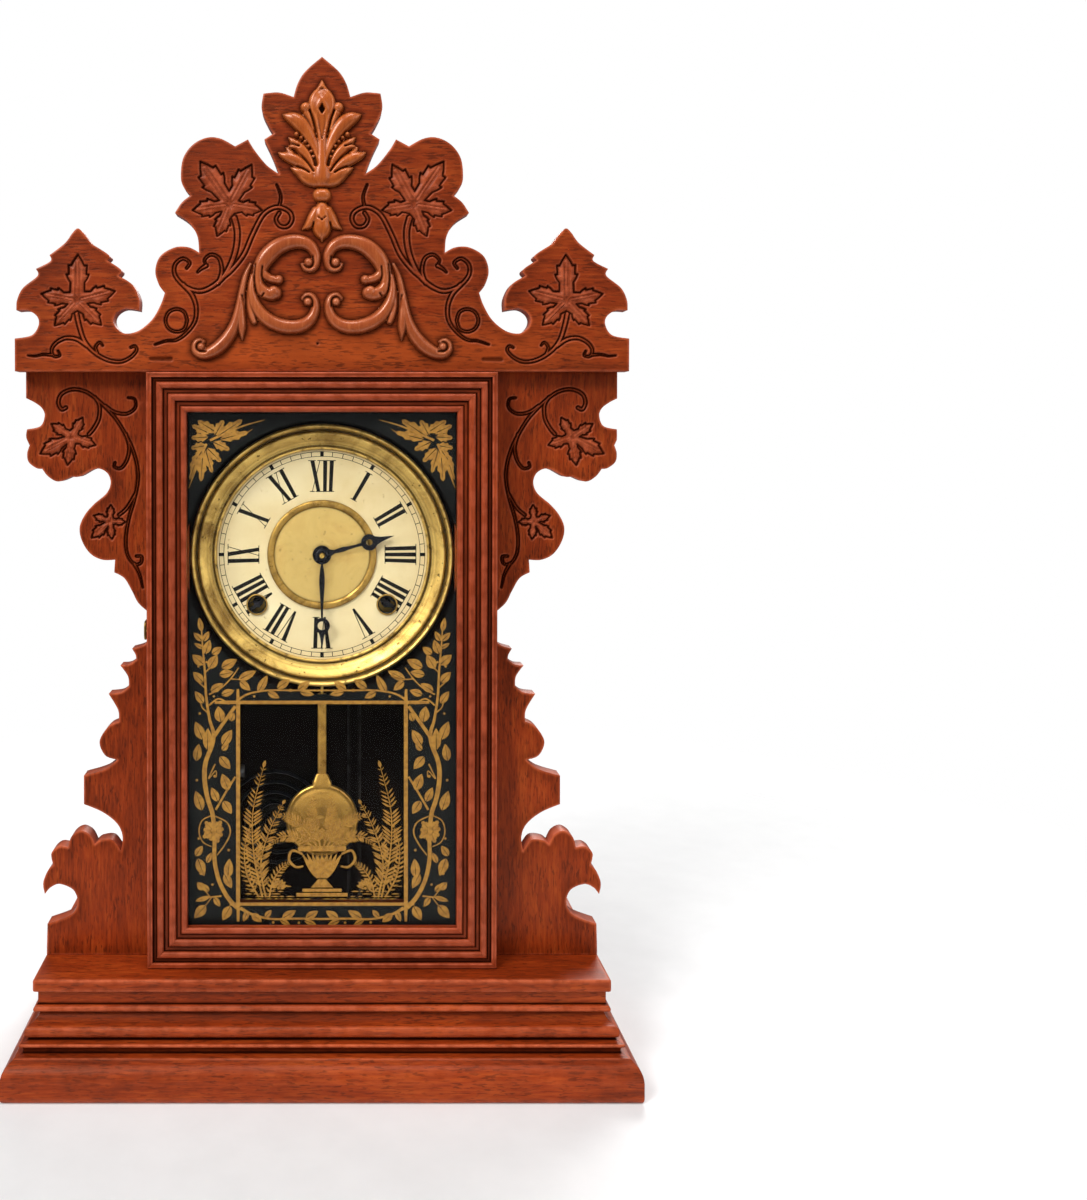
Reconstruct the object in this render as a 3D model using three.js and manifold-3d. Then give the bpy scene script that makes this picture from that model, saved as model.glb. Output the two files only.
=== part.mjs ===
// An antique shelf clock of stained wood: scroll-cut crest and side boards, a mitred door with a
// glass, a moulded hollow base, and an eight-day striking movement with a pendulum and a coil gong.
// Millimetres, +Z up, the front faces -Y. The origin is on the floor under the middle of the base.
import * as THREE from 'three';
import { mergeVertices } from 'three/addons/utils/BufferGeometryUtils.js';
import Module from 'manifold-3d';

const wasm = await Module();
wasm.setup();

// Fits
const glueLine = 0.1;
const runningGap = 0.3;

// Base
const baseHeight = 60;
const baseBoardThickness = 7;
const baseHalfWidth = 178.5;
const baseDepth = 136;
const sideFlare = 13.5;
const frontFlare = 19;

// Case
const caseHalfWidth = 101.5;
const caseDepth = 75;
const caseHeight = 371;
const caseWall = 6.5;
const backBoardThickness = 5;
const backBoardRecess = 1;
const backSeamX = 21.5;

// Scroll-cut boards
const ornamentThickness = 11;
const ornamentReach = 74;
const ornamentHeight = 367.5;
const ornamentLap = 13.5;
const crestThickness = 11;
const crestHalfWidth = 179;
const crestHeight = 182.2;
const crestBottom = 407.8;
const braceWidth = 23.5;
const braceFoot = 42;
const braceHead = 6;
const braceHeight = 130;

// Door
const doorThickness = 18;
const doorFrameWidth = 23.1;
const doorBottomGap = 0.5;
const doorTopGap = 0.8;
const doorEdgeRound = 3;
const glassThickness = 2;
const glassLip = 6.4;
const rebateWidth = 4;
const beadThickness = 4;
const hingePinRadius = 1.2;
const hingePinLength = 18;
const hingePinSeat = 6.3;

// Latch on the case's left side
const latchHeight = 257;
const latchWidth = 11;
const latchThickness = 0.8;
const latchPlateLength = 16;
const latchTongueLength = 26;
const latchStandoff = 0.8;
const latchStudRadius = 1.6;
const latchStudReach = 25;

// Dial and hands
const dialHeight = 299;
const dialRadius = 65.3;
const dialThickness = 0.8;
const dialRingInner = 28.7;
const dialRingOuter = 33;
const panRadius = 78.5;
const panDepth = 10.6;
const windingX = 39;
const windingDrop = 30;
const windingHoleRadius = 5.5;
const minuteHandLength = 57;
const hourHandLength = 44.7;
const handThickness = 0.6;
const minuteHandTurn = 180;
const hourHandTurn = 75;

// Movement
const plateHalfWidth = 62;
const plateTop = 36;
const plateBottom = -68;
const plateThickness = 1.5;
const frontPlateY = 2;
const plateSpacing = 35;
const windingArborRadius = 3;
const mainspringRadius = 24;
const mainspringWidth = 18;
const mainspringTurns = 6;
const arborRadius = 1.5;
const pivotRadius = 1;
const wheelThickness = 1.4;

// Pendulum, hammer and gong
const pendulumDrop = 22;
const pendulumLength = 140;
const pendulumY = -5;
const rodRadius = 0.8;
const bobRadius = 22;
const bobThickness = 11;
const nutRadius = 4;
const nutThickness = 3;
const gongX = -30;
const gongZ = 118;
const gongRadius = 34;
const gongTurns = 4;
const gongWireRadius = 1.2;
const hammerX = -56;
const hammerDrop = 60;
const hammerRise = 32;
const hammerHeadRadius = 4;
const hammerHeadLength = 10;

// Planes worked out from the sizes above
const backPlane = baseDepth / 2;
const caseFront = backPlane - caseDepth;
const caseTop = baseHeight + caseHeight;
const caseInside = caseHalfWidth - caseWall;
const backBoardFront = backPlane - backBoardRecess - backBoardThickness;
const ornamentBack = caseFront - glueLine;
const ornamentFront = ornamentBack - ornamentThickness;
const crestBack = ornamentFront - glueLine;
const doorBack = ornamentFront - runningGap;
const doorFront = doorBack - doorThickness;
const doorBottom = baseHeight + doorBottomGap;
const doorTop = crestBottom - doorTopGap;
const hingeX = caseHalfWidth - doorEdgeRound;
const hingeY = doorBack - doorEdgeRound;
const glassFront = doorFront + glassLip;
const glassBack = glassFront + glassThickness;
const dialBack = caseFront - 3.4;
const dialFront = dialBack - dialThickness;
const backPlateY = frontPlateY + plateThickness + plateSpacing;
const pendulumPivotZ = dialHeight - pendulumDrop;
const bobZ = pendulumPivotZ - pendulumLength;
const hammerLength = dialHeight - hammerDrop - gongZ - hammerRise;

// Finishes
const finishes = {
  frontWood: { color: 0x8a3f20, roughness: 0.45, metalness: 0 },
  carvedWood: { color: 0xa4603a, roughness: 0.45, metalness: 0 },
  caseWood: { color: 0x70361e, roughness: 0.6, metalness: 0 },
  rawWood: { color: 0x8b6a4a, roughness: 0.85, metalness: 0 },
  brass: { color: 0xa9873f, roughness: 0.35, metalness: 1 },
  dialPaper: { color: 0xe6d8b0, roughness: 0.8, metalness: 0 },
  steel: { color: 0x8a8c90, roughness: 0.35, metalness: 1 },
  bluedSteel: { color: 0x1b1d22, roughness: 0.4, metalness: 0.8 },
  iron: { color: 0x2a2826, roughness: 0.8, metalness: 0.5 },
  glass: { color: 0xbfcccc, roughness: 0.05, metalness: 0 },
};

const clock = new THREE.Group();

function addPart(name, geometry, finish) {
  const material = new THREE.MeshStandardMaterial({ ...finishes[finish], flatShading: true });
  const mesh = new THREE.Mesh(geometry, material);
  mesh.name = name;
  clock.add(mesh);
  return mesh;
}

// Mesh helpers

function enclosedVolume(position, index) {
  const corners = [new THREE.Vector3(), new THREE.Vector3(), new THREE.Vector3()];
  let volume = 0;
  for (let i = 0; i < index.length; i += 3) {
    corners.forEach((corner, k) => corner.fromBufferAttribute(position, index[i + k]));
    volume += corners[0].dot(corners[1].clone().cross(corners[2])) / 6;
  }
  return volume;
}

// Shared corners only, no triangle without area, and every face pointing out.
function closed(geometry) {
  const bare = geometry.clone();
  bare.deleteAttribute('normal');
  bare.deleteAttribute('uv');
  const merged = mergeVertices(bare, 1e-4);
  const source = merged.index.array;
  const index = [];
  for (let i = 0; i < source.length; i += 3) {
    const [a, b, c] = [source[i], source[i + 1], source[i + 2]];
    if (a !== b && b !== c && c !== a) index.push(a, b, c);
  }
  if (enclosedVolume(merged.attributes.position, index) < 0) index.reverse();
  merged.setIndex(index);
  return merged;
}

function solid(geometry) {
  const mesh = closed(geometry);
  return new wasm.Manifold(new wasm.Mesh({
    numProp: 3,
    vertProperties: new Float32Array(mesh.attributes.position.array),
    triVerts: new Uint32Array(mesh.index.array),
  }));
}

function geometryOf(manifold) {
  const mesh = manifold.getMesh();
  const geometry = new THREE.BufferGeometry();
  geometry.setAttribute('position', new THREE.BufferAttribute(new Float32Array(mesh.vertProperties), 3));
  geometry.setIndex([...mesh.triVerts]);
  return geometry;
}

function join(...geometries) {
  return geometryOf(geometries.map(solid).reduce((whole, piece) => whole.add(piece)));
}

function cut(geometry, ...tools) {
  return geometryOf(tools.map(solid).reduce((whole, tool) => whole.subtract(tool), solid(geometry)));
}

// Shape helpers

function box(low, high) {
  const [x, y, z] = high.map((value, axis) => value - low[axis]);
  return new THREE.BoxGeometry(x, y, z).translate(low[0] + x / 2, low[1] + y / 2, low[2] + z / 2);
}

// A flat shape drawn in x and z, from its front face to its back face.
function board(shape, front, back, curveSegments = 2) {
  const geometry = new THREE.ExtrudeGeometry(shape, { depth: back - front, bevelEnabled: false, curveSegments });
  return closed(geometry.rotateX(Math.PI / 2).translate(0, back, 0));
}

// A profile of radius and y, turned about a line along Y.
function turned(profile, segments, x, z) {
  const points = profile.map(([radius, y]) => new THREE.Vector2(radius, y));
  return closed(new THREE.LatheGeometry(points, segments).translate(x, 0, z));
}

function rodY(radius, front, back, x, z, segments = 10) {
  return turned([[0, front], [radius, front], [radius, back], [0, back]], segments, x, z);
}

function tubeY(inner, outer, front, back, x, z, segments = 16) {
  const profile = [[inner, front], [outer, front], [outer, back], [inner, back], [inner, front]];
  return turned(profile, segments, x, z);
}

function rodZ(radius, bottom, top, x, y, segments = 12) {
  const rod = new THREE.CylinderGeometry(radius, radius, top - bottom, segments);
  return rod.rotateX(Math.PI / 2).translate(x, y, (top + bottom) / 2);
}

function circleShape(radius) {
  const shape = new THREE.Shape();
  shape.absarc(0, 0, radius, 0, 2 * Math.PI, false);
  return shape;
}

function holePath(x, z, radius) {
  const hole = new THREE.Path();
  hole.absarc(x, z, radius, 0, 2 * Math.PI, true);
  return hole;
}

// An outline of stretches: each is a smooth curve through its points, with a corner where one
// stretch ends and the next starts.
function drawStretches(path, stretches, place) {
  stretches.forEach((stretch, i) => {
    const points = stretch.map(([a, b]) => new THREE.Vector2(...place(a, b)));
    if (i === 0) path.moveTo(points[0].x, points[0].y);
    else path.lineTo(points[0].x, points[0].y);
    if (points.length > 2) path.splineThru(points.slice(1));
    else if (points.length === 2) path.lineTo(points[1].x, points[1].y);
  });
}

function toShape(points) {
  return new THREE.Shape(points.map(([x, z]) => new THREE.Vector2(x, z)));
}

// A straight bar of one section, whose two ends are planes set by how each section point is placed.
function mitredBar(section, placeStart, placeEnd) {
  const drawn = section.map(([a, b]) => new THREE.Vector2(a, b));
  const ordered = THREE.ShapeUtils.isClockWise(drawn) ? [...section].reverse() : section;
  const contour = ordered.map(([a, b]) => new THREE.Vector2(a, b));
  const count = contour.length;
  const corners = [...ordered.map(placeStart), ...ordered.map(placeEnd)];
  const index = [];
  for (const [a, b, c] of THREE.ShapeUtils.triangulateShape(contour, [])) {
    index.push(c, b, a, count + a, count + b, count + c);
  }
  for (let i = 0; i < count; i += 1) {
    const next = (i + 1) % count;
    index.push(i, next, count + next, i, count + next, count + i);
  }
  const geometry = new THREE.BufferGeometry();
  geometry.setAttribute('position', new THREE.Float32BufferAttribute(corners.flat(), 3));
  geometry.setIndex(index);
  return closed(geometry);
}

// Base: a flat board over a front moulding and two side mouldings, mitred at the front corners

const mouldingHeight = baseHeight - baseBoardThickness - glueLine;
const mouldingDrawnHeight = 53;
const mouldingDrawnFlare = 19;

// The moulding's section: setback from the foot's face, and height.
function mouldingSection() {
  const path = new THREE.Path();
  path.moveTo(22, 0);
  path.lineTo(2.6, 0);
  path.quadraticCurveTo(0, 0.2, 0, 3.6);
  path.lineTo(0, 11.7);
  path.quadraticCurveTo(0.4, 17, 4.4, 19.4);
  path.quadraticCurveTo(7.2, 20.6, 8, 21.4);
  path.lineTo(13.6, 21.6);
  path.quadraticCurveTo(14.6, 24.4, 11, 26);
  path.lineTo(11, 27.4);
  path.lineTo(16.6, 27.6);
  path.lineTo(16.8, 28.8);
  path.quadraticCurveTo(14.2, 29.4, 14.2, 32.2);
  path.quadraticCurveTo(14.2, 35, 17, 35.3);
  path.quadraticCurveTo(22.6, 36.2, 23.8, 40.8);
  path.quadraticCurveTo(19.4, 41, 19.4, 43);
  path.quadraticCurveTo(19.6, 44.8, 22.4, 45);
  path.lineTo(22.4, mouldingDrawnHeight);
  path.lineTo(32, mouldingDrawnHeight);
  return path.getPoints(4).map((point) => [point.x, point.y * mouldingHeight / mouldingDrawnHeight]);
}

function moulding() {
  const section = mouldingSection();
  const sideScale = sideFlare / mouldingDrawnFlare;
  const frontScale = frontFlare / mouldingDrawnFlare;
  const edgeX = (setback) => baseHalfWidth - setback * sideScale;
  const edgeY = (setback) => -backPlane + setback * frontScale;
  const front = mitredBar(
    section,
    ([setback, z]) => [-edgeX(setback) + glueLine, edgeY(setback), z],
    ([setback, z]) => [edgeX(setback) - glueLine, edgeY(setback), z],
  );
  addPart('base_front_moulding', front, 'frontWood');
  for (const [name, side] of [['base_left_moulding', -1], ['base_right_moulding', 1]]) {
    const bar = mitredBar(
      section,
      ([setback, z]) => [side * edgeX(setback), edgeY(setback) + glueLine, z],
      ([setback, z]) => [side * edgeX(setback), backPlane, z],
    );
    addPart(name, bar, 'frontWood');
  }
}

function baseBoard() {
  const halfWidth = baseHalfWidth - sideFlare;
  const front = -backPlane + frontFlare;
  const slab = box([-halfWidth, front, baseHeight - baseBoardThickness], [halfWidth, backPlane, baseHeight]);
  const pinHole = rodZ(hingePinRadius + glueLine, baseHeight - hingePinSeat, baseHeight + 1, hingeX, hingeY);
  addPart('base_top_board', cut(slab, pinHole), 'frontWood');
}

// Case: two sides, a top, and two back boards let in between them

function caseBoards() {
  const sideTop = caseTop - caseWall - glueLine;
  const bottom = baseHeight + glueLine;
  for (const [name, low, high] of [
    ['case_left_side', -caseHalfWidth, -caseInside],
    ['case_right_side', caseInside, caseHalfWidth],
  ]) {
    addPart(name, box([low, caseFront, bottom], [high, backPlane, sideTop]), 'caseWood');
  }
  const top = box([-caseHalfWidth, caseFront, caseTop - caseWall], [caseHalfWidth, backPlane, caseTop]);
  addPart('case_top', top, 'rawWood');
  const backEnd = backBoardFront + backBoardThickness;
  for (const [name, low, high] of [
    ['back_board_left', -caseInside + glueLine, backSeamX - glueLine],
    ['back_board_right', backSeamX + glueLine, caseInside - glueLine],
  ]) {
    addPart(name, box([low, backBoardFront, bottom], [high, backEnd, sideTop]), 'caseWood');
  }
}

// Crest, side boards and brace

// Half of the crest, as distance from the middle and height above its lower edge.
const crestStretches = [
  [[0, 182.2], [9.5, 174], [14, 167], [16.5, 159]],
  [[16.5, 159], [25, 161.6], [34, 161]],
  [[34, 161], [35, 152], [31.5, 143.5], [28, 138]],
  [[28, 138], [33.5, 134.5]],
  [[33.5, 134.5], [29, 125], [25, 114.5]],
  [[25, 114.5], [32, 119.5], [39, 128], [43, 134.5]],
  [[43, 134.5], [50.5, 130.5]],
  [[50.5, 130.5], [59, 135], [67, 135.5], [75, 131.5], [80.5, 124], [82, 114.5], [81, 108], [76.5, 102]],
  [[76.5, 102], [81.5, 98], [85.5, 92]],
  [[85.5, 92], [77.5, 86.5], [72.5, 78.5], [71.5, 69]],
  [[71.5, 69], [77.5, 72], [85.5, 72], [94, 67], [97, 58.5], [95, 50.5], [91.5, 45.5]],
  [[91.5, 45.5], [94, 38.5], [99, 30], [107, 23.5], [115, 22], [120, 25.5], [121.5, 30], [119.5, 34],
    [114.5, 36.5], [106.5, 35.5]],
  [[106.5, 35.5], [106.5, 42.5], [110.5, 50.5], [118.5, 55.5]],
  [[118.5, 55.5], [117, 59], [125, 64.5]],
  [[125, 64.5], [124, 67.5], [134, 74]],
  [[134, 74], [139, 80.5], [142, 83], [145, 80.5], [149.5, 74.5], [158.5, 67.5]],
  [[158.5, 67.5], [158, 64], [166.5, 59.5]],
  [[166.5, 59.5], [165.5, 55.5], [174, 48.5], [177.5, 41.5], [178, 35.5]],
  [[178, 35.5], [171.5, 35.5], [166, 32], [165, 27], [169, 21], [179, 19]],
  [[179, 19], [179, 0]],
];
const [, crestDrawnHeight] = crestStretches[0][0];
const [crestDrawnHalfWidth] = crestStretches.at(-1).at(-1);
const crestScale = crestHeight / crestDrawnHeight;

function crestShape() {
  const place = (side) => (x, z) => [
    side * x * crestHalfWidth / crestDrawnHalfWidth,
    crestBottom + z * crestScale,
  ];
  const shape = new THREE.Shape();
  drawStretches(shape, crestStretches, place(1));
  const back = crestStretches.map((stretch) => [...stretch].reverse()).reverse();
  const mirrored = new THREE.Path();
  drawStretches(mirrored, back, place(-1));
  shape.lineTo(...place(-1)(crestDrawnHalfWidth, 0));
  shape.curves.push(...mirrored.curves);
  return shape;
}

// One side board, as distance past the case side and height above the base board.
const ornamentStretches = [
  [[63, 0], [62.5, 18.5]],
  [[62.5, 18.5], [48.5, 24], [44.5, 31.5], [47, 39], [55, 42.5], [60.5, 40.5], [64, 36.5]],
  [[64, 36.5], [65, 43], [62.5, 50], [59, 54]],
  [[59, 54], [60, 61], [55.5, 65], [50, 64.5]],
  [[50, 64.5], [48, 71], [42.5, 74.5], [37, 72], [34, 66.5]],
  [[34, 66.5], [30.5, 68.8], [23.5, 69], [18.5, 62.5]],
  [[18.5, 62.5], [17.5, 71], [20.5, 78.5], [29, 85.5], [40.5, 90.5]],
  [[40.5, 90.5], [40.5, 107.5]],
  [[40.5, 107.5], [27.5, 111.5], [20.5, 117]],
  [[20.5, 117], [27.5, 119.5], [31, 126.5], [29.5, 132], [25, 137.5], [19.5, 140]],
  [[19.5, 140], [20, 147], [25.5, 156.5]],
  [[25.5, 156.5], [18, 157.5], [13.5, 161]],
  [[13.5, 161], [14, 167], [18.5, 173.5]],
  [[18.5, 173.5], [13.5, 174], [9, 177]],
  [[9, 177], [9.5, 180], [11.5, 183.5]],
  [[11.5, 183.5], [5, 185.5], [0, 189.5]],
  [[0, 189.5], [0, 204]],
  [[0, 204], [7.5, 210.5], [11.5, 218], [16, 225.5], [22, 229]],
  [[22, 229], [21.5, 236.5]],
  [[21.5, 236.5], [29, 236.5], [36, 240], [41, 247.5], [42.5, 255.5], [39.5, 263], [34, 269.5],
    [26.5, 276], [24, 282], [25.5, 287.5], [30, 290.5], [35, 290], [42.5, 286], [47, 286]],
  [[47, 286], [55, 283], [61, 286], [64.5, 290.5]],
  [[64.5, 290.5], [68, 291], [72.5, 294.5], [73.5, 299.5], [72, 304.5]],
  [[72, 304.5], [74, 309.5], [73.5, 314]],
  [[73.5, 314], [65.5, 316], [63, 322], [64.5, 326.5], [69, 330], [74, 332.5]],
  [[74, 332.5], [74, 367.5]],
];
const [ornamentDrawnReach, ornamentDrawnHeight] = ornamentStretches.at(-1).at(-1);

function ornamentShape(side) {
  const place = (x, z) => [
    side * (caseHalfWidth + x * ornamentReach / ornamentDrawnReach),
    baseHeight + glueLine + z * (ornamentHeight - glueLine) / ornamentDrawnHeight,
  ];
  const shape = new THREE.Shape();
  const innerX = side * (caseHalfWidth - ornamentLap);
  shape.moveTo(innerX, place(0, 0)[1]);
  const outline = new THREE.Path();
  drawStretches(outline, ornamentStretches, place);
  shape.lineTo(...place(...ornamentStretches[0][0]));
  shape.curves.push(...outline.curves);
  shape.currentPoint.copy(outline.currentPoint);
  shape.lineTo(innerX, place(0, ornamentDrawnHeight)[1]);
  return shape;
}

function scrollBoards() {
  const pinHole = rodZ(hingePinRadius + glueLine, crestBottom - 1, crestBottom + hingePinSeat, hingeX, hingeY);
  const crest = board(crestShape(), crestBack - crestThickness, crestBack);
  addPart('crest_board', cut(crest, pinHole), 'frontWood');
  for (const [name, side] of [['left_side_ornament', -1], ['right_side_ornament', 1]]) {
    addPart(name, board(ornamentShape(side), ornamentFront, ornamentBack), 'frontWood');
  }
}

// The wedge behind the crest.
function brace() {
  const foot = caseTop + glueLine;
  const front = crestBack + glueLine;
  const section = [
    [front, foot],
    [front + braceFoot, foot],
    [front + braceHead, foot + braceHeight],
    [front, foot + braceHeight],
  ];
  const wedge = mitredBar(
    section,
    ([y, z]) => [-braceWidth / 2, y, z],
    ([y, z]) => [braceWidth / 2, y, z],
  );
  addPart('crest_brace', wedge, 'rawWood');
}

// Carved ornaments glued on the crest's face

const crestFront = crestBack - crestThickness;
const carvingFront = crestFront - glueLine;
const palmetteDepth = 6;
const scrollDepth = 6.5;

// Half of the palmette, as distance from the middle and height above the crest's lower edge.
const palmetteStretches = [
  [[0, 168], [4.4, 163], [7.6, 159]],
  [[7.6, 159], [7.4, 152], [4.6, 147.5]],
  [[4.6, 147.5], [9, 150.5], [13, 148.5]],
  [[13, 148.5], [16.5, 150], [21.5, 148.5]],
  [[21.5, 148.5], [19.5, 140], [14.5, 132.5]],
  [[14.5, 132.5], [19, 129.5], [25.5, 128.5]],
  [[25.5, 128.5], [21, 121], [13, 117.5]],
  [[13, 117.5], [8, 113], [5.5, 106]],
];

const bellStretches = [
  [[5.5, 106], [5.6, 102.5], [3, 99]],
  [[3, 99], [4.6, 93], [7.6, 87]],
  [[7.6, 87], [10.5, 81.5], [4, 78.5]],
];

function mirroredShape(stretches) {
  const place = (side) => (x, z) => [side * x * crestScale, crestBottom + z * crestScale];
  const shape = new THREE.Shape();
  drawStretches(shape, stretches, place(1));
  const back = stretches.map((stretch) => [...stretch].reverse()).reverse();
  const mirrored = new THREE.Path();
  drawStretches(mirrored, back, place(-1));
  const last = back[0][0];
  shape.lineTo(...place(-1)(last[0], last[1]));
  shape.curves.push(...mirrored.curves);
  return shape;
}

function palmette() {
  const shape = mirroredShape([...palmetteStretches, ...bellStretches]);
  const body = board(shape, carvingFront - palmetteDepth, carvingFront, 2);
  addPart('crest_palmette', body, 'carvedWood');
}

// A carved stem of half-round section along a smooth line, its flat side on the crest's face.
function carvedStem(points, width, steps) {
  const place = ([x, z]) => new THREE.Vector3(x * crestScale, carvingFront, crestBottom + z * crestScale);
  const section = new THREE.Shape();
  section.absarc(0, 0, width * crestScale / 2, 0, 2 * Math.PI, false);
  const stem = new THREE.ExtrudeGeometry(section, {
    extrudePath: new THREE.CatmullRomCurve3(points.map(place)),
    steps,
    curveSegments: 3,
    bevelEnabled: false,
  });
  return closed(stem);
}

function knob([x, z], radius) {
  const ball = new THREE.SphereGeometry(radius * crestScale, 10, 6);
  return ball.translate(x * crestScale, carvingFront, crestBottom + z * crestScale);
}

// The left scroll's lines, as distance from the middle and height above the crest's lower edge.
const scrollArcs = [
  { width: 7, steps: 12, points: [[5.5, 63], [6, 71], [12, 78.5], [20, 79.8], [29, 76.5], [36, 70], [40, 62],
    [41, 55]] },
  { width: 7, steps: 11, points: [[41, 57], [40.5, 47.5], [37, 37], [30, 28], [20, 23], [10, 25.5], [4.5, 33],
    [5.5, 40]] },
  { width: 6, steps: 11, points: [[41, 58], [45.5, 48], [47.5, 37.5], [52, 25], [58.5, 15.5], [66, 10.5],
    [72.5, 11]] },
  { width: 5, steps: 5, points: [[36, 66], [30, 60], [27, 52], [28, 46]] },
];
const scrollKnobs = [
  { at: [8.5, 62.5], radius: 4.6 },
  { at: [8.5, 40.5], radius: 4.6 },
  { at: [71.5, 14], radius: 4.6 },
];

function scrolls() {
  const behind = box(
    [-crestHalfWidth, carvingFront, crestBottom],
    [crestHalfWidth, carvingFront + scrollDepth * 2, crestBottom + crestHeight],
  );
  for (const [name, side] of [['crest_scroll_left', -1], ['crest_scroll_right', 1]]) {
    const sided = ([x, z]) => [side * x, z];
    const stems = scrollArcs.map(({ width, steps, points }) => carvedStem(points.map(sided), width, steps));
    const knobs = scrollKnobs.map(({ at, radius }) => knob(sided(at), radius));
    addPart(name, cut(join(...stems, ...knobs), behind), 'carvedWood');
  }
}

// Door: four mitred rails, a glass held by beads, hinge pins and the latch

const doorDrawnWidth = 23.1;
const grooveDepth = 2.4;

// The frame's section: distance in from the outer edge, and y.
function doorSection(hingeSide) {
  const groove = doorFront + grooveDepth;
  const path = new THREE.Path();
  path.moveTo(doorFrameWidth - rebateWidth, doorBack);
  if (hingeSide) {
    path.lineTo(doorEdgeRound, doorBack);
    path.absarc(doorEdgeRound, doorBack - doorEdgeRound, doorEdgeRound, Math.PI / 2, Math.PI, false);
  } else {
    path.lineTo(0, doorBack);
  }
  const across = (share) => share * doorFrameWidth / doorDrawnWidth;
  path.lineTo(0, doorFront + 0.6);
  path.lineTo(across(0.6), doorFront);
  path.lineTo(across(2.8), doorFront);
  path.lineTo(across(3.1), groove);
  path.lineTo(across(5.5), groove);
  path.quadraticCurveTo(across(5.6), doorFront, across(7.5), doorFront);
  path.quadraticCurveTo(across(9.4), doorFront, across(9.5), groove);
  path.lineTo(across(12.3), groove);
  path.quadraticCurveTo(across(12.4), doorFront, across(14.5), doorFront);
  path.quadraticCurveTo(across(16.6), doorFront, across(16.7), groove);
  path.lineTo(across(19.5), groove);
  path.lineTo(across(19.8), doorFront + 1.2);
  path.lineTo(across(22.6), doorFront + 1.2);
  path.lineTo(doorFrameWidth, doorFront + 1.8);
  path.lineTo(doorFrameWidth, glassFront - glueLine);
  path.lineTo(doorFrameWidth - rebateWidth, glassFront - glueLine);
  return path.getPoints(3).map((point) => [point.x, point.y]);
}

function doorFrame() {
  const pinRoom = hingePinLength - hingePinSeat + runningGap;
  const pinTools = [
    rodZ(hingePinRadius + runningGap, doorBottom - 1, doorBottom + pinRoom, hingeX, hingeY),
    rodZ(hingePinRadius + runningGap, doorTop - pinRoom, doorTop + 1, hingeX, hingeY),
  ];
  for (const [name, side] of [['door_left_stile', -1], ['door_right_stile', 1]]) {
    const bar = mitredBar(
      doorSection(side > 0),
      ([inward, y]) => [side * (caseHalfWidth - inward), y, doorBottom + inward + glueLine],
      ([inward, y]) => [side * (caseHalfWidth - inward), y, doorTop - inward - glueLine],
    );
    addPart(name, side > 0 ? cut(bar, ...pinTools) : bar, 'frontWood');
  }
  for (const [name, edge, up] of [['door_bottom_rail', doorBottom, 1], ['door_top_rail', doorTop, -1]]) {
    const bar = mitredBar(
      doorSection(false),
      ([inward, y]) => [-caseHalfWidth + inward, y, edge + up * inward],
      ([inward, y]) => [caseHalfWidth - inward, y, edge + up * inward],
    );
    const corner = cornerClearance();
    addPart(name, cut(bar, ...pinTools, corner), 'frontWood');
  }
}

// What is taken off the rails' back corner at the hinge, so that they round it as the stile does.
function cornerClearance() {
  const reach = doorEdgeRound + 1;
  const block = box(
    [hingeX, hingeY, doorBottom - 1],
    [hingeX + reach, hingeY + reach, doorTop + 1],
  );
  return cut(block, rodZ(doorEdgeRound, doorBottom - 2, doorTop + 2, hingeX, hingeY, 24));
}

function doorGlassAndPins() {
  const halfWidth = caseHalfWidth - doorFrameWidth + rebateWidth - runningGap;
  const rise = doorFrameWidth - rebateWidth + runningGap;
  const [low, high] = [doorBottom + rise, doorTop - rise];
  addPart('door_glass', box([-halfWidth, glassFront, low], [halfWidth, glassBack, high]), 'glass');
  const frame = box(
    [-halfWidth, glassBack + glueLine, low],
    [halfWidth, glassBack + glueLine + beadThickness, high],
  );
  const window = box(
    [-halfWidth + rebateWidth, glassBack - 1, low + rebateWidth],
    [halfWidth - rebateWidth, glassBack + beadThickness + 1, high - rebateWidth],
  );
  addPart('glass_beads', cut(frame, window), 'caseWood');
  const bottomPin = baseHeight - hingePinSeat + glueLine;
  const topPin = crestBottom + hingePinSeat - glueLine;
  const pin = (low) => rodZ(hingePinRadius, low, low + hingePinLength, hingeX, hingeY);
  addPart('hinge_pin_bottom', pin(bottomPin), 'steel');
  addPart('hinge_pin_top', pin(topPin - hingePinLength), 'steel');
}

const latchPlateBack = caseFront + latchPlateLength - 2;
const latchPlateFront = latchPlateBack - latchPlateLength;
const nailHeadRadius = 1.9;

function latchShape(from, to) {
  const low = latchHeight - latchWidth / 2;
  return box([0, from, low], [latchThickness, to, low + latchWidth]);
}

function latch() {
  const face = -caseHalfWidth - glueLine;
  const rodX = (radius, from, to, y) => (
    rodY(radius, from, to, 0, 0).rotateZ(-Math.PI / 2).translate(0, y, latchHeight)
  );
  const plate = latchShape(latchPlateFront, latchPlateBack).translate(face - latchThickness, 0, 0);
  const nailYs = [caseFront + 3, latchPlateBack - 3.5];
  const heads = nailYs.map((y) => rodX(nailHeadRadius, face - latchThickness - 0.7, face - 0.2, y));
  addPart('latch_plate', join(plate, ...heads), 'brass');
  const tongueBack = latchPlateFront - runningGap;
  const tongueFace = -caseHalfWidth - latchStandoff;
  const tongue = latchShape(tongueBack - latchTongueLength, tongueBack).translate(tongueFace - latchThickness, 0, 0);
  const studY = caseFront - latchStudReach + 2;
  const hole = rodX(latchStudRadius + runningGap, tongueFace - latchThickness - 1, tongueFace + 1, studY);
  addPart('latch_tongue', cut(tongue, hole), 'brass');
}

// Dial

const mountHalfHeight = 84;
const mountThickness = 6;
const mountOpening = 66;
const mountSlotHalfWidth = 26;
const grommetWall = 1.3;

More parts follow.
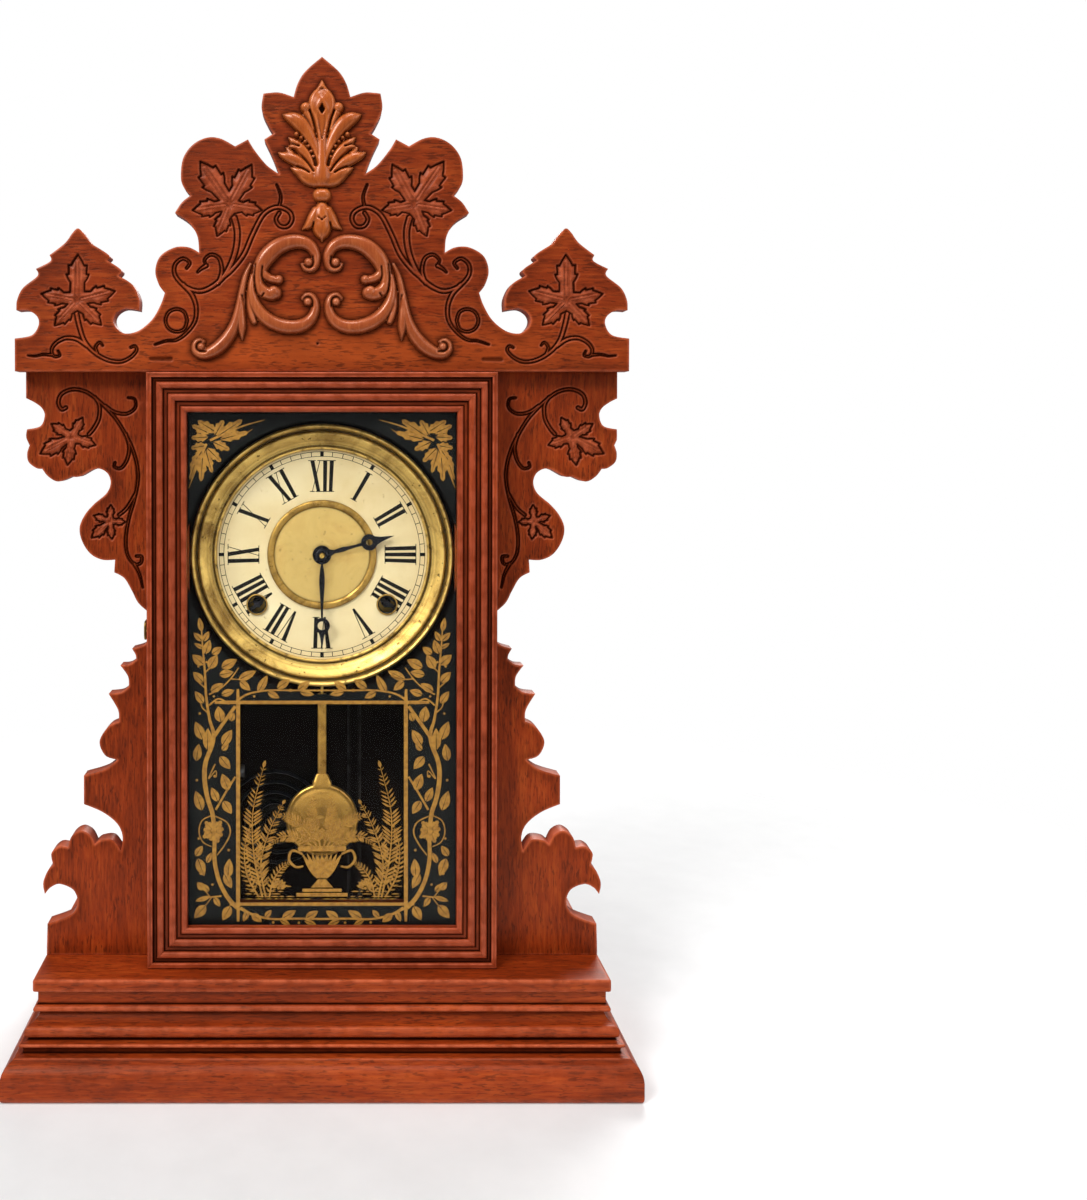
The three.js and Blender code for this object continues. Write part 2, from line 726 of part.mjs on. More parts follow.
function dial() {
  const mountBack = caseFront + glueLine + mountThickness;
  const slab = box(
    [-caseInside + glueLine, caseFront + glueLine, dialHeight - mountHalfHeight],
    [caseInside - glueLine, mountBack, dialHeight + mountHalfHeight],
  );
  const opening = rodY(mountOpening, caseFront - 1, mountBack + 1, 0, dialHeight, 32);
  const slot = box(
    [-mountSlotHalfWidth, caseFront - 1, dialHeight - mountHalfHeight - 1],
    [mountSlotHalfWidth, mountBack + 1, dialHeight],
  );
  addPart('dial_mount_board', cut(slab, opening, slot), 'rawWood');
  const rear = caseFront - runningGap;
  const crown = rear - panDepth;
  const floor = dialBack + glueLine;
  const pan = turned([
    [dialRadius - 5, floor],
    [dialRadius + 0.3, floor],
    [dialRadius + 1.4, dialFront - 1.2],
    [panRadius - 8, crown + 3.6],
    [panRadius - 7.4, crown + 2.4],
    [panRadius - 6, crown + 0.7],
    [panRadius - 3.6, crown],
    [panRadius - 1.2, crown + 0.8],
    [panRadius, crown + 2.8],
    [panRadius, rear],
    [panRadius - 1, rear],
    [panRadius - 4, crown + 5],
    [dialRadius + 2, floor + 0.8],
    [dialRadius - 5, floor + 0.8],
    [dialRadius - 5, floor],
  ], 36, 0, dialHeight);
  addPart('dial_pan', pan, 'brass');
  const face = circleShape(dialRadius);
  face.holes.push(holePath(0, 0, 5));
  for (const side of [-1, 1]) face.holes.push(holePath(side * windingX, -windingDrop, windingHoleRadius));
  addPart('dial_face', board(face, dialFront, dialBack, 14).translate(0, 0, dialHeight), 'dialPaper');
  const ringFront = dialFront - glueLine;
  const centre = turned([
    [5, ringFront],
    [dialRingOuter, ringFront],
    [dialRingOuter, ringFront - 0.8],
    [dialRingOuter - 1.4, ringFront - 1.5],
    [dialRingInner + 1, ringFront - 1.5],
    [dialRingInner, ringFront - 0.5],
    [5, ringFront - 0.5],
    [5, ringFront],
  ], 30, 0, dialHeight);
  addPart('dial_centre', centre, 'brass');
  const grommet = (side) => turned([
    [windingHoleRadius - grommetWall, dialBack],
    [windingHoleRadius - runningGap, dialBack],
    [windingHoleRadius - runningGap, ringFront],
    [windingHoleRadius + grommetWall, ringFront],
    [windingHoleRadius, ringFront - 1],
    [windingHoleRadius - grommetWall, ringFront - 1],
    [windingHoleRadius - grommetWall, dialBack],
  ], 12, side * windingX, dialHeight - windingDrop);
  addPart('winding_grommet_left', grommet(-1), 'brass');
  addPart('winding_grommet_right', grommet(1), 'brass');
}

// Hands

const pipeOuter = 3.2;
const hourHandFront = dialFront - 3.2;
const minuteHandFront = hourHandFront - 2.2;
const handBore = 0.15;

function placeHand(geometry, turn) {
  return geometry.rotateY(turn * Math.PI / 180).translate(0, 0, dialHeight);
}

function hands() {
  const hourShape = new THREE.Shape();
  const hourRing = 29.5;
  drawStretches(hourShape, [
    [[1.7, 4], [1.1, 24]],
    [[1.1, 24], [5, 27.5], [5, 31.5], [1.4, 35]],
    [[1.4, 35], [2.2, 38], [0, hourHandLength], [-2.2, 38], [-1.4, 35]],
    [[-1.4, 35], [-5, 31.5], [-5, 27.5], [-1.1, 24]],
    [[-1.1, 24], [-1.7, 4]],
  ], (x, z) => [x, z]);
  hourShape.holes.push(holePath(0, hourRing, 2));
  const hourBlade = board(hourShape, hourHandFront, hourHandFront + handThickness, 3);
  const hourHub = tubeY(pipeOuter + handBore, 5.6, hourHandFront, hourHandFront + handThickness, 0, 0);
  addPart('hour_hand', placeHand(join(hourBlade, hourHub), hourHandTurn), 'bluedSteel');
  const minuteShape = new THREE.Shape();
  drawStretches(minuteShape, [
    [[1.2, 3], [0.8, 36]],
    [[0.8, 36], [3.6, 38.5], [4.6, 42], [3.6, 45.5], [0.9, 48]],
    [[0.9, 48], [0, minuteHandLength], [-0.9, 48]],
    [[-0.9, 48], [-3.6, 45.5], [-4.6, 42], [-3.6, 38.5], [-0.8, 36]],
    [[-0.8, 36], [-1.2, 3]],
  ], (x, z) => [x, z]);
  minuteShape.holes.push(holePath(0, 42, 2.6));
  const minuteBlade = board(minuteShape, minuteHandFront, minuteHandFront + handThickness, 3);
  const minuteHub = tubeY(arborRadius + handBore, 4.4, minuteHandFront, minuteHandFront + handThickness, 0, 0);
  addPart('minute_hand', placeHand(join(minuteBlade, minuteHub), minuteHandTurn), 'bluedSteel');
  const washerBack = minuteHandFront - glueLine;
  const washer = tubeY(arborRadius + handBore, 4, washerBack - 0.8, washerBack, 0, dialHeight);
  addPart('hand_washer', washer, 'brass');
}

// Wheels: a wheel has pointed teeth, a pinion has narrow leaves

const tipShare = 0.8;
const rootShare = 1;

function wheelShape(teeth, pitchRadius, phase) {
  const module = 2 * pitchRadius / teeth;
  const points = [];
  for (let i = 0; i < teeth; i += 1) {
    const angle = phase + i * 2 * Math.PI / teeth;
    const valley = angle + Math.PI / teeth;
    const tip = pitchRadius + tipShare * module;
    const root = pitchRadius - rootShare * module;
    points.push([tip * Math.cos(angle), tip * Math.sin(angle)]);
    points.push([root * Math.cos(valley), root * Math.sin(valley)]);
  }
  return toShape(points);
}

function pinionShape(leaves, pitchRadius, phase) {
  const module = 2 * pitchRadius / leaves;
  const points = [];
  for (let i = 0; i < leaves; i += 1) {
    const angle = phase + (i + 0.5) * 2 * Math.PI / leaves;
    for (const [radius, half] of [[pitchRadius - 1.15 * module, 0.3], [pitchRadius + 0.55 * module, 0.18]]) {
      for (const side of half > 0.2 ? [-1] : [-1, 1]) {
        const turn = angle + side * half * module / radius;
        points.push([radius * Math.cos(turn), radius * Math.sin(turn)]);
      }
    }
    const root = pitchRadius - 1.15 * module;
    const turn = angle + 0.3 * module / root;
    points.push([root * Math.cos(turn), root * Math.sin(turn)]);
  }
  return toShape(points);
}

function toothed(shape, front, thickness, [x, z]) {
  return board(shape, front, front + thickness, 6).translate(x, 0, dialHeight + z);
}

function axle(radius, front, back, [x, z], segments = 8) {
  return rodY(radius, front, back, x, dialHeight + z, segments);
}

const backPlateBack = backPlateY + plateThickness;
const insideFront = frontPlateY + plateThickness + runningGap;
const insideBack = backPlateY - runningGap;

// An arbor between the plates with its thinner pivots in them.
function arbor(place, radius) {
  return join(
    axle(radius, insideFront, insideBack, place),
    axle(pivotRadius * 0.9, frontPlateY, backPlateBack, place),
  );
}

// Arbor places, from the dial's middle. Each pair's distance is the sum of its two pitch radii.
function meet(a, reachA, b, reachB, side) {
  const [dx, dz] = [b[0] - a[0], b[1] - a[1]];
  const gap = Math.hypot(dx, dz);
  const along = (reachA ** 2 - reachB ** 2 + gap ** 2) / (2 * gap);
  const across = side * Math.sqrt(Math.max(reachA ** 2 - along ** 2, 0));
  return [a[0] + (along * dx - across * dz) / gap, a[1] + (along * dz + across * dx) / gap];
}

const great = { teeth: 48, radius: 24 };
const greatPinion = { leaves: 8, radius: 4 };
const second = { teeth: 40, radius: 20 };
const centrePinion = { leaves: 8, radius: 4 };
const centre = { teeth: 72, radius: 21.6 };
const thirdPinion = { leaves: 6, radius: 1.8 };
const third = { teeth: 78, radius: 20.28 };
const escapePinion = { leaves: 6, radius: 1.56 };
const escapeTeeth = 30;
const escapeRadius = 13.5;
const cannon = { leaves: 12, radius: 4 };
const motion = { teeth: 36, radius: 12 };
const motionPinion = { leaves: 10, radius: 3.2 };
const hour = { teeth: 40, radius: 12.8 };
const strikeSecond = { teeth: 48, radius: 20 };
const flyPinion = { leaves: 6, radius: 2.5 };

const escapeDrop = 20;
const centreAt = [0, 0];
const timeAt = [windingX, -windingDrop];
const strikeAt = [-windingX, -windingDrop];
const secondAt = meet(timeAt, great.radius + greatPinion.radius, centreAt, second.radius + centrePinion.radius, -1);
const vergeAt = [0, -pendulumDrop];
const escapeAt = [0, -pendulumDrop - escapeDrop];
const thirdAt = meet(
  centreAt, centre.radius + thirdPinion.radius, escapeAt, third.radius + escapePinion.radius, -1,
);
const motionAt = [
  (cannon.radius + motion.radius) * Math.SQRT1_2,
  (cannon.radius + motion.radius) * Math.SQRT1_2,
];
const strikeSecondAt = [-windingX, -windingDrop + great.radius + greatPinion.radius];
const flyAngle = 1.17;
const flyAt = [
  strikeSecondAt[0] + (strikeSecond.radius + flyPinion.radius) * Math.cos(flyAngle),
  strikeSecondAt[1] + (strikeSecond.radius + flyPinion.radius) * Math.sin(flyAngle),
];
const hammerAt = [hammerX, -hammerDrop];
const pillarPlaces = [[-40, plateBottom + 5], [40, plateBottom + 5], [-50, plateTop - 6], [50, plateTop - 6]];

function bearing(from, to) {
  return Math.atan2(to[1] - from[1], to[0] - from[0]);
}

// Layers of the train, front faces
const centreWheelY = frontPlateY + 25;
const greatY = frontPlateY + 28;
const secondY = frontPlateY + 31;
const thirdY = frontPlateY + 33.9;
const escapeY = frontPlateY + 7;
const motionY = frontPlateY - 5.4;
const hourY = frontPlateY - 8.6;

function movementPlates() {
  const outline = (places, bores) => {
    const corner = 4;
    const [left, right] = [-plateHalfWidth, plateHalfWidth];
    const shape = toShape([
      [left + corner, plateBottom], [right - corner, plateBottom], [right, plateBottom + corner],
      [right, plateTop - corner], [right - corner, plateTop], [left + corner, plateTop],
      [left, plateTop - corner], [left, plateBottom + corner],
    ]);
    places.forEach((place, i) => shape.holes.push(holePath(place[0], place[1], bores[i])));
    return shape;
  };
  const pivotHole = pivotRadius + runningGap;
  const windingHole = windingArborRadius + runningGap;
  const places = [centreAt, timeAt, strikeAt, secondAt, thirdAt, escapeAt, strikeSecondAt, flyAt, hammerAt];
  const bores = [arborRadius + runningGap, windingHole, windingHole, ...Array(6).fill(pivotHole)];
  const frontShape = outline([...places, vergeAt], [...bores, pivotHole]);
  const front = board(frontShape, frontPlateY, frontPlateY + plateThickness, 6).translate(0, 0, dialHeight);
  const motionStud = axle(pivotRadius * 0.8, hourY - 0.6, frontPlateY + 0.5, motionAt);
  addPart('movement_front_plate', join(front, motionStud), 'brass');
  const back = board(outline(places, bores), backPlateY, backPlateBack, 6).translate(0, 0, dialHeight);
  const pillars = pillarPlaces.map((place) => (
    axle(2.5, frontPlateY + plateThickness + glueLine, backPlateY + 0.5, place)
  ));
  const feet = pillarPlaces.map((place) => axle(4, backPlateBack - 0.5, backBoardFront - glueLine, place));
  addPart('movement_back_plate', join(back, ...pillars, ...feet), 'brass');
}

// A flat spring coiled from the arbor outwards, as one strip.
function mainspring(name, place, hand) {
  const steps = 12 * mainspringTurns;
  const strip = 0.5;
  const start = windingArborRadius + runningGap;
  const inner = [];
  const outer = [];
  for (let i = 0; i <= steps; i += 1) {
    const angle = hand * i * 2 * Math.PI / 12;
    const radius = start + (mainspringRadius - strip - start) * i / steps;
    inner.push([radius * Math.cos(angle), radius * Math.sin(angle)]);
    outer.push([(radius + strip) * Math.cos(angle), (radius + strip) * Math.sin(angle)]);
  }
  const shape = toShape([...inner, ...outer.reverse()]);
  const front = frontPlateY + 6;
  addPart(name, toothed(shape, front, mainspringWidth, place), 'steel');
}

function windingArbor(name, place) {
  const square = 1.8;
  const [x, z] = [place[0], dialHeight + place[1]];
  const tip = dialFront - 0.6;
  addPart(name, join(
    axle(windingArborRadius, frontPlateY - 3, backPlateBack, place, 12),
    box([x - square, tip, z - square], [x + square, frontPlateY - 2, z + square]),
  ), 'steel');
}

function greatWheel(name, place, pinionAt) {
  const phase = bearing(place, pinionAt);
  const shape = wheelShape(great.teeth, great.radius, phase);
  shape.holes.push(holePath(0, 0, windingArborRadius + runningGap));
  addPart(name, toothed(shape, greatY, wheelThickness, place), 'brass');
}

function trains() {
  const pinionReach = 3.2;
  const wheelOf = (size, at, to, y) => (
    toothed(wheelShape(size.teeth, size.radius, bearing(at, to)), y, wheelThickness, at)
  );
  const pinionOf = (size, at, from, y, length) => (
    toothed(pinionShape(size.leaves, size.radius, bearing(at, from)), y, length, at)
  );
  windingArbor('time_winding_arbor', timeAt);
  windingArbor('strike_winding_arbor', strikeAt);
  greatWheel('time_great_wheel', timeAt, secondAt);
  greatWheel('strike_great_wheel', strikeAt, strikeSecondAt);
  mainspring('time_mainspring', timeAt, 1);
  mainspring('strike_mainspring', strikeAt, -1);
  addPart('time_second_wheel', join(
    arbor(secondAt, arborRadius),
    pinionOf(greatPinion, secondAt, timeAt, greatY - 0.8, pinionReach),
    wheelOf(second, secondAt, centreAt, secondY),
  ), 'brass');
  const centreTube = tubeY(
    arborRadius + 0.25, 2.4, centreWheelY - 0.5, secondY + 2.6, 0, dialHeight, 12,
  );
  const centreCore = axle(arborRadius + 0.25, centreWheelY - 2, secondY + 4, centreAt, 12);
  addPart('centre_wheel', cut(join(
    centreTube,
    wheelOf(centre, centreAt, thirdAt, centreWheelY),
    pinionOf(centrePinion, centreAt, secondAt, secondY - 0.8, pinionReach),
  ), centreCore), 'brass');
  addPart('third_wheel', join(
    arbor(thirdAt, 0.75),
    pinionOf(thirdPinion, thirdAt, centreAt, centreWheelY - 0.6, 2.6),
    wheelOf(third, thirdAt, escapeAt, thirdY),
  ), 'brass');
  addPart('escape_wheel', join(
    arbor(escapeAt, 0.65),
    pinionOf(escapePinion, escapeAt, thirdAt, thirdY - 0.4, 2.3),
    toothed(escapeShape(), escapeY, 1.2, escapeAt),
  ), 'brass');
  addPart('strike_second_wheel', join(
    arbor(strikeSecondAt, arborRadius),
    pinionOf(greatPinion, strikeSecondAt, strikeAt, greatY - 0.8, pinionReach),
    wheelOf(strikeSecond, strikeSecondAt, flyAt, secondY),
  ), 'brass');
  const flySpan = 11;
  const [flyX, flyZ] = [flyAt[0], dialHeight + flyAt[1]];
  addPart('strike_fly', join(
    arbor(flyAt, 0.95),
    pinionOf(flyPinion, flyAt, strikeSecondAt, secondY - 0.8, pinionReach),
    box([flyX - flySpan, frontPlateY + 6, flyZ - 0.3], [flyX + flySpan, frontPlateY + 20, flyZ + 0.3]),
  ), 'brass');
}

// The escape wheel's teeth lean forward.
function escapeShape() {
  const points = [];
  for (let i = 0; i < escapeTeeth; i += 1) {
    const angle = i * 2 * Math.PI / escapeTeeth;
    const root = angle + 0.35 * 2 * Math.PI / escapeTeeth;
    points.push([escapeRadius * Math.cos(angle), escapeRadius * Math.sin(angle)]);
    points.push([(escapeRadius - 2.4) * Math.cos(root), (escapeRadius - 2.4) * Math.sin(root)]);
  }
  return toShape(points);
}

// Motion work: the arbor that carries the minute hand, and the wheels that carry the hour hand
function motionWork() {
  const arborTip = minuteHandFront - 2.8;
  addPart('centre_arbor', join(
    axle(arborRadius, arborTip, backPlateBack, centreAt, 12),
    toothed(pinionShape(cannon.leaves, cannon.radius, bearing(centreAt, motionAt)), motionY - 0.3, 2, centreAt),
  ), 'steel');
  const bore = axle(pivotRadius * 0.8 + 0.2, hourY - 2, motionY + 3, motionAt);
  addPart('minute_wheel', cut(join(
    toothed(wheelShape(motion.teeth, motion.radius, bearing(motionAt, centreAt)), motionY, wheelThickness, motionAt),
    toothed(pinionShape(motionPinion.leaves, motionPinion.radius, bearing(motionAt, centreAt)), hourY - 0.3,
      motionY - hourY + 0.6, motionAt),
  ), bore), 'brass');
  const pipeCore = axle(arborRadius + handBore + 0.1, hourHandFront - 1, hourY + 3, centreAt, 12);
  addPart('hour_wheel', cut(join(
    toothed(wheelShape(hour.teeth, hour.radius, bearing(centreAt, motionAt)), hourY, wheelThickness, centreAt),
    axle(pipeOuter, hourHandFront - 0.2, hourY + wheelThickness, centreAt, 16),
  ), pipeCore), 'brass');
}

// Escapement and pendulum

const crutchLength = 26;
const springHalfWidth = 1.5;
const springThickness = 0.2;

function escapement() {
  const [, pivotDrop] = vergeAt;
  const z = dialHeight + pivotDrop;
  const clear = escapeRadius + 0.6;
  const nib = (side) => [side * clear * 0.72, -escapeDrop + clear * 0.72];
  const anchor = toShape([
    [-2.4, -2.4], [-nib(1)[0] - 0.2, nib(1)[1]], [-nib(1)[0] - 2, nib(1)[1] + 1.4], [-2.4, 2.4],
    [2.4, 2.4], [nib(1)[0] + 2, nib(1)[1] + 1.4], [nib(1)[0] + 0.2, nib(1)[1]], [2.4, -2.4],
  ]);
  const crutchFront = frontPlateY - 2.4;
  addPart('verge', join(
    axle(0.9, crutchFront, escapeY + 6, vergeAt),
    board(anchor, escapeY - 0.4, escapeY + 1.6).translate(0, 0, z),
    box([-1, crutchFront, z - crutchLength], [1, crutchFront + 1, z + 1]),
    ...[-1, 1].map((side) => box(
      [Math.min(side * 1.2, side * 2.2), pendulumY - 1.6, z - crutchLength],
      [Math.max(side * 1.2, side * 2.2), crutchFront + 1, z - crutchLength + 1],
    )),
    box([-2.2, crutchFront, z - crutchLength], [2.2, crutchFront + 1, z - crutchLength + 1]),
  ), 'steel');
  const postBottom = z + 4;
  const postTop = z + 7;
  const slitHalf = 0.9;
  const post = box([-2.6, pendulumY - 2.4, postBottom], [2.6, frontPlateY - glueLine, postTop]);
  const slit = box([-slitHalf, pendulumY - 3, postBottom - 1], [slitHalf, pendulumY + 2.4, postTop + 1]);
  addPart('suspension_post', cut(post, slit), 'brass');
  const rodBottom = bobZ - bobRadius - nutThickness - 6;
  addPart('pendulum_rod', join(
    box([-1.8, pendulumY - springHalfWidth, postTop + runningGap], [1.8, pendulumY + springHalfWidth, postTop + 1.2]),
    box([-springThickness, pendulumY - springHalfWidth, z - 8], [springThickness, pendulumY + springHalfWidth,
      postTop + 1]),
    rodZ(rodRadius, rodBottom, z - 7, 0, pendulumY, 8),
  ), 'steel');
}

function bobAndNut() {
  const half = bobThickness / 2;
  const body = turned([
    [0, pendulumY - half],
    [7, pendulumY - half + 0.5],
    [14, pendulumY - half + 2],
    [bobRadius - 2, pendulumY - 1.6],
    [bobRadius, pendulumY],
    [bobRadius - 2, pendulumY + 1.6],
    [12, pendulumY + half - 1],
    [0, pendulumY + half],
  ], 24, 0, bobZ);
  const boreRadius = rodRadius + runningGap;
  const bore = rodZ(boreRadius, bobZ - bobRadius - 5, bobZ + bobRadius + 5, 0, pendulumY, 8);
  addPart('pendulum_bob', cut(body, bore), 'brass');
  const nutTop = bobZ - bobRadius - runningGap;
  const nut = rodZ(nutRadius, nutTop - nutThickness, nutTop, 0, pendulumY, 12);
  const nutBore = rodZ(boreRadius, nutTop - nutThickness - 1, nutTop + 1, 0, pendulumY, 8);
  addPart('rating_nut', cut(nut, nutBore), 'brass');
}

// Hammer and gong

const strikeY = backPlateBack + 10;

function hammer() {
  const z = dialHeight + hammerAt[1];
  const headZ = z - hammerLength;
  const head = new THREE.CylinderGeometry(hammerHeadRadius, hammerHeadRadius, hammerHeadLength, 12);
  addPart('hammer', join(
    axle(pivotRadius * 0.9, frontPlateY, strikeY + 1.2, hammerAt),
    rodZ(0.9, headZ, z + 1, hammerX, strikeY, 6),
    head.rotateZ(Math.PI / 2).translate(hammerX, strikeY, headZ),
  ), 'steel');
}

// The gong is one wire wound outwards from its post in a flat coil.
function gong() {
  const postRadius = 4;
  const start = postRadius + gongWireRadius + runningGap;
  const lastAngle = 0.76 * Math.PI;
  const steps = 24 * gongTurns;
  const sides = 6;
  const pitch = (gongRadius - gongWireRadius - start) / gongTurns;
  const positions = [];
  const index = [];
  for (let i = 0; i <= steps; i += 1) {
    const turn = i / 24;
    const angle = lastAngle - (gongTurns - turn) * 2 * Math.PI;
    const radius = start + pitch * turn;
    for (let k = 0; k < sides; k += 1) {
      const around = k * 2 * Math.PI / sides;
      const reach = radius + gongWireRadius * Math.cos(around);
      positions.push(
        gongX + reach * Math.cos(angle),
        strikeY + gongWireRadius * Math.sin(around),
        gongZ + reach * Math.sin(angle),
      );
      if (i === steps) continue;
      const [a, b] = [i * sides + k, i * sides + (k + 1) % sides];
      index.push(a, b, a + sides, b, b + sides, a + sides);
    }
  }
  const last = steps * sides;
  for (let k = 1; k < sides - 1; k += 1) {
    index.push(0, k + 1, k, last, last + k, last + k + 1);
  }
  const coil = new THREE.BufferGeometry();
  coil.setAttribute('position', new THREE.Float32BufferAttribute(positions, 3));
  coil.setIndex(index);
  const middle = (i) => {
    const angle = lastAngle - (gongTurns - i / 24) * 2 * Math.PI;
    const radius = start + pitch * i / 24;
    return [radius * Math.cos(angle), radius * Math.sin(angle)];
  };
  let least = Infinity;
  for (let i = 0; i <= steps; i += 1) {
    for (let k = i + 12; k <= steps; k += 1) {
      least = Math.min(least, Math.hypot(middle(i)[0] - middle(k)[0], middle(i)[1] - middle(k)[1]));
    }
  }
  console.log(`gong: least gap between turns ${(least - 2 * gongWireRadius).toFixed(2)} mm`);
  addPart('gong_coil', closed(coil), 'bluedSteel');
  const seat = backBoardFront - glueLine;
  addPart('gong_base', join(
    box([gongX - 14, seat - 6, gongZ - 11], [gongX + 14, seat, gongZ + 11]),
    rodY(postRadius, strikeY - 3, seat - 1, gongX, gongZ, 12),
  ), 'iron');
}

baseBoard();
moulding();
caseBoards();
scrollBoards();
brace();
palmette();
scrolls();
doorFrame();
doorGlassAndPins();
latch();
dial();
hands();
movementPlates();
trains();
motionWork();
escapement();
bobAndNut();
hammer();
gong();

export default clock;
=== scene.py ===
import math
import random

import bmesh
import bpy
import numpy as np
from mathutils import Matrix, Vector
from mathutils.geometry import tessellate_polygon


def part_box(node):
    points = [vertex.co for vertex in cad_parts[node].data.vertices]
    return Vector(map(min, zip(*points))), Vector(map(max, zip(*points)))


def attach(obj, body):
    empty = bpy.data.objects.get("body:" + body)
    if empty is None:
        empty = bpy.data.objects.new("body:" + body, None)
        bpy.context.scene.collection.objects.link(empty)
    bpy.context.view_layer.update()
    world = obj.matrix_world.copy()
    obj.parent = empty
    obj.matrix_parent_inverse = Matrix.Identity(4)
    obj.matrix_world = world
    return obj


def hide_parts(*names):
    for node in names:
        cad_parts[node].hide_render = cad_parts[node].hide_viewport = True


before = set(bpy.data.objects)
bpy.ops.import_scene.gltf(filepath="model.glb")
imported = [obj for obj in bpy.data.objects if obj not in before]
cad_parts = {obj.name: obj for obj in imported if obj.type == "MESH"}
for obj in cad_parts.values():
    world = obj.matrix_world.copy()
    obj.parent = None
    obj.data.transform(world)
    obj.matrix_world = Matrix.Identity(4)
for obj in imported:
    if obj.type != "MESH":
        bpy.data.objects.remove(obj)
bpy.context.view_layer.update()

# Sizes below are in millimetres, in the frame's axes
MM = 0.001
TAU = 2 * math.pi


def low_high(node):
    """The corners of a CAD node in millimetres."""
    low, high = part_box(node)
    return [c / MM for c in low], [c / MM for c in high]


CREST_LOW = low_high("crest_board")[0]
SIDE_LOW, SIDE_HIGH = low_high("right_side_ornament")
DOOR_LOW, DOOR_HIGH = low_high("door_left_stile")
DOOR_HALF = -DOOR_LOW[0]
GLASS_LOW, GLASS_HIGH = low_high("door_glass")
PAN_LOW, PAN_HIGH = low_high("dial_pan")
DIAL_Z = (PAN_LOW[2] + PAN_HIGH[2]) / 2
PAPER_Y = low_high("dial_face")[0][1]
BASE_LOW, BASE_HIGH = low_high("base_top_board")
FOOT_LOW, FOOT_HIGH = low_high("base_front_moulding")
BOB_LOW, BOB_HIGH = low_high("pendulum_bob")

random.seed(7)


# Node trees

def material(name):
    """A new material, its node tree and its shader."""
    made = bpy.data.materials.new(name)
    made.use_nodes = True
    tree = made.node_tree
    return made, tree, tree.nodes["Principled BSDF"]


def node(tree, kind, **settings):
    """A new node with its settings."""
    made = tree.nodes.new(kind)
    for key, value in settings.items():
        setattr(made, key, value)
    return made


def plug(tree, source, target):
    tree.links.new(source, target)


def coordinates(tree, scale, offset=(0, 0, 0)):
    """Object coordinates in metres, scaled by one number or along each axis."""
    place = node(tree, "ShaderNodeTexCoord")
    mapping = node(tree, "ShaderNodeMapping")
    mapping.inputs["Scale"].default_value = scale if isinstance(scale, tuple) else (scale,) * 3
    mapping.inputs["Location"].default_value = offset
    plug(tree, place.outputs["Object"], mapping.inputs["Vector"])
    return mapping.outputs["Vector"]


def noise(tree, vector, scale=1.0, detail=3.0, roughness=0.55, distortion=0.0):
    made = node(tree, "ShaderNodeTexNoise")
    plug(tree, vector, made.inputs["Vector"])
    made.inputs["Scale"].default_value = scale
    made.inputs["Detail"].default_value = detail
    made.inputs["Roughness"].default_value = roughness
    made.inputs["Distortion"].default_value = distortion
    return made.outputs["Fac"]


def ramp(tree, factor, stops):
    """A colour ramp. Each stop is a position and a grey level or a colour."""
    made = node(tree, "ShaderNodeValToRGB")
    elements = made.color_ramp.elements
    while len(elements) < len(stops):
        elements.new(0.5)
    for element, (position, value) in zip(elements, stops):
        element.position = position
        element.color = (*value, 1) if isinstance(value, tuple) else (value, value, value, 1)
    plug(tree, factor, made.inputs["Fac"])
    return made.outputs["Color"]


def mix(tree, factor, a, b, blend="MIX"):
    """A mix of two colours, each a socket or a colour."""
    made = node(tree, "ShaderNodeMix", data_type="RGBA", blend_type=blend)
    for socket, value in zip((made.inputs["Factor"], made.inputs[6], made.inputs[7]), (factor, a, b)):
        if isinstance(value, bpy.types.NodeSocket):
            plug(tree, value, socket)
        elif isinstance(value, tuple):
            socket.default_value = (*value, 1)
        else:
            socket.default_value = value
    return made.outputs[2]


def times(tree, a, b, operation="MULTIPLY", clamp=False):
    """The product of two numbers or sockets, or what another operation makes of them."""
    made = node(tree, "ShaderNodeMath", operation=operation, use_clamp=clamp)
    for socket, value in zip(made.inputs, (a, b)):
        if isinstance(value, bpy.types.NodeSocket):
            plug(tree, value, socket)
        else:
            socket.default_value = value
    return made.outputs[0]


def attribute(tree, name):
    """One of the numbers that a mesh keeps for each of its points."""
    return node(tree, "ShaderNodeAttribute", attribute_name=name).outputs["Fac"]


def stained(tree, base, field, start, full, amount, colour):
    """Mixes a colour in where a field lies above start, up to an amount where it is above full."""
    return mix(tree, times(tree, ramp(tree, field, [(start, 0.0), (full, 1.0)]), amount), base, colour)


def bump(tree, shader, height, distance, strength=1.0):
    """Fine relief under the mesh's own, from a field and its depth in metres."""
    made = node(tree, "ShaderNodeBump")
    made.inputs["Strength"].default_value = strength
    made.inputs["Distance"].default_value = distance
    plug(tree, height, made.inputs["Height"])
    plug(tree, made.outputs["Normal"], shader.inputs["Normal"])


def clear_where(tree, shader, factor, tint=(1, 1, 1, 1)):
    """Lets light straight through a material by a factor."""
    clear = node(tree, "ShaderNodeBsdfTransparent")
    clear.inputs["Color"].default_value = tint
    both = node(tree, "ShaderNodeMixShader")
    for socket, source in zip(both.inputs, (factor, shader.outputs[0], clear.outputs[0])):
        plug(tree, source, socket)
    plug(tree, both.outputs[0], tree.nodes["Material Output"].inputs["Surface"])


def rgb(*levels):
    """A colour from 0 to 255 as the shader's linear one."""
    shares = [level / 255 for level in levels]
    return tuple(s / 12.92 if s <= 0.04045 else ((s + 0.055) / 1.055) ** 2.4 for s in shares)


def scaled(colour, factor, rise=0.0):
    """A lighter or darker tone of a colour."""
    return tuple(min(1, channel * factor + rise) for channel in colour)


# Materials

# How much finer the grain is across than along
GRAIN_STRETCH = 12
DUST = rgb(176, 160, 142)


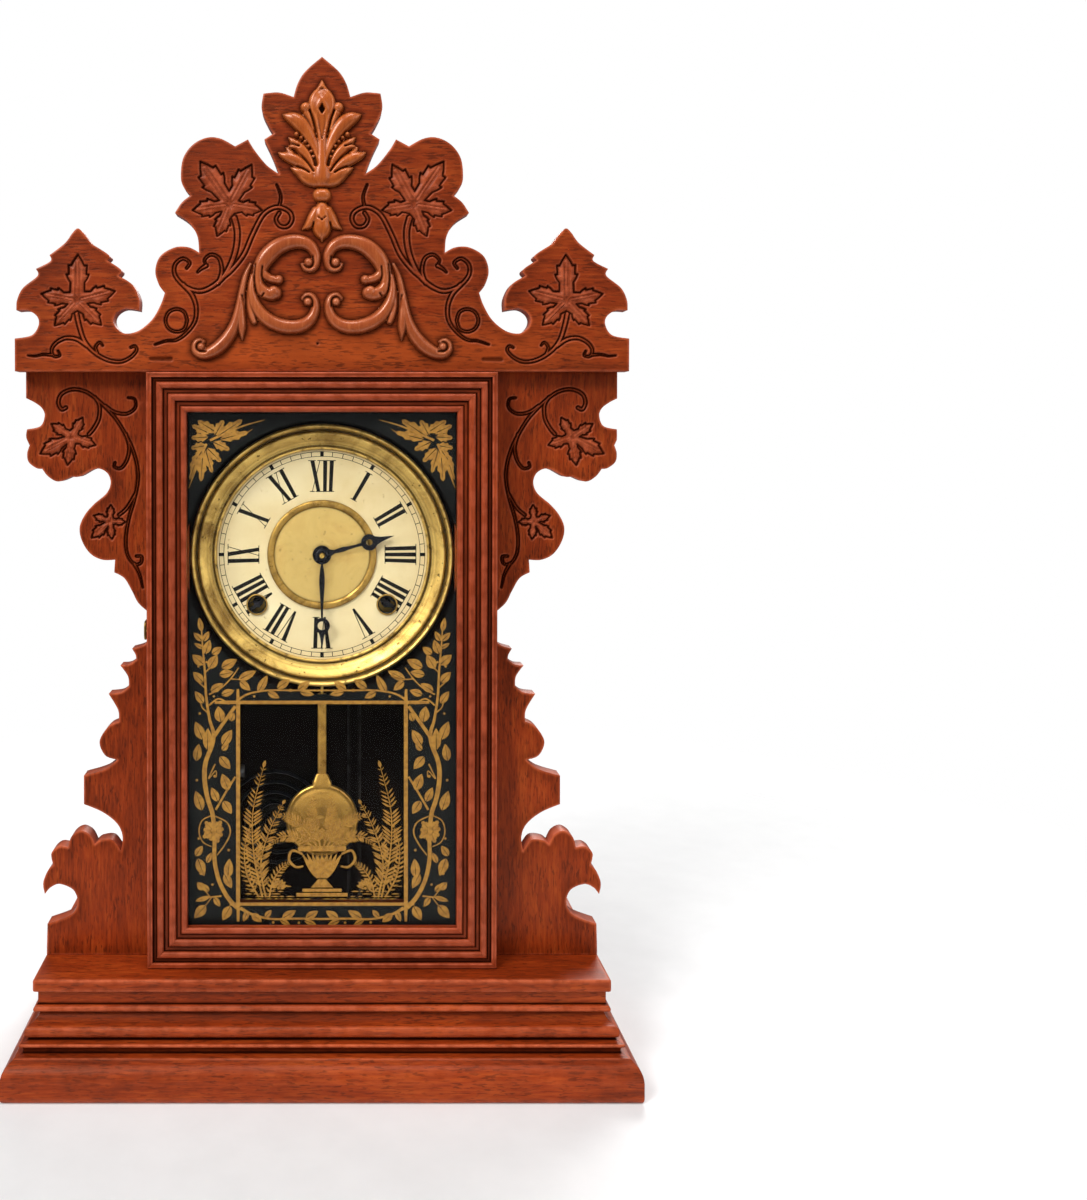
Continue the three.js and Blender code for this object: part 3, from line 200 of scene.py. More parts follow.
def faded(tree, base, spots, colour):
    """Mixes a colour into ragged round spots, each a centre and its reach on each axis in metres."""
    wander = noise(tree, coordinates(tree, 70), 1, 4, 0.6)
    for centre, reach in spots:
        scale = tuple(1 / r for r in reach)
        apart = node(tree, "ShaderNodeVectorMath", operation="LENGTH")
        plug(tree, coordinates(tree, scale, tuple(-c * s for c, s in zip(centre, scale))), apart.inputs[0])
        share = times(tree, times(tree, apart.outputs["Value"], 0.5), times(tree, wander, 0.6), "ADD")
        base = mix(tree, ramp(tree, share, [(0.45, 0.65), (0.85, 0.0)]), base, colour)
    return base


def wood(name, along, dark, middle, light, pores=0.8, shine=0.42, dust=0.0, seed=0.0, coat=0.06, gloss=0.34,
         spots=(), relief=0.7):
    """Stained wood. Grain runs along an axis, with short pores, streaks and slow changes of tone.

    Edges lightened for wear and as painted highlight, and grooves darkened for dirt and as painted shade,
    come from the mesh's own values."""
    made, tree, shader = material(name)
    offset = (seed, seed * 1.7, seed * 0.6)

    def stretched(length, ratio=1.0):
        scale = tuple(1000 / length * (1 if axis == along else GRAIN_STRETCH * ratio) for axis in "xyz")
        return coordinates(tree, scale, offset)

    figure = noise(tree, stretched(110, 0.45), 1, 3, 0.5, 0.8)
    streaks = noise(tree, stretched(17, 0.9), 1, 5, 0.6, 0.3)
    fine = noise(tree, stretched(9, 1.5), 1, 3, 0.6)
    dashes = noise(tree, stretched(6.5, 0.55), 1, 2, 0.55, 0.25)
    clusters = noise(tree, coordinates(tree, 60, offset), 1, 2)
    patches = noise(tree, coordinates(tree, 20, offset), 1, 3, 0.55)
    tone = times(tree, times(tree, figure, 0.45), times(tree, streaks, 0.55), "ADD")
    base = ramp(tree, tone, [(0.32, dark), (0.5, middle), (0.68, light)])
    halfway = tuple((a + b) / 2 for a, b in zip(dark, middle))
    base = mix(tree, times(tree, fine, 0.5), base, halfway)
    base = faded(tree, base, spots, light)
    cloudy = ramp(tree, patches, [(0.3, 0.76), (0.7, 1.1)])
    base = mix(tree, 1.0, base, cloudy, "MULTIPLY")
    pore = times(tree, ramp(tree, dashes, [(0.54, 0.0), (0.61, 1.0)]),
                 ramp(tree, clusters, [(0.35, 0.35), (0.6, 1.0)]))
    base = mix(tree, times(tree, pore, pores * 0.75), base, scaled(dark, 0.25))
    dirt_and_shade = attribute(tree, "dirt_and_shade")
    wear_and_highlight = attribute(tree, "wear_and_highlight")
    ragged = ramp(tree, noise(tree, coordinates(tree, 140, offset), 1, 3), [(0.38, 0.3), (0.6, 1.0)])
    # Edges and ridges are lightened for wear and as a painted highlight; hollows are darkened for dirt and
    # as painted shade
    base = mix(tree, times(tree, times(tree, wear_and_highlight, ragged), 0.75), base, scaled(light, 1.3, 0.05))
    base = mix(tree, times(tree, dirt_and_shade, 0.95, clamp=True), base, scaled(dark, 0.1))
    if dust:
        base = stained(tree, base, noise(tree, coordinates(tree, 60), 1, 4), 0.4, 0.65, dust, DUST)
    plug(tree, base, shader.inputs["Base Color"])
    rough = times(tree, times(tree, streaks, 0.22), shine - 0.08, "ADD")
    rough = times(tree, rough, times(tree, dirt_and_shade, 0.3), "ADD", clamp=True)
    plug(tree, rough, shader.inputs["Roughness"])
    height = times(tree, times(tree, fine, 0.35), times(tree, pore, -0.6), "ADD")
    bump(tree, shader, height, 0.00012, relief)
    clean = times(tree, 1.0, times(tree, dirt_and_shade, 0.9, clamp=True), "SUBTRACT")
    plug(tree, times(tree, clean, gloss), shader.inputs["Specular IOR Level"])
    shader.inputs["Specular Tint"].default_value = (1.0, 0.55, 0.38, 1)
    if coat:
        plug(tree, times(tree, clean, coat), shader.inputs["Coat Weight"])
        shader.inputs["Coat Roughness"].default_value = 0.25
    return made


def metal(name, colour, tarnish, rough=0.3, spots=0.4, scale=60, scratch=0.0):
    """Aged metal: patches of tarnish, fine specks and an uneven polish."""
    made, tree, shader = material(name)
    patches = noise(tree, coordinates(tree, scale), 1, 5, 0.65, 0.6)
    specks = noise(tree, coordinates(tree, scale * 9), 1, 2, 0.5)
    amount = ramp(tree, patches, [(0.42, 0.0), (0.68, 1.0)])
    base = mix(tree, times(tree, amount, spots), colour, tarnish)
    base = stained(tree, base, specks, 0.66, 0.72, spots, scaled(tarnish, 0.35))
    # Hollows darken toward the tarnish, for dirt and as painted shade
    base = mix(tree, times(tree, attribute(tree, "dirt_and_shade"), 0.85, clamp=True), base, scaled(tarnish, 0.2))
    plug(tree, base, shader.inputs["Base Color"])
    shader.inputs["Metallic"].default_value = 1.0
    plug(tree, times(tree, times(tree, amount, 0.25), rough, "ADD"), shader.inputs["Roughness"])
    if scratch:
        bump(tree, shader, noise(tree, coordinates(tree, (900, 900, 25)), 1, 2), 0.00003, scratch)
    else:
        bump(tree, shader, patches, 0.00012, 0.5)
    return made


def paint(name, colour, second, rough=0.5, scale=300, amount=0.35, relief=0.0, metallic=0.0, gloss=0.3):
    """A painted or printed surface with a little mottling."""
    made, tree, shader = material(name)
    shader.inputs["Specular IOR Level"].default_value = gloss
    spots = noise(tree, coordinates(tree, scale), 1, 4, 0.6)
    base = stained(tree, colour, spots, 0.4, 0.62, amount, second)
    plug(tree, base, shader.inputs["Base Color"])
    shader.inputs["Roughness"].default_value = rough
    shader.inputs["Metallic"].default_value = metallic
    if relief:
        bump(tree, shader, spots, relief, 0.6)
    return made


PAPER_RADIUS = 65.5


def paper_dial():
    """Cream dial paper, yellowed in clouds, darker at the rim, with small brown spots."""
    made, tree, shader = material("dial paper")
    clouds = noise(tree, coordinates(tree, 22), 1, 5, 0.6)
    spots = noise(tree, coordinates(tree, 420), 1, 2, 0.5)
    cream = [(0.3, rgb(208, 182, 130)), (0.5, rgb(222, 200, 152)), (0.7, rgb(230, 211, 168))]
    base = ramp(tree, clouds, cream)
    place = node(tree, "ShaderNodeTexCoord")
    apart = node(tree, "ShaderNodeVectorMath", operation="DISTANCE")
    plug(tree, place.outputs["Object"], apart.inputs[0])
    apart.inputs[1].default_value = (0, PAPER_Y * MM, DIAL_Z * MM)
    share = times(tree, apart.outputs["Value"], 1 / (PAPER_RADIUS * MM))
    base = stained(tree, base, share, 0.8, 1.0, 0.4, rgb(205, 172, 112))
    base = stained(tree, base, spots, 0.7, 0.76, 0.45, rgb(150, 110, 60))
    plug(tree, base, shader.inputs["Base Color"])
    shader.inputs["Roughness"].default_value = 0.62
    bump(tree, shader, clouds, 0.0002, 0.25)
    return made


def old_paper():
    """Torn brown paper: short fibres, upright streaks, and clouds where the stained wood comes through."""
    made, tree, shader = material("torn old paper")
    shader.inputs["Specular IOR Level"].default_value = 0.1
    shader.inputs["Roughness"].default_value = 0.85
    fibres = noise(tree, coordinates(tree, 620), 1, 4, 0.6)
    streaks = noise(tree, coordinates(tree, (240, 240, 22)), 1, 3, 0.6)
    clouds = noise(tree, coordinates(tree, (42, 42, 30)), 1, 5, 0.7)
    base = stained(tree, rgb(182, 136, 92), fibres, 0.4, 0.62, 0.64, rgb(124, 84, 54))
    base = stained(tree, base, streaks, 0.5, 0.7, 0.35, rgb(128, 86, 56))
    base = stained(tree, base, clouds, 0.46, 0.66, 0.72, rgb(116, 62, 42))
    plug(tree, base, shader.inputs["Base Color"])
    bump(tree, shader, fibres, 0.0006, 0.6)
    return made


def clear_glass():
    """Thin old glass. Lamps shine through it, so that what is behind stays lit."""
    made, tree, shader = material("glass")
    shader.inputs["Base Color"].default_value = (0.97, 0.98, 0.97, 1)
    shader.inputs["Transmission Weight"].default_value = 1.0
    shader.inputs["Roughness"].default_value = 0.01
    shader.inputs["IOR"].default_value = 1.12
    waves = noise(tree, coordinates(tree, 14), 1, 1, 0.4)
    bump(tree, shader, waves, 0.0006, 0.12)
    path = node(tree, "ShaderNodeLightPath")
    clear_where(tree, shader, path.outputs["Is Shadow Ray"], (0.93, 0.95, 0.94, 1))
    return made


RED_DARK = rgb(96, 30, 8)
RED_MIDDLE = rgb(152, 54, 14)
RED_LIGHT = rgb(190, 82, 28)
# The crest's lower edge has worn to a lighter tone
WORN_CREST = [((0.0, -0.029, 0.419), (0.2, 0.03, 0.02))]
FACE_X = wood("front wood across", "x", RED_DARK, RED_MIDDLE, RED_LIGHT, spots=WORN_CREST)
FACE_Z = wood("front wood upright", "z", RED_DARK, RED_MIDDLE, RED_LIGHT, seed=3.1)
FACE_Y = wood("side moulding wood", "y", RED_DARK, RED_MIDDLE, RED_LIGHT, seed=5.3)
FRAME_DARK = rgb(88, 27, 8)
FRAME_MIDDLE = rgb(142, 51, 18)
FRAME_LIGHT = rgb(186, 77, 30)
FRAME_X = wood("rail wood", "x", FRAME_DARK, FRAME_MIDDLE, FRAME_LIGHT, pores=0.5, seed=1.3, shine=0.32,
               coat=0.04, gloss=0.45)
FRAME_Z = wood("stile wood", "z", FRAME_DARK, FRAME_MIDDLE, FRAME_LIGHT, pores=0.5, seed=2.3, shine=0.32,
               coat=0.04, gloss=0.45)
CARVED = wood("carved wood", "z", rgb(160, 70, 22), rgb(184, 88, 28), rgb(206, 110, 38), pores=0.2,
              seed=4.4, shine=0.26, coat=0.4, gloss=0.55, relief=0.2)
SCROLLED = wood("scroll wood", "z", rgb(144, 60, 24), rgb(166, 77, 35), rgb(186, 98, 48), pores=0.15,
                seed=6.6, shine=0.22, coat=0.25, gloss=0.7, relief=0.2)
SIDE_Z = wood("case side wood", "z", rgb(122, 46, 18), rgb(164, 70, 28), rgb(196, 98, 44), pores=0.6,
              seed=6.1)
# Where the dark stain of the back has worn to a redder tone
WORN_BACK = [
    ((-0.045, 0.067, 0.398), (0.055, 0.2, 0.036)),
    ((0.046, 0.067, 0.4), (0.05, 0.2, 0.028)),
    ((0.01, 0.067, 0.19), (0.05, 0.2, 0.12)),
]
BACK_Z = wood("back wood", "z", rgb(80, 38, 28), rgb(104, 48, 34), rgb(156, 66, 38), pores=0.3, seed=7.7,
              shine=0.6, dust=0.05, coat=0.0, gloss=0.2, spots=WORN_BACK)
EDGE_Z = wood("case edge wood", "z", rgb(60, 37, 32), rgb(90, 58, 50), rgb(122, 84, 72), seed=8.2,
              shine=0.62, dust=0.1, coat=0.0)
EDGE_X = wood("board edge wood", "x", rgb(62, 34, 26), rgb(96, 54, 42), rgb(126, 78, 62), seed=10.4,
              shine=0.62, dust=0.1, coat=0.0)
RAW_X = wood("unfinished wood", "x", rgb(142, 96, 62), rgb(186, 138, 96), rgb(214, 172, 128), seed=9.5,
             shine=0.68, dust=0.25, coat=0.0)
BRACE_Z = wood("brace wood", "z", rgb(126, 66, 48), rgb(164, 94, 70), rgb(188, 118, 90), seed=2.9,
               shine=0.62, dust=0.08, coat=0.0)
# Near-black wood as painted shade: the dial board, the case's inner faces and the strip behind the back's
# seam
SHADE_BLACK_WOOD = wood("shade black wood", "x", rgb(12, 10, 10), rgb(20, 17, 16), rgb(28, 24, 22), seed=1.9,
                  shine=0.7, coat=0.0, gloss=0.1)
BRASS = metal("brass", rgb(206, 168, 88), rgb(120, 88, 38), 0.3, 0.55)
OLD_BRASS = metal("old brass", rgb(168, 132, 66), rgb(84, 60, 28), 0.4, 0.7, 90)
GILT_BRASS = metal("gilt brass", rgb(210, 178, 108), rgb(164, 128, 68), 0.42, 0.4, 40)
STEEL = metal("steel", rgb(150, 150, 152), rgb(82, 74, 66), 0.32, 0.4, 120, scratch=0.5)
BLUED = metal("blued steel", rgb(38, 38, 42), rgb(22, 19, 18), 0.42, 0.5, 150)
IRON = metal("black iron", rgb(58, 56, 54), rgb(34, 30, 28), 0.55, 0.5, 150)
PAPER = paper_dial()
INK = paint("black ink", rgb(16, 14, 13), rgb(40, 34, 28), 0.6, 700, 0.3, gloss=0.1)
BLACK = paint("black ground", rgb(12, 13, 13), rgb(24, 25, 24), 0.4, 160, 0.4, gloss=0.08)
GOLD = paint("gold paint", rgb(170, 122, 48), rgb(128, 88, 34), 0.42, 420, 0.75, 0.00008, 0.35)
GLASS = clear_glass()
NAIL = metal("nail", rgb(120, 112, 100), rgb(58, 46, 38), 0.5, 0.6, 300)


# Meshes

def linked(name, data):
    """A new object in the scene."""
    made = bpy.data.objects.new(name, data)
    bpy.context.collection.objects.link(made)
    return made


def piece(name, verts, faces, materials, body="root", slot="front_wood", replaces=(), sharp=38, dirt_and_shade=None,
          wear_and_highlight=None, slots=None):
    """A mesh piece from points in millimetres. Edges steeper than sharp degrees stay crisp."""
    mesh = bpy.data.meshes.new(name)
    points = np.asarray(verts, float) * MM
    mesh.from_pydata(points.tolist(), [], faces)
    for made in materials if isinstance(materials, (list, tuple)) else [materials]:
        mesh.materials.append(made)
    if slots is not None:
        mesh.polygons.foreach_set("material_index", np.asarray(slots, np.int32))
    for label, values in (("dirt_and_shade", dirt_and_shade), ("wear_and_highlight", wear_and_highlight)):
        if values is not None:
            layer = mesh.attributes.new(label, "FLOAT", "POINT")
            layer.data.foreach_set("value", np.asarray(values, np.float32))
    mesh.validate()
    mesh.polygons.foreach_set("use_smooth", [True] * len(mesh.polygons))
    mesh.set_sharp_from_angle(angle=math.radians(sharp))
    made = linked(name, mesh)
    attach(made, body)
    if replaces:
        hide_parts(*replaces)
    return made


def spline(points, steps=8):
    """A smooth line through points, with the given steps between each two, as the CAD source draws it."""
    points = [np.asarray(point, float) for point in points]
    if len(points) < 3:
        return points
    line = [points[0]]
    for i in range(len(points) - 1):
        before, a, b = points[max(i - 1, 0)], points[i], points[i + 1]
        after = points[min(i + 2, len(points) - 1)]
        for k in range(1, steps + 1):
            t = k / steps
            v0, v1 = (b - before) / 2, (after - a) / 2
            line.append((2 * a - 2 * b + v0 + v1) * t**3 + (-3 * a + 3 * b - 2 * v0 - v1) * t**2 + v0 * t
                        + a)
    return line


def outline(stretches, place, steps=8):
    """A closed outline from stretches: each is smooth, with a corner where the next one starts."""
    points = []
    for stretch in stretches:
        for point in spline([place(*p) for p in stretch], steps):
            if not points or np.hypot(*(point - points[-1])) > 1e-6:
                points.append(point)
    return points


# Half of the crest, as distance from the middle and height above its lower edge
CREST = [
    [(0, 182.2), (9.5, 174), (14, 167), (16.5, 159)],
    [(16.5, 159), (25, 161.6), (34, 161)],
    [(34, 161), (35, 152), (31.5, 143.5), (28, 138)],
    [(28, 138), (33.5, 134.5)],
    [(33.5, 134.5), (29, 125), (25, 114.5)],
    [(25, 114.5), (32, 119.5), (39, 128), (43, 134.5)],
    [(43, 134.5), (50.5, 130.5)],
    [(50.5, 130.5), (59, 135), (67, 135.5), (75, 131.5), (80.5, 124), (82, 114.5), (81, 108), (76.5, 102)],
    [(76.5, 102), (81.5, 98), (85.5, 92)],
    [(85.5, 92), (77.5, 86.5), (72.5, 78.5), (71.5, 69)],
    [(71.5, 69), (77.5, 72), (85.5, 72), (94, 67), (97, 58.5), (95, 50.5), (91.5, 45.5)],
    [(91.5, 45.5), (94, 38.5), (99, 30), (107, 23.5), (115, 22), (120, 25.5), (121.5, 30), (119.5, 34),
     (114.5, 36.5), (106.5, 35.5)],
    [(106.5, 35.5), (106.5, 42.5), (110.5, 50.5), (118.5, 55.5)],
    [(118.5, 55.5), (117, 59), (125, 64.5)],
    [(125, 64.5), (124, 67.5), (134, 74)],
    [(134, 74), (139, 80.5), (142, 83), (145, 80.5), (149.5, 74.5), (158.5, 67.5)],
    [(158.5, 67.5), (158, 64), (166.5, 59.5)],
    [(166.5, 59.5), (165.5, 55.5), (174, 48.5), (177.5, 41.5), (178, 35.5)],
    [(178, 35.5), (171.5, 35.5), (166, 32), (165, 27), (169, 21), (179, 19)],
    [(179, 19), (179, 0)],
]

# One side board, as distance past the case side and height above the base board
SIDE = [
    [(63, 0), (62.5, 18.5)],
    [(62.5, 18.5), (48.5, 24), (44.5, 31.5), (47, 39), (55, 42.5), (60.5, 40.5), (64, 36.5)],
    [(64, 36.5), (65, 43), (62.5, 50), (59, 54)],
    [(59, 54), (60, 61), (55.5, 65), (50, 64.5)],
    [(50, 64.5), (48, 71), (42.5, 74.5), (37, 72), (34, 66.5)],
    [(34, 66.5), (30.5, 68.8), (23.5, 69), (18.5, 62.5)],
    [(18.5, 62.5), (17.5, 71), (20.5, 78.5), (29, 85.5), (40.5, 90.5)],
    [(40.5, 90.5), (40.5, 107.5)],
    [(40.5, 107.5), (27.5, 111.5), (20.5, 117)],
    [(20.5, 117), (27.5, 119.5), (31, 126.5), (29.5, 132), (25, 137.5), (19.5, 140)],
    [(19.5, 140), (20, 147), (25.5, 156.5)],
    [(25.5, 156.5), (18, 157.5), (13.5, 161)],
    [(13.5, 161), (14, 167), (18.5, 173.5)],
    [(18.5, 173.5), (13.5, 174), (9, 177)],
    [(9, 177), (9.5, 180), (11.5, 183.5)],
    [(11.5, 183.5), (5, 185.5), (0, 189.5)],
    [(0, 189.5), (0, 204)],
    [(0, 204), (7.5, 210.5), (11.5, 218), (16, 225.5), (22, 229)],
    [(22, 229), (21.5, 236.5)],
    [(21.5, 236.5), (29, 236.5), (36, 240), (41, 247.5), (42.5, 255.5), (39.5, 263), (34, 269.5),
     (26.5, 276), (24, 282), (25.5, 287.5), (30, 290.5), (35, 290), (42.5, 286), (47, 286)],
    [(47, 286), (55, 283), (61, 286), (64.5, 290.5)],
    [(64.5, 290.5), (68, 291), (72.5, 294.5), (73.5, 299.5), (72, 304.5)],
    [(72, 304.5), (74, 309.5), (73.5, 314)],
    [(73.5, 314), (65.5, 316), (63, 322), (64.5, 326.5), (69, 330), (74, 332.5)],
    [(74, 332.5), (74, 367.5)],
]
SIDE_TALL = 367.5
# How far the side boards reach in behind the door's edge
LAP = 13.5


def crest_outline():
    right = outline(CREST, lambda x, z: (x, CREST_LOW[2] + z))
    return right + [np.array((-x, z)) for x, z in reversed(right[1:])]


def side_outline():
    """The right side board's outline."""
    foot = SIDE_LOW[2]
    edge = outline(SIDE, lambda x, z: (DOOR_HALF + x, foot + z * (SIDE_HIGH[2] - foot) / SIDE_TALL))
    inner = DOOR_HALF - LAP
    return [np.array((inner, foot)), *edge, np.array((inner, SIDE_HIGH[2]))]


class Relief:
    """A carved face over a grid of points in x and z. Depth goes into the wood, painted shade with dirt
    darkens it, painted highlight with wear lightens it.
    """

    def __init__(self, low, high, step):
        self.step = step
        self.x = np.arange(low[0] - 2 * step, high[0] + 3 * step, step)
        self.z = np.arange(low[1] - 2 * step, high[1] + 3 * step, step)
        self.depth = np.zeros((len(self.x), len(self.z)))
        self.dirt_and_shade = np.zeros_like(self.depth)
        self.wear_and_highlight = np.zeros_like(self.depth)

    def near(self, lines, reach):
        """Signed distance from each point to the nearest line's edge, up to reach.

        A line is a list of points in x and z with an own half width."""
        nearest = np.full(self.depth.shape, float(reach))
        for line in lines:
            points = np.array([tuple(p) + (0,) * (3 - len(p)) for p in line], float)
            for a, b in zip(points[:-1], points[1:]):
                wide = reach + max(a[2], b[2])
                i0, i1 = np.searchsorted(self.x, (min(a[0], b[0]) - wide, max(a[0], b[0]) + wide))
                k0, k1 = np.searchsorted(self.z, (min(a[1], b[1]) - wide, max(a[1], b[1]) + wide))
                if i0 >= i1 or k0 >= k1:
                    continue
                gx, gz = self.x[i0:i1, None] - a[0], self.z[None, k0:k1] - a[1]
                run = b[:2] - a[:2]
                t = np.clip((gx * run[0] + gz * run[1]) / max(run @ run, 1e-12), 0, 1)
                apart = np.hypot(gx - t * run[0], gz - t * run[1]) - (a[2] + t * (b[2] - a[2]))
                window = nearest[i0:i1, k0:k1]
                np.minimum(window, apart, out=window)
        return nearest

    def inside(self, polygon):
        """True at the points inside a closed polygon."""
        points = np.asarray([p[:2] for p in polygon], float)
        found = np.zeros(self.depth.shape, bool)
        i0, i1 = np.searchsorted(self.x, (points[:, 0].min(), points[:, 0].max()))
        k0, k1 = np.searchsorted(self.z, (points[:, 1].min(), points[:, 1].max()))
        gx, gz = self.x[i0:i1, None], self.z[None, k0:k1]
        window = found[i0:i1, k0:k1]
        for (ax, az), (bx, bz) in zip(points, np.roll(points, -1, axis=0)):
            if az == bz:
                continue
            crosses = ((az > gz) != (bz > gz)) & (gx < ax + (gz - az) * (bx - ax) / (bz - az))
            window ^= crosses
        return found

    def read(self, field, x, z):
        """A field's value at any points, between the grid's own."""
        u = np.clip((x - self.x[0]) / self.step, 0, len(self.x) - 1.001)
        v = np.clip((z - self.z[0]) / self.step, 0, len(self.z) - 1.001)
        i, k = u.astype(int), v.astype(int)
        u, v = u - i, v - k
        return (
            field[i, k] * (1 - u) * (1 - v) + field[i + 1, k] * u * (1 - v)
            + field[i, k + 1] * (1 - u) * v + field[i + 1, k + 1] * u * v
        )

    def slab(self, front, back, block=8, still=1e-4):
        """A closed slab whose front carries the relief. Flat blocks of the grid become single faces."""
        nx, nz = (len(self.x) - 1) // block, (len(self.z) - 1) // block
        busy = np.zeros((nx + 2, nz + 2), bool)
        for i in range(nx):
            for k in range(nz):
                window = np.s_[i * block:(i + 1) * block + 1, k * block:(k + 1) * block + 1]
                busy[i + 1, k + 1] = np.ptp(self.depth[window]) > still or np.ptp(self.dirt_and_shade[window]) > 0.06
        index = {}
        verts = []

        def corner(i, k):
            if (i, k) not in index:
                index[i, k] = len(verts)
                verts.append((self.x[i], front + self.depth[i, k], self.z[k]))
            return index[i, k]

        faces = []
        for i in range(nx):
            for k in range(nz):
                a, b = i * block, k * block
                if busy[i + 1, k + 1]:
                    for p in range(a, a + block):
                        for q in range(b, b + block):
                            square = ((p, q), (p + 1, q), (p + 1, q + 1), (p, q + 1))
                            faces.append(tuple(corner(*spot) for spot in square))
                    continue
                c, d = a + block, b + block
                sides = ((a, b, 1, 0, busy[i + 1, k]), (c, b, 0, 1, busy[i + 2, k + 1]),
                         (c, d, -1, 0, busy[i + 1, k + 2]), (a, d, 0, -1, busy[i, k + 1]))
                ring = []
                for p, q, run, rise, fine in sides:
                    ring += [(p + run * s, q + rise * s) for s in range(0, block, 1 if fine else block)]
                faces.append(tuple(corner(*spot) for spot in ring))
        edges = {}
        for face in faces:
            for a, b in zip(face, face[1:] + face[:1]):
                edges[a, b] = True
        rim = {a: b for a, b in edges if (b, a) not in edges}
        start = next(iter(rim))
        ring = [start]
        while rim[ring[-1]] != start:
            ring.append(rim[ring[-1]])
        first = len(verts)
        verts += [(verts[v][0], back, verts[v][2]) for v in ring]
        count = len(ring)
        for n in range(count):
            m = (n + 1) % count
            faces.append((ring[m], ring[n], first + n, first + m))
        faces.append(tuple(first + n for n in reversed(range(count))))
        return verts, faces


def prism(points, front, back):
    """A straight prism over an outline in x and z."""
    count = len(points)
    verts = [(x, front, z) for x, z in points] + [(x, back, z) for x, z in points]
    area = sum(a[0] * b[1] - b[0] * a[1] for a, b in zip(points, points[1:] + points[:1]))
    order = list(range(count)) if area > 0 else list(range(count))[::-1]
    faces = [tuple(order), tuple(count + n for n in reversed(order))]
    for n in range(count):
        a, b = order[n], order[(n + 1) % count]
        faces.append((b, a, count + a, count + b))
    return verts, faces


# Shapes are enlarged while they are cut, which keeps the cut exact
CUT_SCALE = 100


def raw_object(name, verts, faces):
    mesh = bpy.data.meshes.new(name)
    mesh.from_pydata((np.asarray(verts, float) * MM * CUT_SCALE).tolist(), [], faces)
    return linked(name, mesh)


def common(first, second):
    """The points and faces of what two closed meshes share, in millimetres."""
    a = raw_object("carving_a", *first)
    b = raw_object("carving_b", *second)
    cutter = a.modifiers.new("shape", "BOOLEAN")
    cutter.operation = "INTERSECT"
    cutter.solver = "MANIFOLD"
    cutter.object = b
    evaluated = a.evaluated_get(bpy.context.evaluated_depsgraph_get())
    mesh = evaluated.to_mesh()
    verts = np.empty(len(mesh.vertices) * 3)
    mesh.vertices.foreach_get("co", verts)
    verts = verts.reshape(-1, 3) / MM / CUT_SCALE
    faces = [tuple(p.vertices) for p in mesh.polygons]
    evaluated.to_mesh_clear()
    for made in (a, b):
        old = made.data
        bpy.data.objects.remove(made)
        bpy.data.meshes.remove(old)
    return verts, faces


def groove(relief, apart, depth, width, dirt_and_shade=1.0):
    """A rounded groove where apart is 0, darkened for dirt and as painted shade, between rubbed edges
    lightened for wear and as painted highlight.
    """
    shape = np.exp(-((apart / width) ** 2))
    shape[shape < 0.02] = 0
    relief.depth = np.maximum(relief.depth, depth * shape)
    relief.dirt_and_shade = np.maximum(relief.dirt_and_shade, dirt_and_shade * np.minimum(1.8 * shape, 1))
    # Painted highlight, partly wear, along the groove's two rims
    edges = np.exp(-(((np.abs(apart) - 1.9 * width) / (0.6 * width)) ** 2))
    relief.wear_and_highlight = np.maximum(relief.wear_and_highlight, 0.55 * dirt_and_shade * edges)


# Vines and leaves cut in the boards

VINE_DEPTH = 1.0
VINE_GROOVE = 0.5


def vines(relief, strokes):
    """Stems between two grooves. A stroke is its points, and its half width at its start and its end."""
    lines = []
    for points, start, end in strokes:
        line = spline(points, 6)
        count = len(line) - 1
        lines.append([(*p, start + (end - start) * n / count) for n, p in enumerate(line)])
    groove(relief, relief.near(lines, 2.5), VINE_DEPTH, VINE_GROOVE)


# Half a lobe, in shares of the way to its tip: how far along, and how far aside
LOBE = ((0.40, 0.15), (0.47, 0.20), (0.57, 0.245), (0.575, 0.19), (0.70, 0.195), (0.77, 0.20),
        (0.765, 0.14), (0.87, 0.085), (1.0, 0.0))


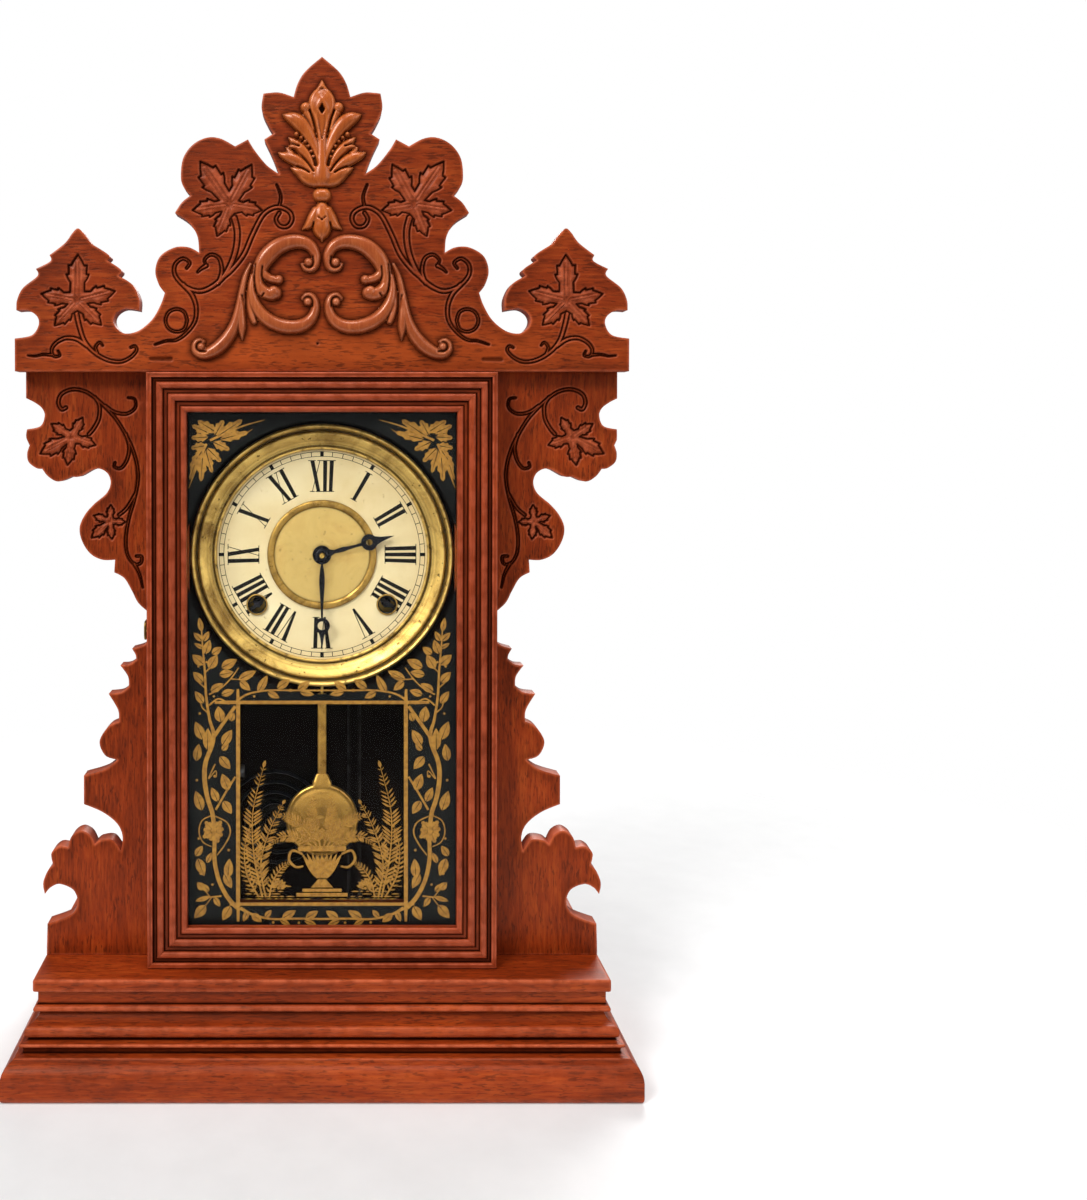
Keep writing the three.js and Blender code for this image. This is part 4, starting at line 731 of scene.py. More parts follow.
def leaf(relief, centre, tips):
    """A five-lobed leaf cut in the wood: an outline groove, veins and swelling lobes."""
    centre = np.array(centre, float)
    arms = [np.array(tip, float) - centre for tip in tips]
    angles = [math.atan2(arm[1], arm[0]) for arm in arms]
    arms = [arm for _, arm in sorted(zip(angles, arms), key=lambda pair: pair[0])]
    ring = []
    for n, arm in enumerate(arms):
        following = arms[(n + 1) % len(arms)]
        side = np.array((-arm[1], arm[0]))
        ring += [centre + arm * u - side * v for u, v in LOBE]
        ring += [centre + arm * u + side * v for u, v in LOBE[-2::-1]]
        turn = math.atan2(arm[0] * following[1] - arm[1] * following[0], arm @ following) % TAU
        between = math.atan2(arm[1], arm[0]) + turn / 2
        reach = 0.30 * min(np.hypot(*arm), np.hypot(*following))
        ring.append(centre + reach * np.array((math.cos(between), math.sin(between))))
    closed = ring + ring[:1]
    edge = relief.near([closed], 6.0)
    inside = relief.inside(ring)
    size = max(np.hypot(*arm) for arm in arms)
    veins = relief.near([[tuple(centre) + (0.1,), tuple(centre + arm * 0.9) + (0.02,)] for arm in arms],
                        5.0)
    swell = np.clip(edge / (0.09 * size), 0, 1) * np.clip(veins / (0.07 * size), 0, 1)
    shape = np.where(inside, 1.2 - 1.15 * swell, 0)
    relief.depth = np.where(inside, shape, relief.depth)
    # The lobes are lightened as a painted highlight where they swell, and darkened as painted shade towards
    # veins and edges
    relief.dirt_and_shade = np.where(inside, 0.22 * (1 - swell), relief.dirt_and_shade)
    relief.wear_and_highlight = np.where(inside, 0.35 + 0.35 * swell, relief.wear_and_highlight)
    groove(relief, edge, 1.3, 0.55)
    fine = relief.near([[tuple(centre + arm * 0.12), tuple(centre + arm * 0.86)] for arm in arms], 2.5)
    ridge = np.where(inside, np.exp(-((fine / 0.6) ** 2)), 0)
    relief.depth -= 0.9 * ridge * (relief.depth > 0.9)
    # The vein ridges are lightened as a painted highlight
    relief.wear_and_highlight = np.maximum(relief.wear_and_highlight, ridge)
    # Painted shade in a band beside each vein ridge
    beside = np.where(inside, np.exp(-(((fine - 1.4) / 0.45) ** 2)), 0)
    relief.dirt_and_shade = np.maximum(relief.dirt_and_shade, 0.5 * beside)


# The column of the photograph in the middle of its front view
MIDDLE_COLUMN = 321.5


def from_photo(scale, height):
    """Turns a pixel of the photograph's front view into x and z on a plane."""
    return lambda x, y: ((x - MIDDLE_COLUMN) * scale, height - scale * y)


# Millimetres to a pixel on each plane, and how high the photograph's first row lies on it
on_crest = from_photo(0.5833, 623.4)
on_side = from_photo(0.592, 625.7)

# Left half, in pixels of the photograph: a leaf's centre and its five tips
CREST_LEAVES = [
    ((77, 299.4), [(78, 253.5), (114.8, 289.8), (101, 323.5), (54.6, 324), (41.3, 292.5)]),
    ((229.6, 204), [(200.2, 161), (251.4, 164), (261.7, 209.4), (217, 235), (192.4, 209.4)]),
]
SIDE_LEAVES = [
    ((70.5, 433), [(81.7, 413.4), (94.5, 441), (66.3, 461), (39, 449.5), (50.2, 419.7)]),
    ((108.6, 517.5), [(109.8, 501), (124.4, 518.3), (110.8, 535.4), (90.4, 534), (92.5, 511.7)]),
]

# Left half, in pixels: points of a stem, then its half width in millimetres at each end
CREST_VINES = [
    ([(76.5, 312), (79, 324), (84, 339), (93, 350), (106, 358), (119.4, 360.3), (130, 356), (136.3, 349),
      (134.5, 344.6), (130.5, 346)], 1.3, 0.5),
    ([(87, 344.5), (77, 338), (66, 336.5), (56.5, 341), (51.5, 348), (53.5, 354.5), (59.5, 354),
      (58, 349.5)],
     1.2, 0.4),
    ([(52, 353.5), (43, 353), (35, 354.5), (28, 354)], 0.7, 0.2),
    ([(97, 352), (95.5, 345.5), (99.5, 341), (102.5, 344)], 0.8, 0.4),
    ([(224, 275), (232, 268), (243.4, 253.5), (252, 234), (262, 215), (272, 207.5), (281, 206.8),
      (289.5, 211.5), (291.5, 219), (287, 225.5), (279.5, 225), (275.8, 218.5), (279, 212)], 1.3, 0.9),
    ([(278.5, 207), (280.5, 196), (276.5, 184)], 0.8, 0.4),
    ([(234, 217), (237, 230), (236, 246), (231, 262), (222, 277), (209, 287), (197.4, 289.8), (184, 284.5),
      (175, 274), (175, 263.5), (182.5, 257.5), (189.5, 261.5), (186.5, 267)], 1.7, 0.6),
    ([(218, 282), (221.6, 270), (219, 257.5), (211, 253.5), (204.5, 258.5), (206, 264)], 1.1, 0.5),
    ([(206, 264.5), (201, 267.5), (197.4, 271)], 1.1, 0.4),
    ([(183, 283.5), (191.5, 293), (196, 306), (194.5, 320), (186, 331.6), (176, 338.5), (166, 339.5),
      (155, 343)], 1.3, 0.4),
    ([(187, 319), (184, 327.5), (176.3, 330.3), (168.5, 327), (165.3, 319), (168.5, 311), (176.3, 307.7),
      (184, 310.7), (187, 319)], 0.7, 0.7),
]
SIDE_VINES = [
    ([(65, 403.5), (60.5, 405), (57.5, 398), (61, 389.5), (72, 385), (85, 387.5), (97, 396), (107.5, 406),
      (116, 416), (124, 429), (131, 443), (136, 460), (137, 476), (133.5, 495), (128, 514), (124.8, 533),
      (126, 550), (132.5, 560), (139.5, 559.5), (140.5, 553), (135.5, 552.5)], 0.9, 0.6),
    ([(133, 560), (138.5, 571), (141.5, 584)], 0.9, 0.3),
    ([(94, 393), (98.5, 401), (98, 414), (93, 424), (88, 430)], 0.9, 0.9),
    ([(104, 401.5), (114, 408), (126, 409.5), (134.5, 403.5), (134, 395), (127.5, 393.5)], 0.9, 0.4),
    ([(125, 430), (128.5, 443), (126, 456), (120, 464), (113.5, 463), (114, 458.5)], 0.9, 0.5),
    ([(134.5, 490), (126, 504), (118, 511)], 0.8, 0.8),
]
# Two shallow chips in the crest's lower edge, as pixel corners
CREST_CHIPS = [((149, 355), (172, 360)), ((481, 356), (502, 360))]
# A nail hole below the scrolls, in millimetres
NAIL_HOLE = [(-2.6, 423.9, 0.0), (-2.5, 423.9, 0.0)]
# How far painted shade, partly old polish and dirt, darkens the crest round the applied carvings
HALO_SHADE = 4.5
# The depth that the carving stays above, and the dirt on a board's other faces
DEEPEST_CUT = 1.6
BACK_DIRT = 0.06


def rounded_edge(relief, points, width=1.0, depth=0.45):
    """Rubs down the edge along an outline and lightens it for wear and as a painted highlight, with painted
    shade, partly dirt, darkening a band beside it.
    """
    beside = 8.0
    apart = np.abs(relief.near([list(points) + [points[0]]], beside))
    edge_shade = 0.3 * np.clip((apart - 0.6) / 1.4, 0, 1) * np.clip(1 - apart / beside, 0, 1)
    relief.dirt_and_shade = np.maximum(relief.dirt_and_shade, edge_shade)
    share = np.clip(1 - apart / width, 0, 1)
    relief.depth = np.maximum(relief.depth, depth * share**2)
    relief.wear_and_highlight = np.maximum(relief.wear_and_highlight, np.clip(1 - apart / (width * 1.3), 0, 1) * 0.9)


def mirrored(points, flip):
    return [(-x if flip else x, z) for x, z in points]


def carved_board(name, points, carve, material_used, step=0.5):
    """A flat board with a carved face, cut to its outline. The name is its CAD node's."""
    low, high = low_high(name)
    front, back = low[1], high[1]
    relief = Relief((low[0], low[2]), (high[0], high[2]), step)
    carve(relief)
    rounded_edge(relief, points)
    verts, faces = common(relief.slab(front, back), prism(points, front - 4, back))
    on_face = verts[:, 1] < front + DEEPEST_CUT
    dirt_and_shade = np.where(on_face, relief.read(relief.dirt_and_shade, verts[:, 0], verts[:, 2]), BACK_DIRT)
    wear_and_highlight = np.where(on_face, relief.read(relief.wear_and_highlight, verts[:, 0], verts[:, 2]), 0.0)
    return piece(f"carved_{name}", verts, faces, material_used, replaces=(name,), dirt_and_shade=dirt_and_shade, wear_and_highlight=wear_and_highlight,
                 sharp=50)


def carve_growth(relief, place, stems, leaves, flip):
    """Cuts vines and leaves whose points are pixels of the photograph."""
    vines(relief, [(mirrored([place(*p) for p in points], flip), *ends) for points, *ends in stems])
    for centre, tips in leaves:
        spots = mirrored([place(*p) for p in (centre, *tips)], flip)
        leaf(relief, spots[0], spots[1:])


def carve_crest(relief):
    for flip in (False, True):
        carve_growth(relief, on_crest, CREST_VINES, CREST_LEAVES, flip)
    for a, b in CREST_CHIPS:
        (x0, z0), (x1, z1) = on_crest(*a), on_crest(*b)
        middle = (z0 + z1) / 2
        chip = relief.near([[(x0 + 1, middle, 1.0), (x1 - 1, middle, 1.3)]], 2.0)
        shape = np.clip(0.5 - chip, 0, 1)
        relief.depth = np.maximum(relief.depth, 0.8 * shape)
        relief.dirt_and_shade = np.maximum(relief.dirt_and_shade, 0.7 * shape)
    groove(relief, relief.near([NAIL_HOLE], 3.0), 1.2, 0.6)
    applied = [on_board(points) for points in (TRUNK, BELL, TOP_PETAL)]
    strokes = [*(points for points, _ in PALM_PETALS), *SCROLL_STROKES, BELL_FLARE, PALM_CURL]
    strokes += [[knob, knob] for knob in (*SCROLL_KNOBS, PALM_CURL_KNOB)]
    for flip in (False, True):
        applied += [on_board(points, flip) for points in strokes]
    apart = relief.near(applied, HALO_SHADE)
    # Painted shade round the applied carvings, partly old polish and dirt
    relief.dirt_and_shade = np.maximum(relief.dirt_and_shade, 0.9 * np.clip(1 - np.maximum(apart, 0) / HALO_SHADE, 0, 1) ** 1.6)


def boards():
    carved_board("crest_board", crest_outline(), carve_crest, FACE_X)
    right = side_outline()
    left = [np.array((-x, z)) for x, z in reversed(right)]
    for side, points, flip in (("left", left, False), ("right", right, True)):
        def carve(relief, flip=flip):
            carve_growth(relief, on_side, SIDE_VINES, SIDE_LEAVES, flip)

        carved_board(f"{side}_side_ornament", points, carve, FACE_Z)


# Applied carvings: strokes of a rounded section, joined where they meet

# The distance of points that no stroke comes near
FAR = 9.0


class Carving(Relief):
    """A carving glued on a board. Height is measured from the board's face."""

    def __init__(self, low, high, step):
        super().__init__(low, high, step)
        self.height = np.zeros_like(self.depth)
        self.edge = np.full(self.depth.shape, FAR)

    def stroke(self, points, top, rim=0.5, power=0.85, smooth=True, steps=5):
        """Adds a stroke. Its points are x, z and half width, and top is its height per half width."""
        line = np.array([tuple(p) for p in (spline(points, steps) if smooth else points)], float)
        apart = np.full(self.depth.shape, FAR)
        wide = np.ones_like(apart)
        for a, b in zip(line[:-1], line[1:]):
            reach = 2 + max(a[2], b[2])
            i0, i1 = np.searchsorted(self.x, (min(a[0], b[0]) - reach, max(a[0], b[0]) + reach))
            k0, k1 = np.searchsorted(self.z, (min(a[1], b[1]) - reach, max(a[1], b[1]) + reach))
            gx, gz = self.x[i0:i1, None] - a[0], self.z[None, k0:k1] - a[1]
            run = b[:2] - a[:2]
            t = np.clip((gx * run[0] + gz * run[1]) / max(run @ run, 1e-12), 0, 1)
            half = a[2] + t * (b[2] - a[2])
            found = np.hypot(gx - t * run[0], gz - t * run[1]) - half
            nearer = found < apart[i0:i1, k0:k1]
            apart[i0:i1, k0:k1][nearer] = found[nearer]
            wide[i0:i1, k0:k1][nearer] = half[nearer]
        across = np.clip((apart + wide) / np.maximum(wide, 0.2), 0, 1)
        crown = np.where(apart < 0, rim + top * wide * (1 - across**2) ** power, 0)
        self.height = np.maximum(self.height, crown)
        self.edge = np.minimum(self.edge, apart)
        return across, apart

    def cut(self, points, deep, width, floor=0.6):
        """A V cut along a line."""
        apart = self.near([[tuple(p) for p in spline(points, 5)]], 4.0)
        share = np.clip(1 - np.maximum(apart, 0) / width, 0, 1)
        lower = np.maximum(self.height - deep * share, floor)
        self.height = np.where(self.height > floor, lower, self.height)

    def cap(self, highest):
        """Presses the heights softly under a limit."""
        over = self.height > 0
        self.height = np.where(over, highest * np.tanh(self.height / highest * 1.05) / math.tanh(1.6), 0)
        self.height = np.minimum(self.height, highest)

    def blurred(self, field, reach):
        """A field averaged over a small square."""
        total = np.zeros_like(field)
        for shift in range(-reach, reach + 1):
            total += np.roll(field, shift, 0)
        result = np.zeros_like(field)
        for shift in range(-reach, reach + 1):
            result += np.roll(total, shift, 1)
        return result / (2 * reach + 1) ** 2

    def mesh(self, plane):
        """The closed solid in front of a plane, with painted shade, partly dirt, in its hollows and on its
        flanks, and painted highlight, partly wear, on its ridges and rims.
        """
        inside = self.edge < 0
        gx = (np.roll(self.edge, -1, 0) - np.roll(self.edge, 1, 0)) / (2 * self.step)
        gz = (np.roll(self.edge, -1, 1) - np.roll(self.edge, 1, 1)) / (2 * self.step)
        cells = np.zeros_like(inside)
        cells[:-1, :-1] = inside[:-1, :-1] | inside[1:, :-1] | inside[:-1, 1:] | inside[1:, 1:]
        soft = self.blurred(self.height, 1)
        height = np.where(inside, soft, 0.5)
        lift = self.blurred(self.height, 3) - soft
        # Painted shade in the hollows and on the flanks, and painted highlight on the ridges and rims
        flank_shade = 0.8 * np.clip(1 + self.edge / 1.2, 0, 1)
        dirt_and_shade = np.maximum(np.clip(lift / 0.4, 0, 1), flank_shade) * inside
        rim_highlight = 0.8 * np.clip(1 - np.abs(self.edge + 1.6) / 0.6, 0, 1)
        wear_and_highlight = np.maximum(np.clip(-lift / 0.4 - 0.1, 0, 1), rim_highlight)
        index = {}
        verts, marks = [], []
        faces, rim = [], {}

        def corner(i, k):
            if (i, k) not in index:
                index[i, k] = len(verts) // 2
                x, z = self.x[i], self.z[k]
                if not inside[i, k]:
                    slope = max(math.hypot(gx[i, k], gz[i, k]), 0.3)
                    reach = min(self.edge[i, k], 0.7 * self.step)
                    x -= reach * gx[i, k] / slope
                    z -= reach * gz[i, k] / slope
                verts.append((x, plane - max(height[i, k], 0.4), z))
                verts.append((x, plane, z))
                marks.append((dirt_and_shade[i, k], wear_and_highlight[i, k]))
                # The foot against the board is darkened as painted shade
                marks.append((0.8, 0))
            return index[i, k]

        for i, k in zip(*np.nonzero(cells)):
            ring = [corner(i, k), corner(i + 1, k), corner(i + 1, k + 1), corner(i, k + 1)]
            faces.append(tuple(2 * v for v in ring))
            faces.append(tuple(2 * v + 1 for v in reversed(ring)))
            for a, b in zip(ring, ring[1:] + ring[:1]):
                if (b, a) in rim:
                    del rim[b, a]
                else:
                    rim[a, b] = True
        for a, b in rim:
            faces.append((2 * b, 2 * a, 2 * a + 1, 2 * b + 1))
        marks = np.array(marks)
        return verts, faces, marks[:, 0], marks[:, 1]


# Left half of the palmette: x from the middle, height above the crest's lower edge, half width
TOP_PETAL = [(0, 134, 2.6), (0, 140, 3.5), (0, 146, 4.8), (0, 150.5, 6.4), (0, 154, 8.0), (0, 156.5, 7.2),
             (0, 159.6, 5.0), (0, 163, 2.9), (0, 166.2, 1.4), (0, 168.3, 0.2)]
TRUNK = [(0, 112.2, 6.4), (0, 115, 6.0), (0, 120, 4.9), (0, 127, 3.9), (0, 136, 3.1), (0, 142, 2.6)]
PALM_PETALS = [
    ([(-2.4, 122, 3.2), (-5.0, 131, 3.7), (-8.6, 138.4, 4.2), (-12.4, 143.2, 4.6), (-16.4, 146.0, 3.9),
      (-19.6, 147.2, 2.4), (-22, 148.2, 0.8)], 0.74),
    ([(-2.8, 117, 3.0), (-7.0, 123.4, 3.0), (-11.2, 128, 3.1), (-14.6, 131.2, 2.6), (-17.2, 133.4, 1.6),
      (-18.9, 135, 0.6)], 0.76),
    ([(-12.6, 129.2, 2.0), (-15.8, 130, 1.7), (-18.6, 130, 0.9)], 0.9),
    ([(-3.4, 113.4, 3.4), (-8.4, 117.2, 3.2), (-12.8, 120.8, 3.3), (-17.0, 123.0, 3.4), (-20.6, 124.4, 2.7),
      (-23.0, 125.2, 1.7), (-24.8, 126.4, 0.6)], 0.76),
    ([(-17.6, 125.8, 1.8), (-19.4, 127.6, 1.3), (-20.4, 129.2, 0.6)], 0.9),
    ([(-2.8, 111.0, 3.8), (-7.0, 112.4, 3.5), (-11.0, 114.4, 3.1), (-14.4, 116.0, 2.2),
      (-17.6, 117.6, 0.6)], 0.76),
    ([(0, 109.8, 3.6), (-3.8, 109.8, 3.5), (-7.8, 110.4, 3.0), (-11.2, 112.2, 2.2), (-14.2, 114, 1.0)],
     0.66),
]
PALM_CURL = [(-4.4, 140.4, 2.0), (-6.4, 145.4, 2.4), (-8.4, 149.4, 2.7)]
PALM_CURL_KNOB = (-9.4, 152.4, 3.2)
PALM_BEADS = [(-14.8, 136.9, 1.5), (-12.1, 134.9, 1.2), (-9.9, 132.7, 1.05), (-8.0, 130.1, 0.95),
              (-6.3, 127.2, 0.85), (-5.0, 124.3, 0.7)]
PALM_SLOTS = [
    ([(-7.0, 150.4), (-5.6, 146.4), (-4.2, 141.0), (-3.0, 135.6)], 0.8),
    ([(-15.4, 137.8), (-12.1, 134.9), (-9.0, 131.4), (-6.3, 127.2), (-4.4, 122.8), (-3.6, 119.4)], 1.5),
    ([(-14.6, 126.6), (-11.2, 123.8), (-7.8, 120), (-5.0, 115.8)], 0.75),
    ([(-14.2, 118.6), (-10.4, 117), (-7.4, 115.0)], 0.6),
    ([(-17.2, 131.8), (-14.8, 130.7), (-13.2, 130.2)], 0.6),
]
BELL = [(0, 94.6, 3.6), (0, 92, 5.0), (0, 89, 5.6), (0, 86, 5.5), (0, 83.6, 5.6), (0, 81, 4.4),
        (0, 78.6, 2.4), (0, 76.6, 1.0), (0, 75.2, 0.2)]
BELL_FLARE = [(-3.4, 92.6, 3.0), (-5.2, 89, 3.2), (-6.8, 86, 2.8), (-8.6, 84, 1.9), (-10.4, 82.8, 0.9),
              (-11.2, 82.2, 0.4)]
PALM_BALL = [(-1.5, 101.9, 4.0), (0, 101.9, 4.1), (1.5, 101.9, 4.0)]
# The ridge inside the top petal, and the height of the lozenge cut in it
PETAL_ARCH = [(-2.7, 141), (-3.1, 147), (-2.9, 151.6), (0, 157.2), (2.9, 151.6), (3.1, 147), (2.7, 141)]
PETAL_EYE = 151.2
# Cuts in the bell flower: points, depth and width
BELL_CUTS = [([(-4.9, 86), (-5.3, 82), (-4.6, 78.6)], 1.6, 0.8), ([(-2.0, 88.9), (0, 87.3)], 1.8, 0.7)]

# The left scroll's strokes, in the same way, and its knobs
SCROLL_STROKES = [
    [(-11.4, 61.8, 1.0), (-9.6, 59.4, 1.4), (-6.6, 58.9, 1.7), (-4.2, 60.6, 2.1), (-3.4, 64, 2.5),
     (-3.8, 68, 2.9), (-6.8, 72.6, 3.4), (-12, 74.9, 4.0), (-18.4, 74.8, 4.4), (-25.2, 72.4, 4.8),
     (-31, 67.6, 5.0), (-34.8, 62, 4.6), (-36.4, 56, 3.8), (-36.8, 50, 2.8)],
    [(-35.6, 63, 2.8), (-34.2, 57.4, 2.6), (-30.6, 54, 2.4), (-25.6, 52.7, 2.4)],
    [(-37.4, 58, 2.8), (-37.2, 51, 3.3), (-34.4, 46.6, 3.6), (-30, 44.6, 3.7), (-27.2, 45.4, 3.8)],
    [(-40.4, 55, 1.4), (-41, 48, 2.3), (-39.4, 40, 3.2), (-35, 33, 3.8), (-28.6, 28.2, 4.1),
     (-21, 25.8, 4.2), (-13.4, 26.0, 4.0), (-7.4, 29.2, 3.4), (-4.3, 34.4, 2.8), (-3.9, 39.4, 2.4),
     (-5.6, 43.2, 1.9), (-8.8, 44.2, 1.5), (-11.2, 42.2, 1.1)],
    [(-41.6, 62, 0.8), (-44.6, 55, 1.6), (-46.6, 46, 2.0), (-48.2, 37, 2.4), (-50.4, 28, 3.1),
     (-54.2, 20.4, 3.7), (-59.6, 14.2, 4.0), (-65.4, 10.6, 3.6), (-70.4, 9.6, 2.8), (-73.8, 12.0, 2.1),
     (-74.0, 15.6, 1.7), (-71.6, 17.9, 1.4), (-68.8, 17.0, 1.1)],
    [(-45.6, 50, 0.9), (-46.4, 38, 1.6), (-46.9, 30, 2.6), (-46.7, 25.6, 2.6), (-46.5, 21.6, 1.5),
     (-46.3, 18.2, 0.3)],
    [(-43.0, 46, 0.8), (-42.2, 38, 1.6), (-40.6, 32, 2.0), (-39.4, 28.8, 1.7)],
]
SCROLL_KNOBS = [(-7.9, 63.1, 2.6), (-25.2, 53.1, 2.7), (-28, 45.8, 3.8), (-8.2, 40.2, 2.5),
                (-70.2, 14.2, 2.4)]
SCROLL_CUTS = [
    [(-5.3, 66.6), (-4.9, 63.0), (-6.0, 60.6), (-8.2, 60.2), (-10.4, 61.8)],
    [(-38.6, 62), (-39.2, 54), (-38.2, 46)],
    [(-34.4, 60.6), (-34.8, 54.4), (-32.4, 49.8), (-28.6, 49.2)],
    [(-36.4, 41.6), (-33.6, 45)],
    [(-5.6, 37.4), (-5.4, 40.4), (-6.6, 42.6), (-8.6, 43.0), (-10.6, 41.6)],
    [(-67.6, 11.4), (-70.6, 11.4), (-72.8, 13.2), (-72.2, 15.8), (-70.2, 16.8)],
    [(-46.4, 44), (-45.0, 38), (-44.2, 32)],
]


def on_board(points, flip=False):
    """Places x, height and half width on the crest. Flipped points are the right half's."""
    foot = CREST_LOW[2]
    return [(-p[0] if flip else p[0], foot + p[1], *p[2:]) for p in points]


def palmette():
    low, high = low_high("crest_palmette")
    carving = Carving((-28, CREST_LOW[2] + 73), (28, CREST_LOW[2] + 171), 0.38)
    for flip in (False, True):
        for points, top in PALM_PETALS:
            carving.stroke(on_board(points, flip), top)
        carving.stroke(on_board(PALM_CURL, flip), 0.9)
        carving.stroke(on_board([PALM_CURL_KNOB, PALM_CURL_KNOB], flip), 1.25, smooth=False)
        carving.stroke(on_board(BELL_FLARE, flip), 0.9)
    carving.stroke(on_board(TRUNK), 0.72)
    across, apart = carving.stroke(on_board(TOP_PETAL), 0.62, 1.4)
    petal = apart < 0
    dish = 1.3 * np.clip(1 - (across / 0.8) ** 4, 0, 1) * np.clip(-apart / 2, 0, 1)
    carving.height = np.where(petal & (carving.height > 3), carving.height - dish, carving.height)
    ridge = carving.near([on_board(PETAL_ARCH)], 2.0)
    carving.height += np.where(petal, 0.55 * np.exp(-((ridge / 0.7) ** 2)), 0)
    for flip in (False, True):
        for points, width in PALM_SLOTS:
            carving.cut(on_board(points, flip), 4.6, width)
        for bead in PALM_BEADS:
            carving.stroke(on_board([bead, bead], flip), 1.5, 1.4, smooth=False)
    carving.stroke(on_board(PALM_BALL), 1.05)
    carving.stroke(on_board(BELL), 0.75)
    for flip in (False, True):
        for points, deep, width in BELL_CUTS:
            carving.cut(on_board(points, flip), deep, width)

    def eye(x, z, half, tall):
        return np.abs(x) / half + np.abs(z - CREST_LOW[2] - PETAL_EYE) / tall < 1

    hole = eye(carving.x[:, None], carving.z[None, :], 1.7, 3.0)
    carving.height = np.where(hole, 1.0, carving.height)
    carving.cap(high[1] - low[1])
    verts, faces, dirt_and_shade, wear_and_highlight = carving.mesh(high[1])
    spots = np.array(verts)
    # The lozenge cut in the top petal is darkened fully as painted shade
    dirt_and_shade = np.maximum(dirt_and_shade, eye(spots[:, 0], spots[:, 2], 1.9, 3.3))
    piece("carved_palmette", verts, faces, CARVED, slot="carved_wood", replaces=("crest_palmette",),
          dirt_and_shade=dirt_and_shade, wear_and_highlight=wear_and_highlight, sharp=70)


def scrolls():
    for side, flip in (("left", False), ("right", True)):
        name = f"crest_scroll_{side}"
        low, high = low_high(name)
        carving = Carving((low[0] - 2, low[2] - 3), (high[0] + 2, high[2] + 1), 0.4)
        for points in SCROLL_STROKES:
            carving.stroke(on_board(points, flip), 0.92)
        for points in SCROLL_CUTS:
            carving.cut(on_board(points, flip), 2.6, 0.8)
        for knob in SCROLL_KNOBS:
            carving.stroke(on_board([knob, knob], flip), 1.15, 0.8, smooth=False)
        carving.cap(high[1] - low[1])
        verts, faces, dirt_and_shade, wear_and_highlight = carving.mesh(high[1])
        piece(f"carved_scroll_{side}", verts, faces, SCROLLED, slot="carved_wood", replaces=(name,),
              dirt_and_shade=dirt_and_shade, wear_and_highlight=wear_and_highlight, sharp=70)


boards()
palmette()
scrolls()


# Mouldings: bars of one section between two mitres

def section(start, *moves, steps=6):
    """A section's points. Each move is a point, or a curve's control point and its end."""
    points = [np.array(start, float)]
    for move in moves:
        if isinstance(move[0], tuple):
            a, control, end = points[-1], np.array(move[0], float), np.array(move[1], float)
            for t in np.linspace(0, 1, steps + 1)[1:]:
                points.append((1 - t) ** 2 * a + 2 * t * (1 - t) * control + t * t * end)
        else:
            points.append(np.array(move, float))
    return points


def rubbed(points, radius=0.35, steps=3):
    """A closed section with its sharp corners rounded."""
    result = []
    count = len(points)
    for n, p in enumerate(points):
        before, after = points[n - 1] - p, points[(n + 1) % count] - p
        a, b = np.hypot(*before), np.hypot(*after)
        turn = before @ after / max(a * b, 1e-9)
        if turn < -0.9:
            result.append(p)
            continue
        reach = min(radius, 0.45 * a, 0.45 * b)
        start, end = p + before / a * reach, p + after / b * reach
        for t in np.linspace(0, 1, steps + 1):
            result.append((1 - t) ** 2 * start + 2 * t * (1 - t) * p + t * t * end)
    return result


def evenly(points, step):
    """A closed section with points no further apart than step."""
    result = []
    for a, b in zip(points, points[1:] + points[:1]):
        count = max(1, math.ceil(np.hypot(*(b - a)) / step))
        result += [a + (b - a) * n / count for n in range(count)]
    return result


def hollows(points, reach=1.5):
    """How hollow and how proud a closed section is at each of its points."""
    points = np.array(points)
    area = sum(a[0] * b[1] - b[0] * a[1] for a, b in zip(points, np.roll(points, -1, 0)))
    lengths = np.hypot(*(np.roll(points, -1, 0) - points).T)
    total = np.concatenate(([0], np.cumsum(lengths)))
    around = total[-1]
    closed = np.append(points, points[:1], axis=0)
    dirt_and_shade, wear_and_highlight = [], []
    for n, p in enumerate(points):
        spots = (total[n] + np.linspace(-reach, reach, 13)) % around
        mean = np.array([np.interp(spots, total, closed[:, c]).mean() for c in (0, 1)])
        run = points[(n + 1) % len(points)] - points[n - 1]
        outward = np.array((run[1], -run[0])) * (1 if area > 0 else -1)
        value = (mean - p) @ outward / max(np.hypot(*outward), 1e-9)
        dirt_and_shade.append(np.clip(value / (0.2 * reach), 0, 1))
        wear_and_highlight.append(np.clip(-value / (0.3 * reach), 0, 1))
    return dirt_and_shade, wear_and_highlight


def bar(name, points, stations, material_used, **settings):
    """A bar through stations. Each station turns a point of the section into a place."""
    points = evenly(rubbed(points), 0.55)
    # Sections darken in hollows for dirt and as painted shade, and lighten on proud points for wear and as
    # painted highlight
    dirt_and_shade, wear_and_highlight = hollows(points)
    count = len(points)
    verts = [station(*p) for station in stations for p in points]
    faces = []
    for s in range(len(stations) - 1):
        for n in range(count):
            a, b = s * count + n, s * count + (n + 1) % count
            faces.append((a, b, b + count, a + count))
    last = (len(stations) - 1) * count
    faces.append(tuple(range(count))[::-1])
    faces.append(tuple(last + n for n in range(count)))
    made = piece(name, verts, faces, material_used, dirt_and_shade=dirt_and_shade * len(stations), wear_and_highlight=wear_and_highlight * len(stations),
                 **settings)
    outwards(made)
    return made


def outwards(made):
    """Turns every face of a closed piece to the outside."""
    mesh = bmesh.new()
    mesh.from_mesh(made.data)
    bmesh.ops.recalc_face_normals(mesh, faces=mesh.faces)
    mesh.to_mesh(made.data)
    mesh.free()


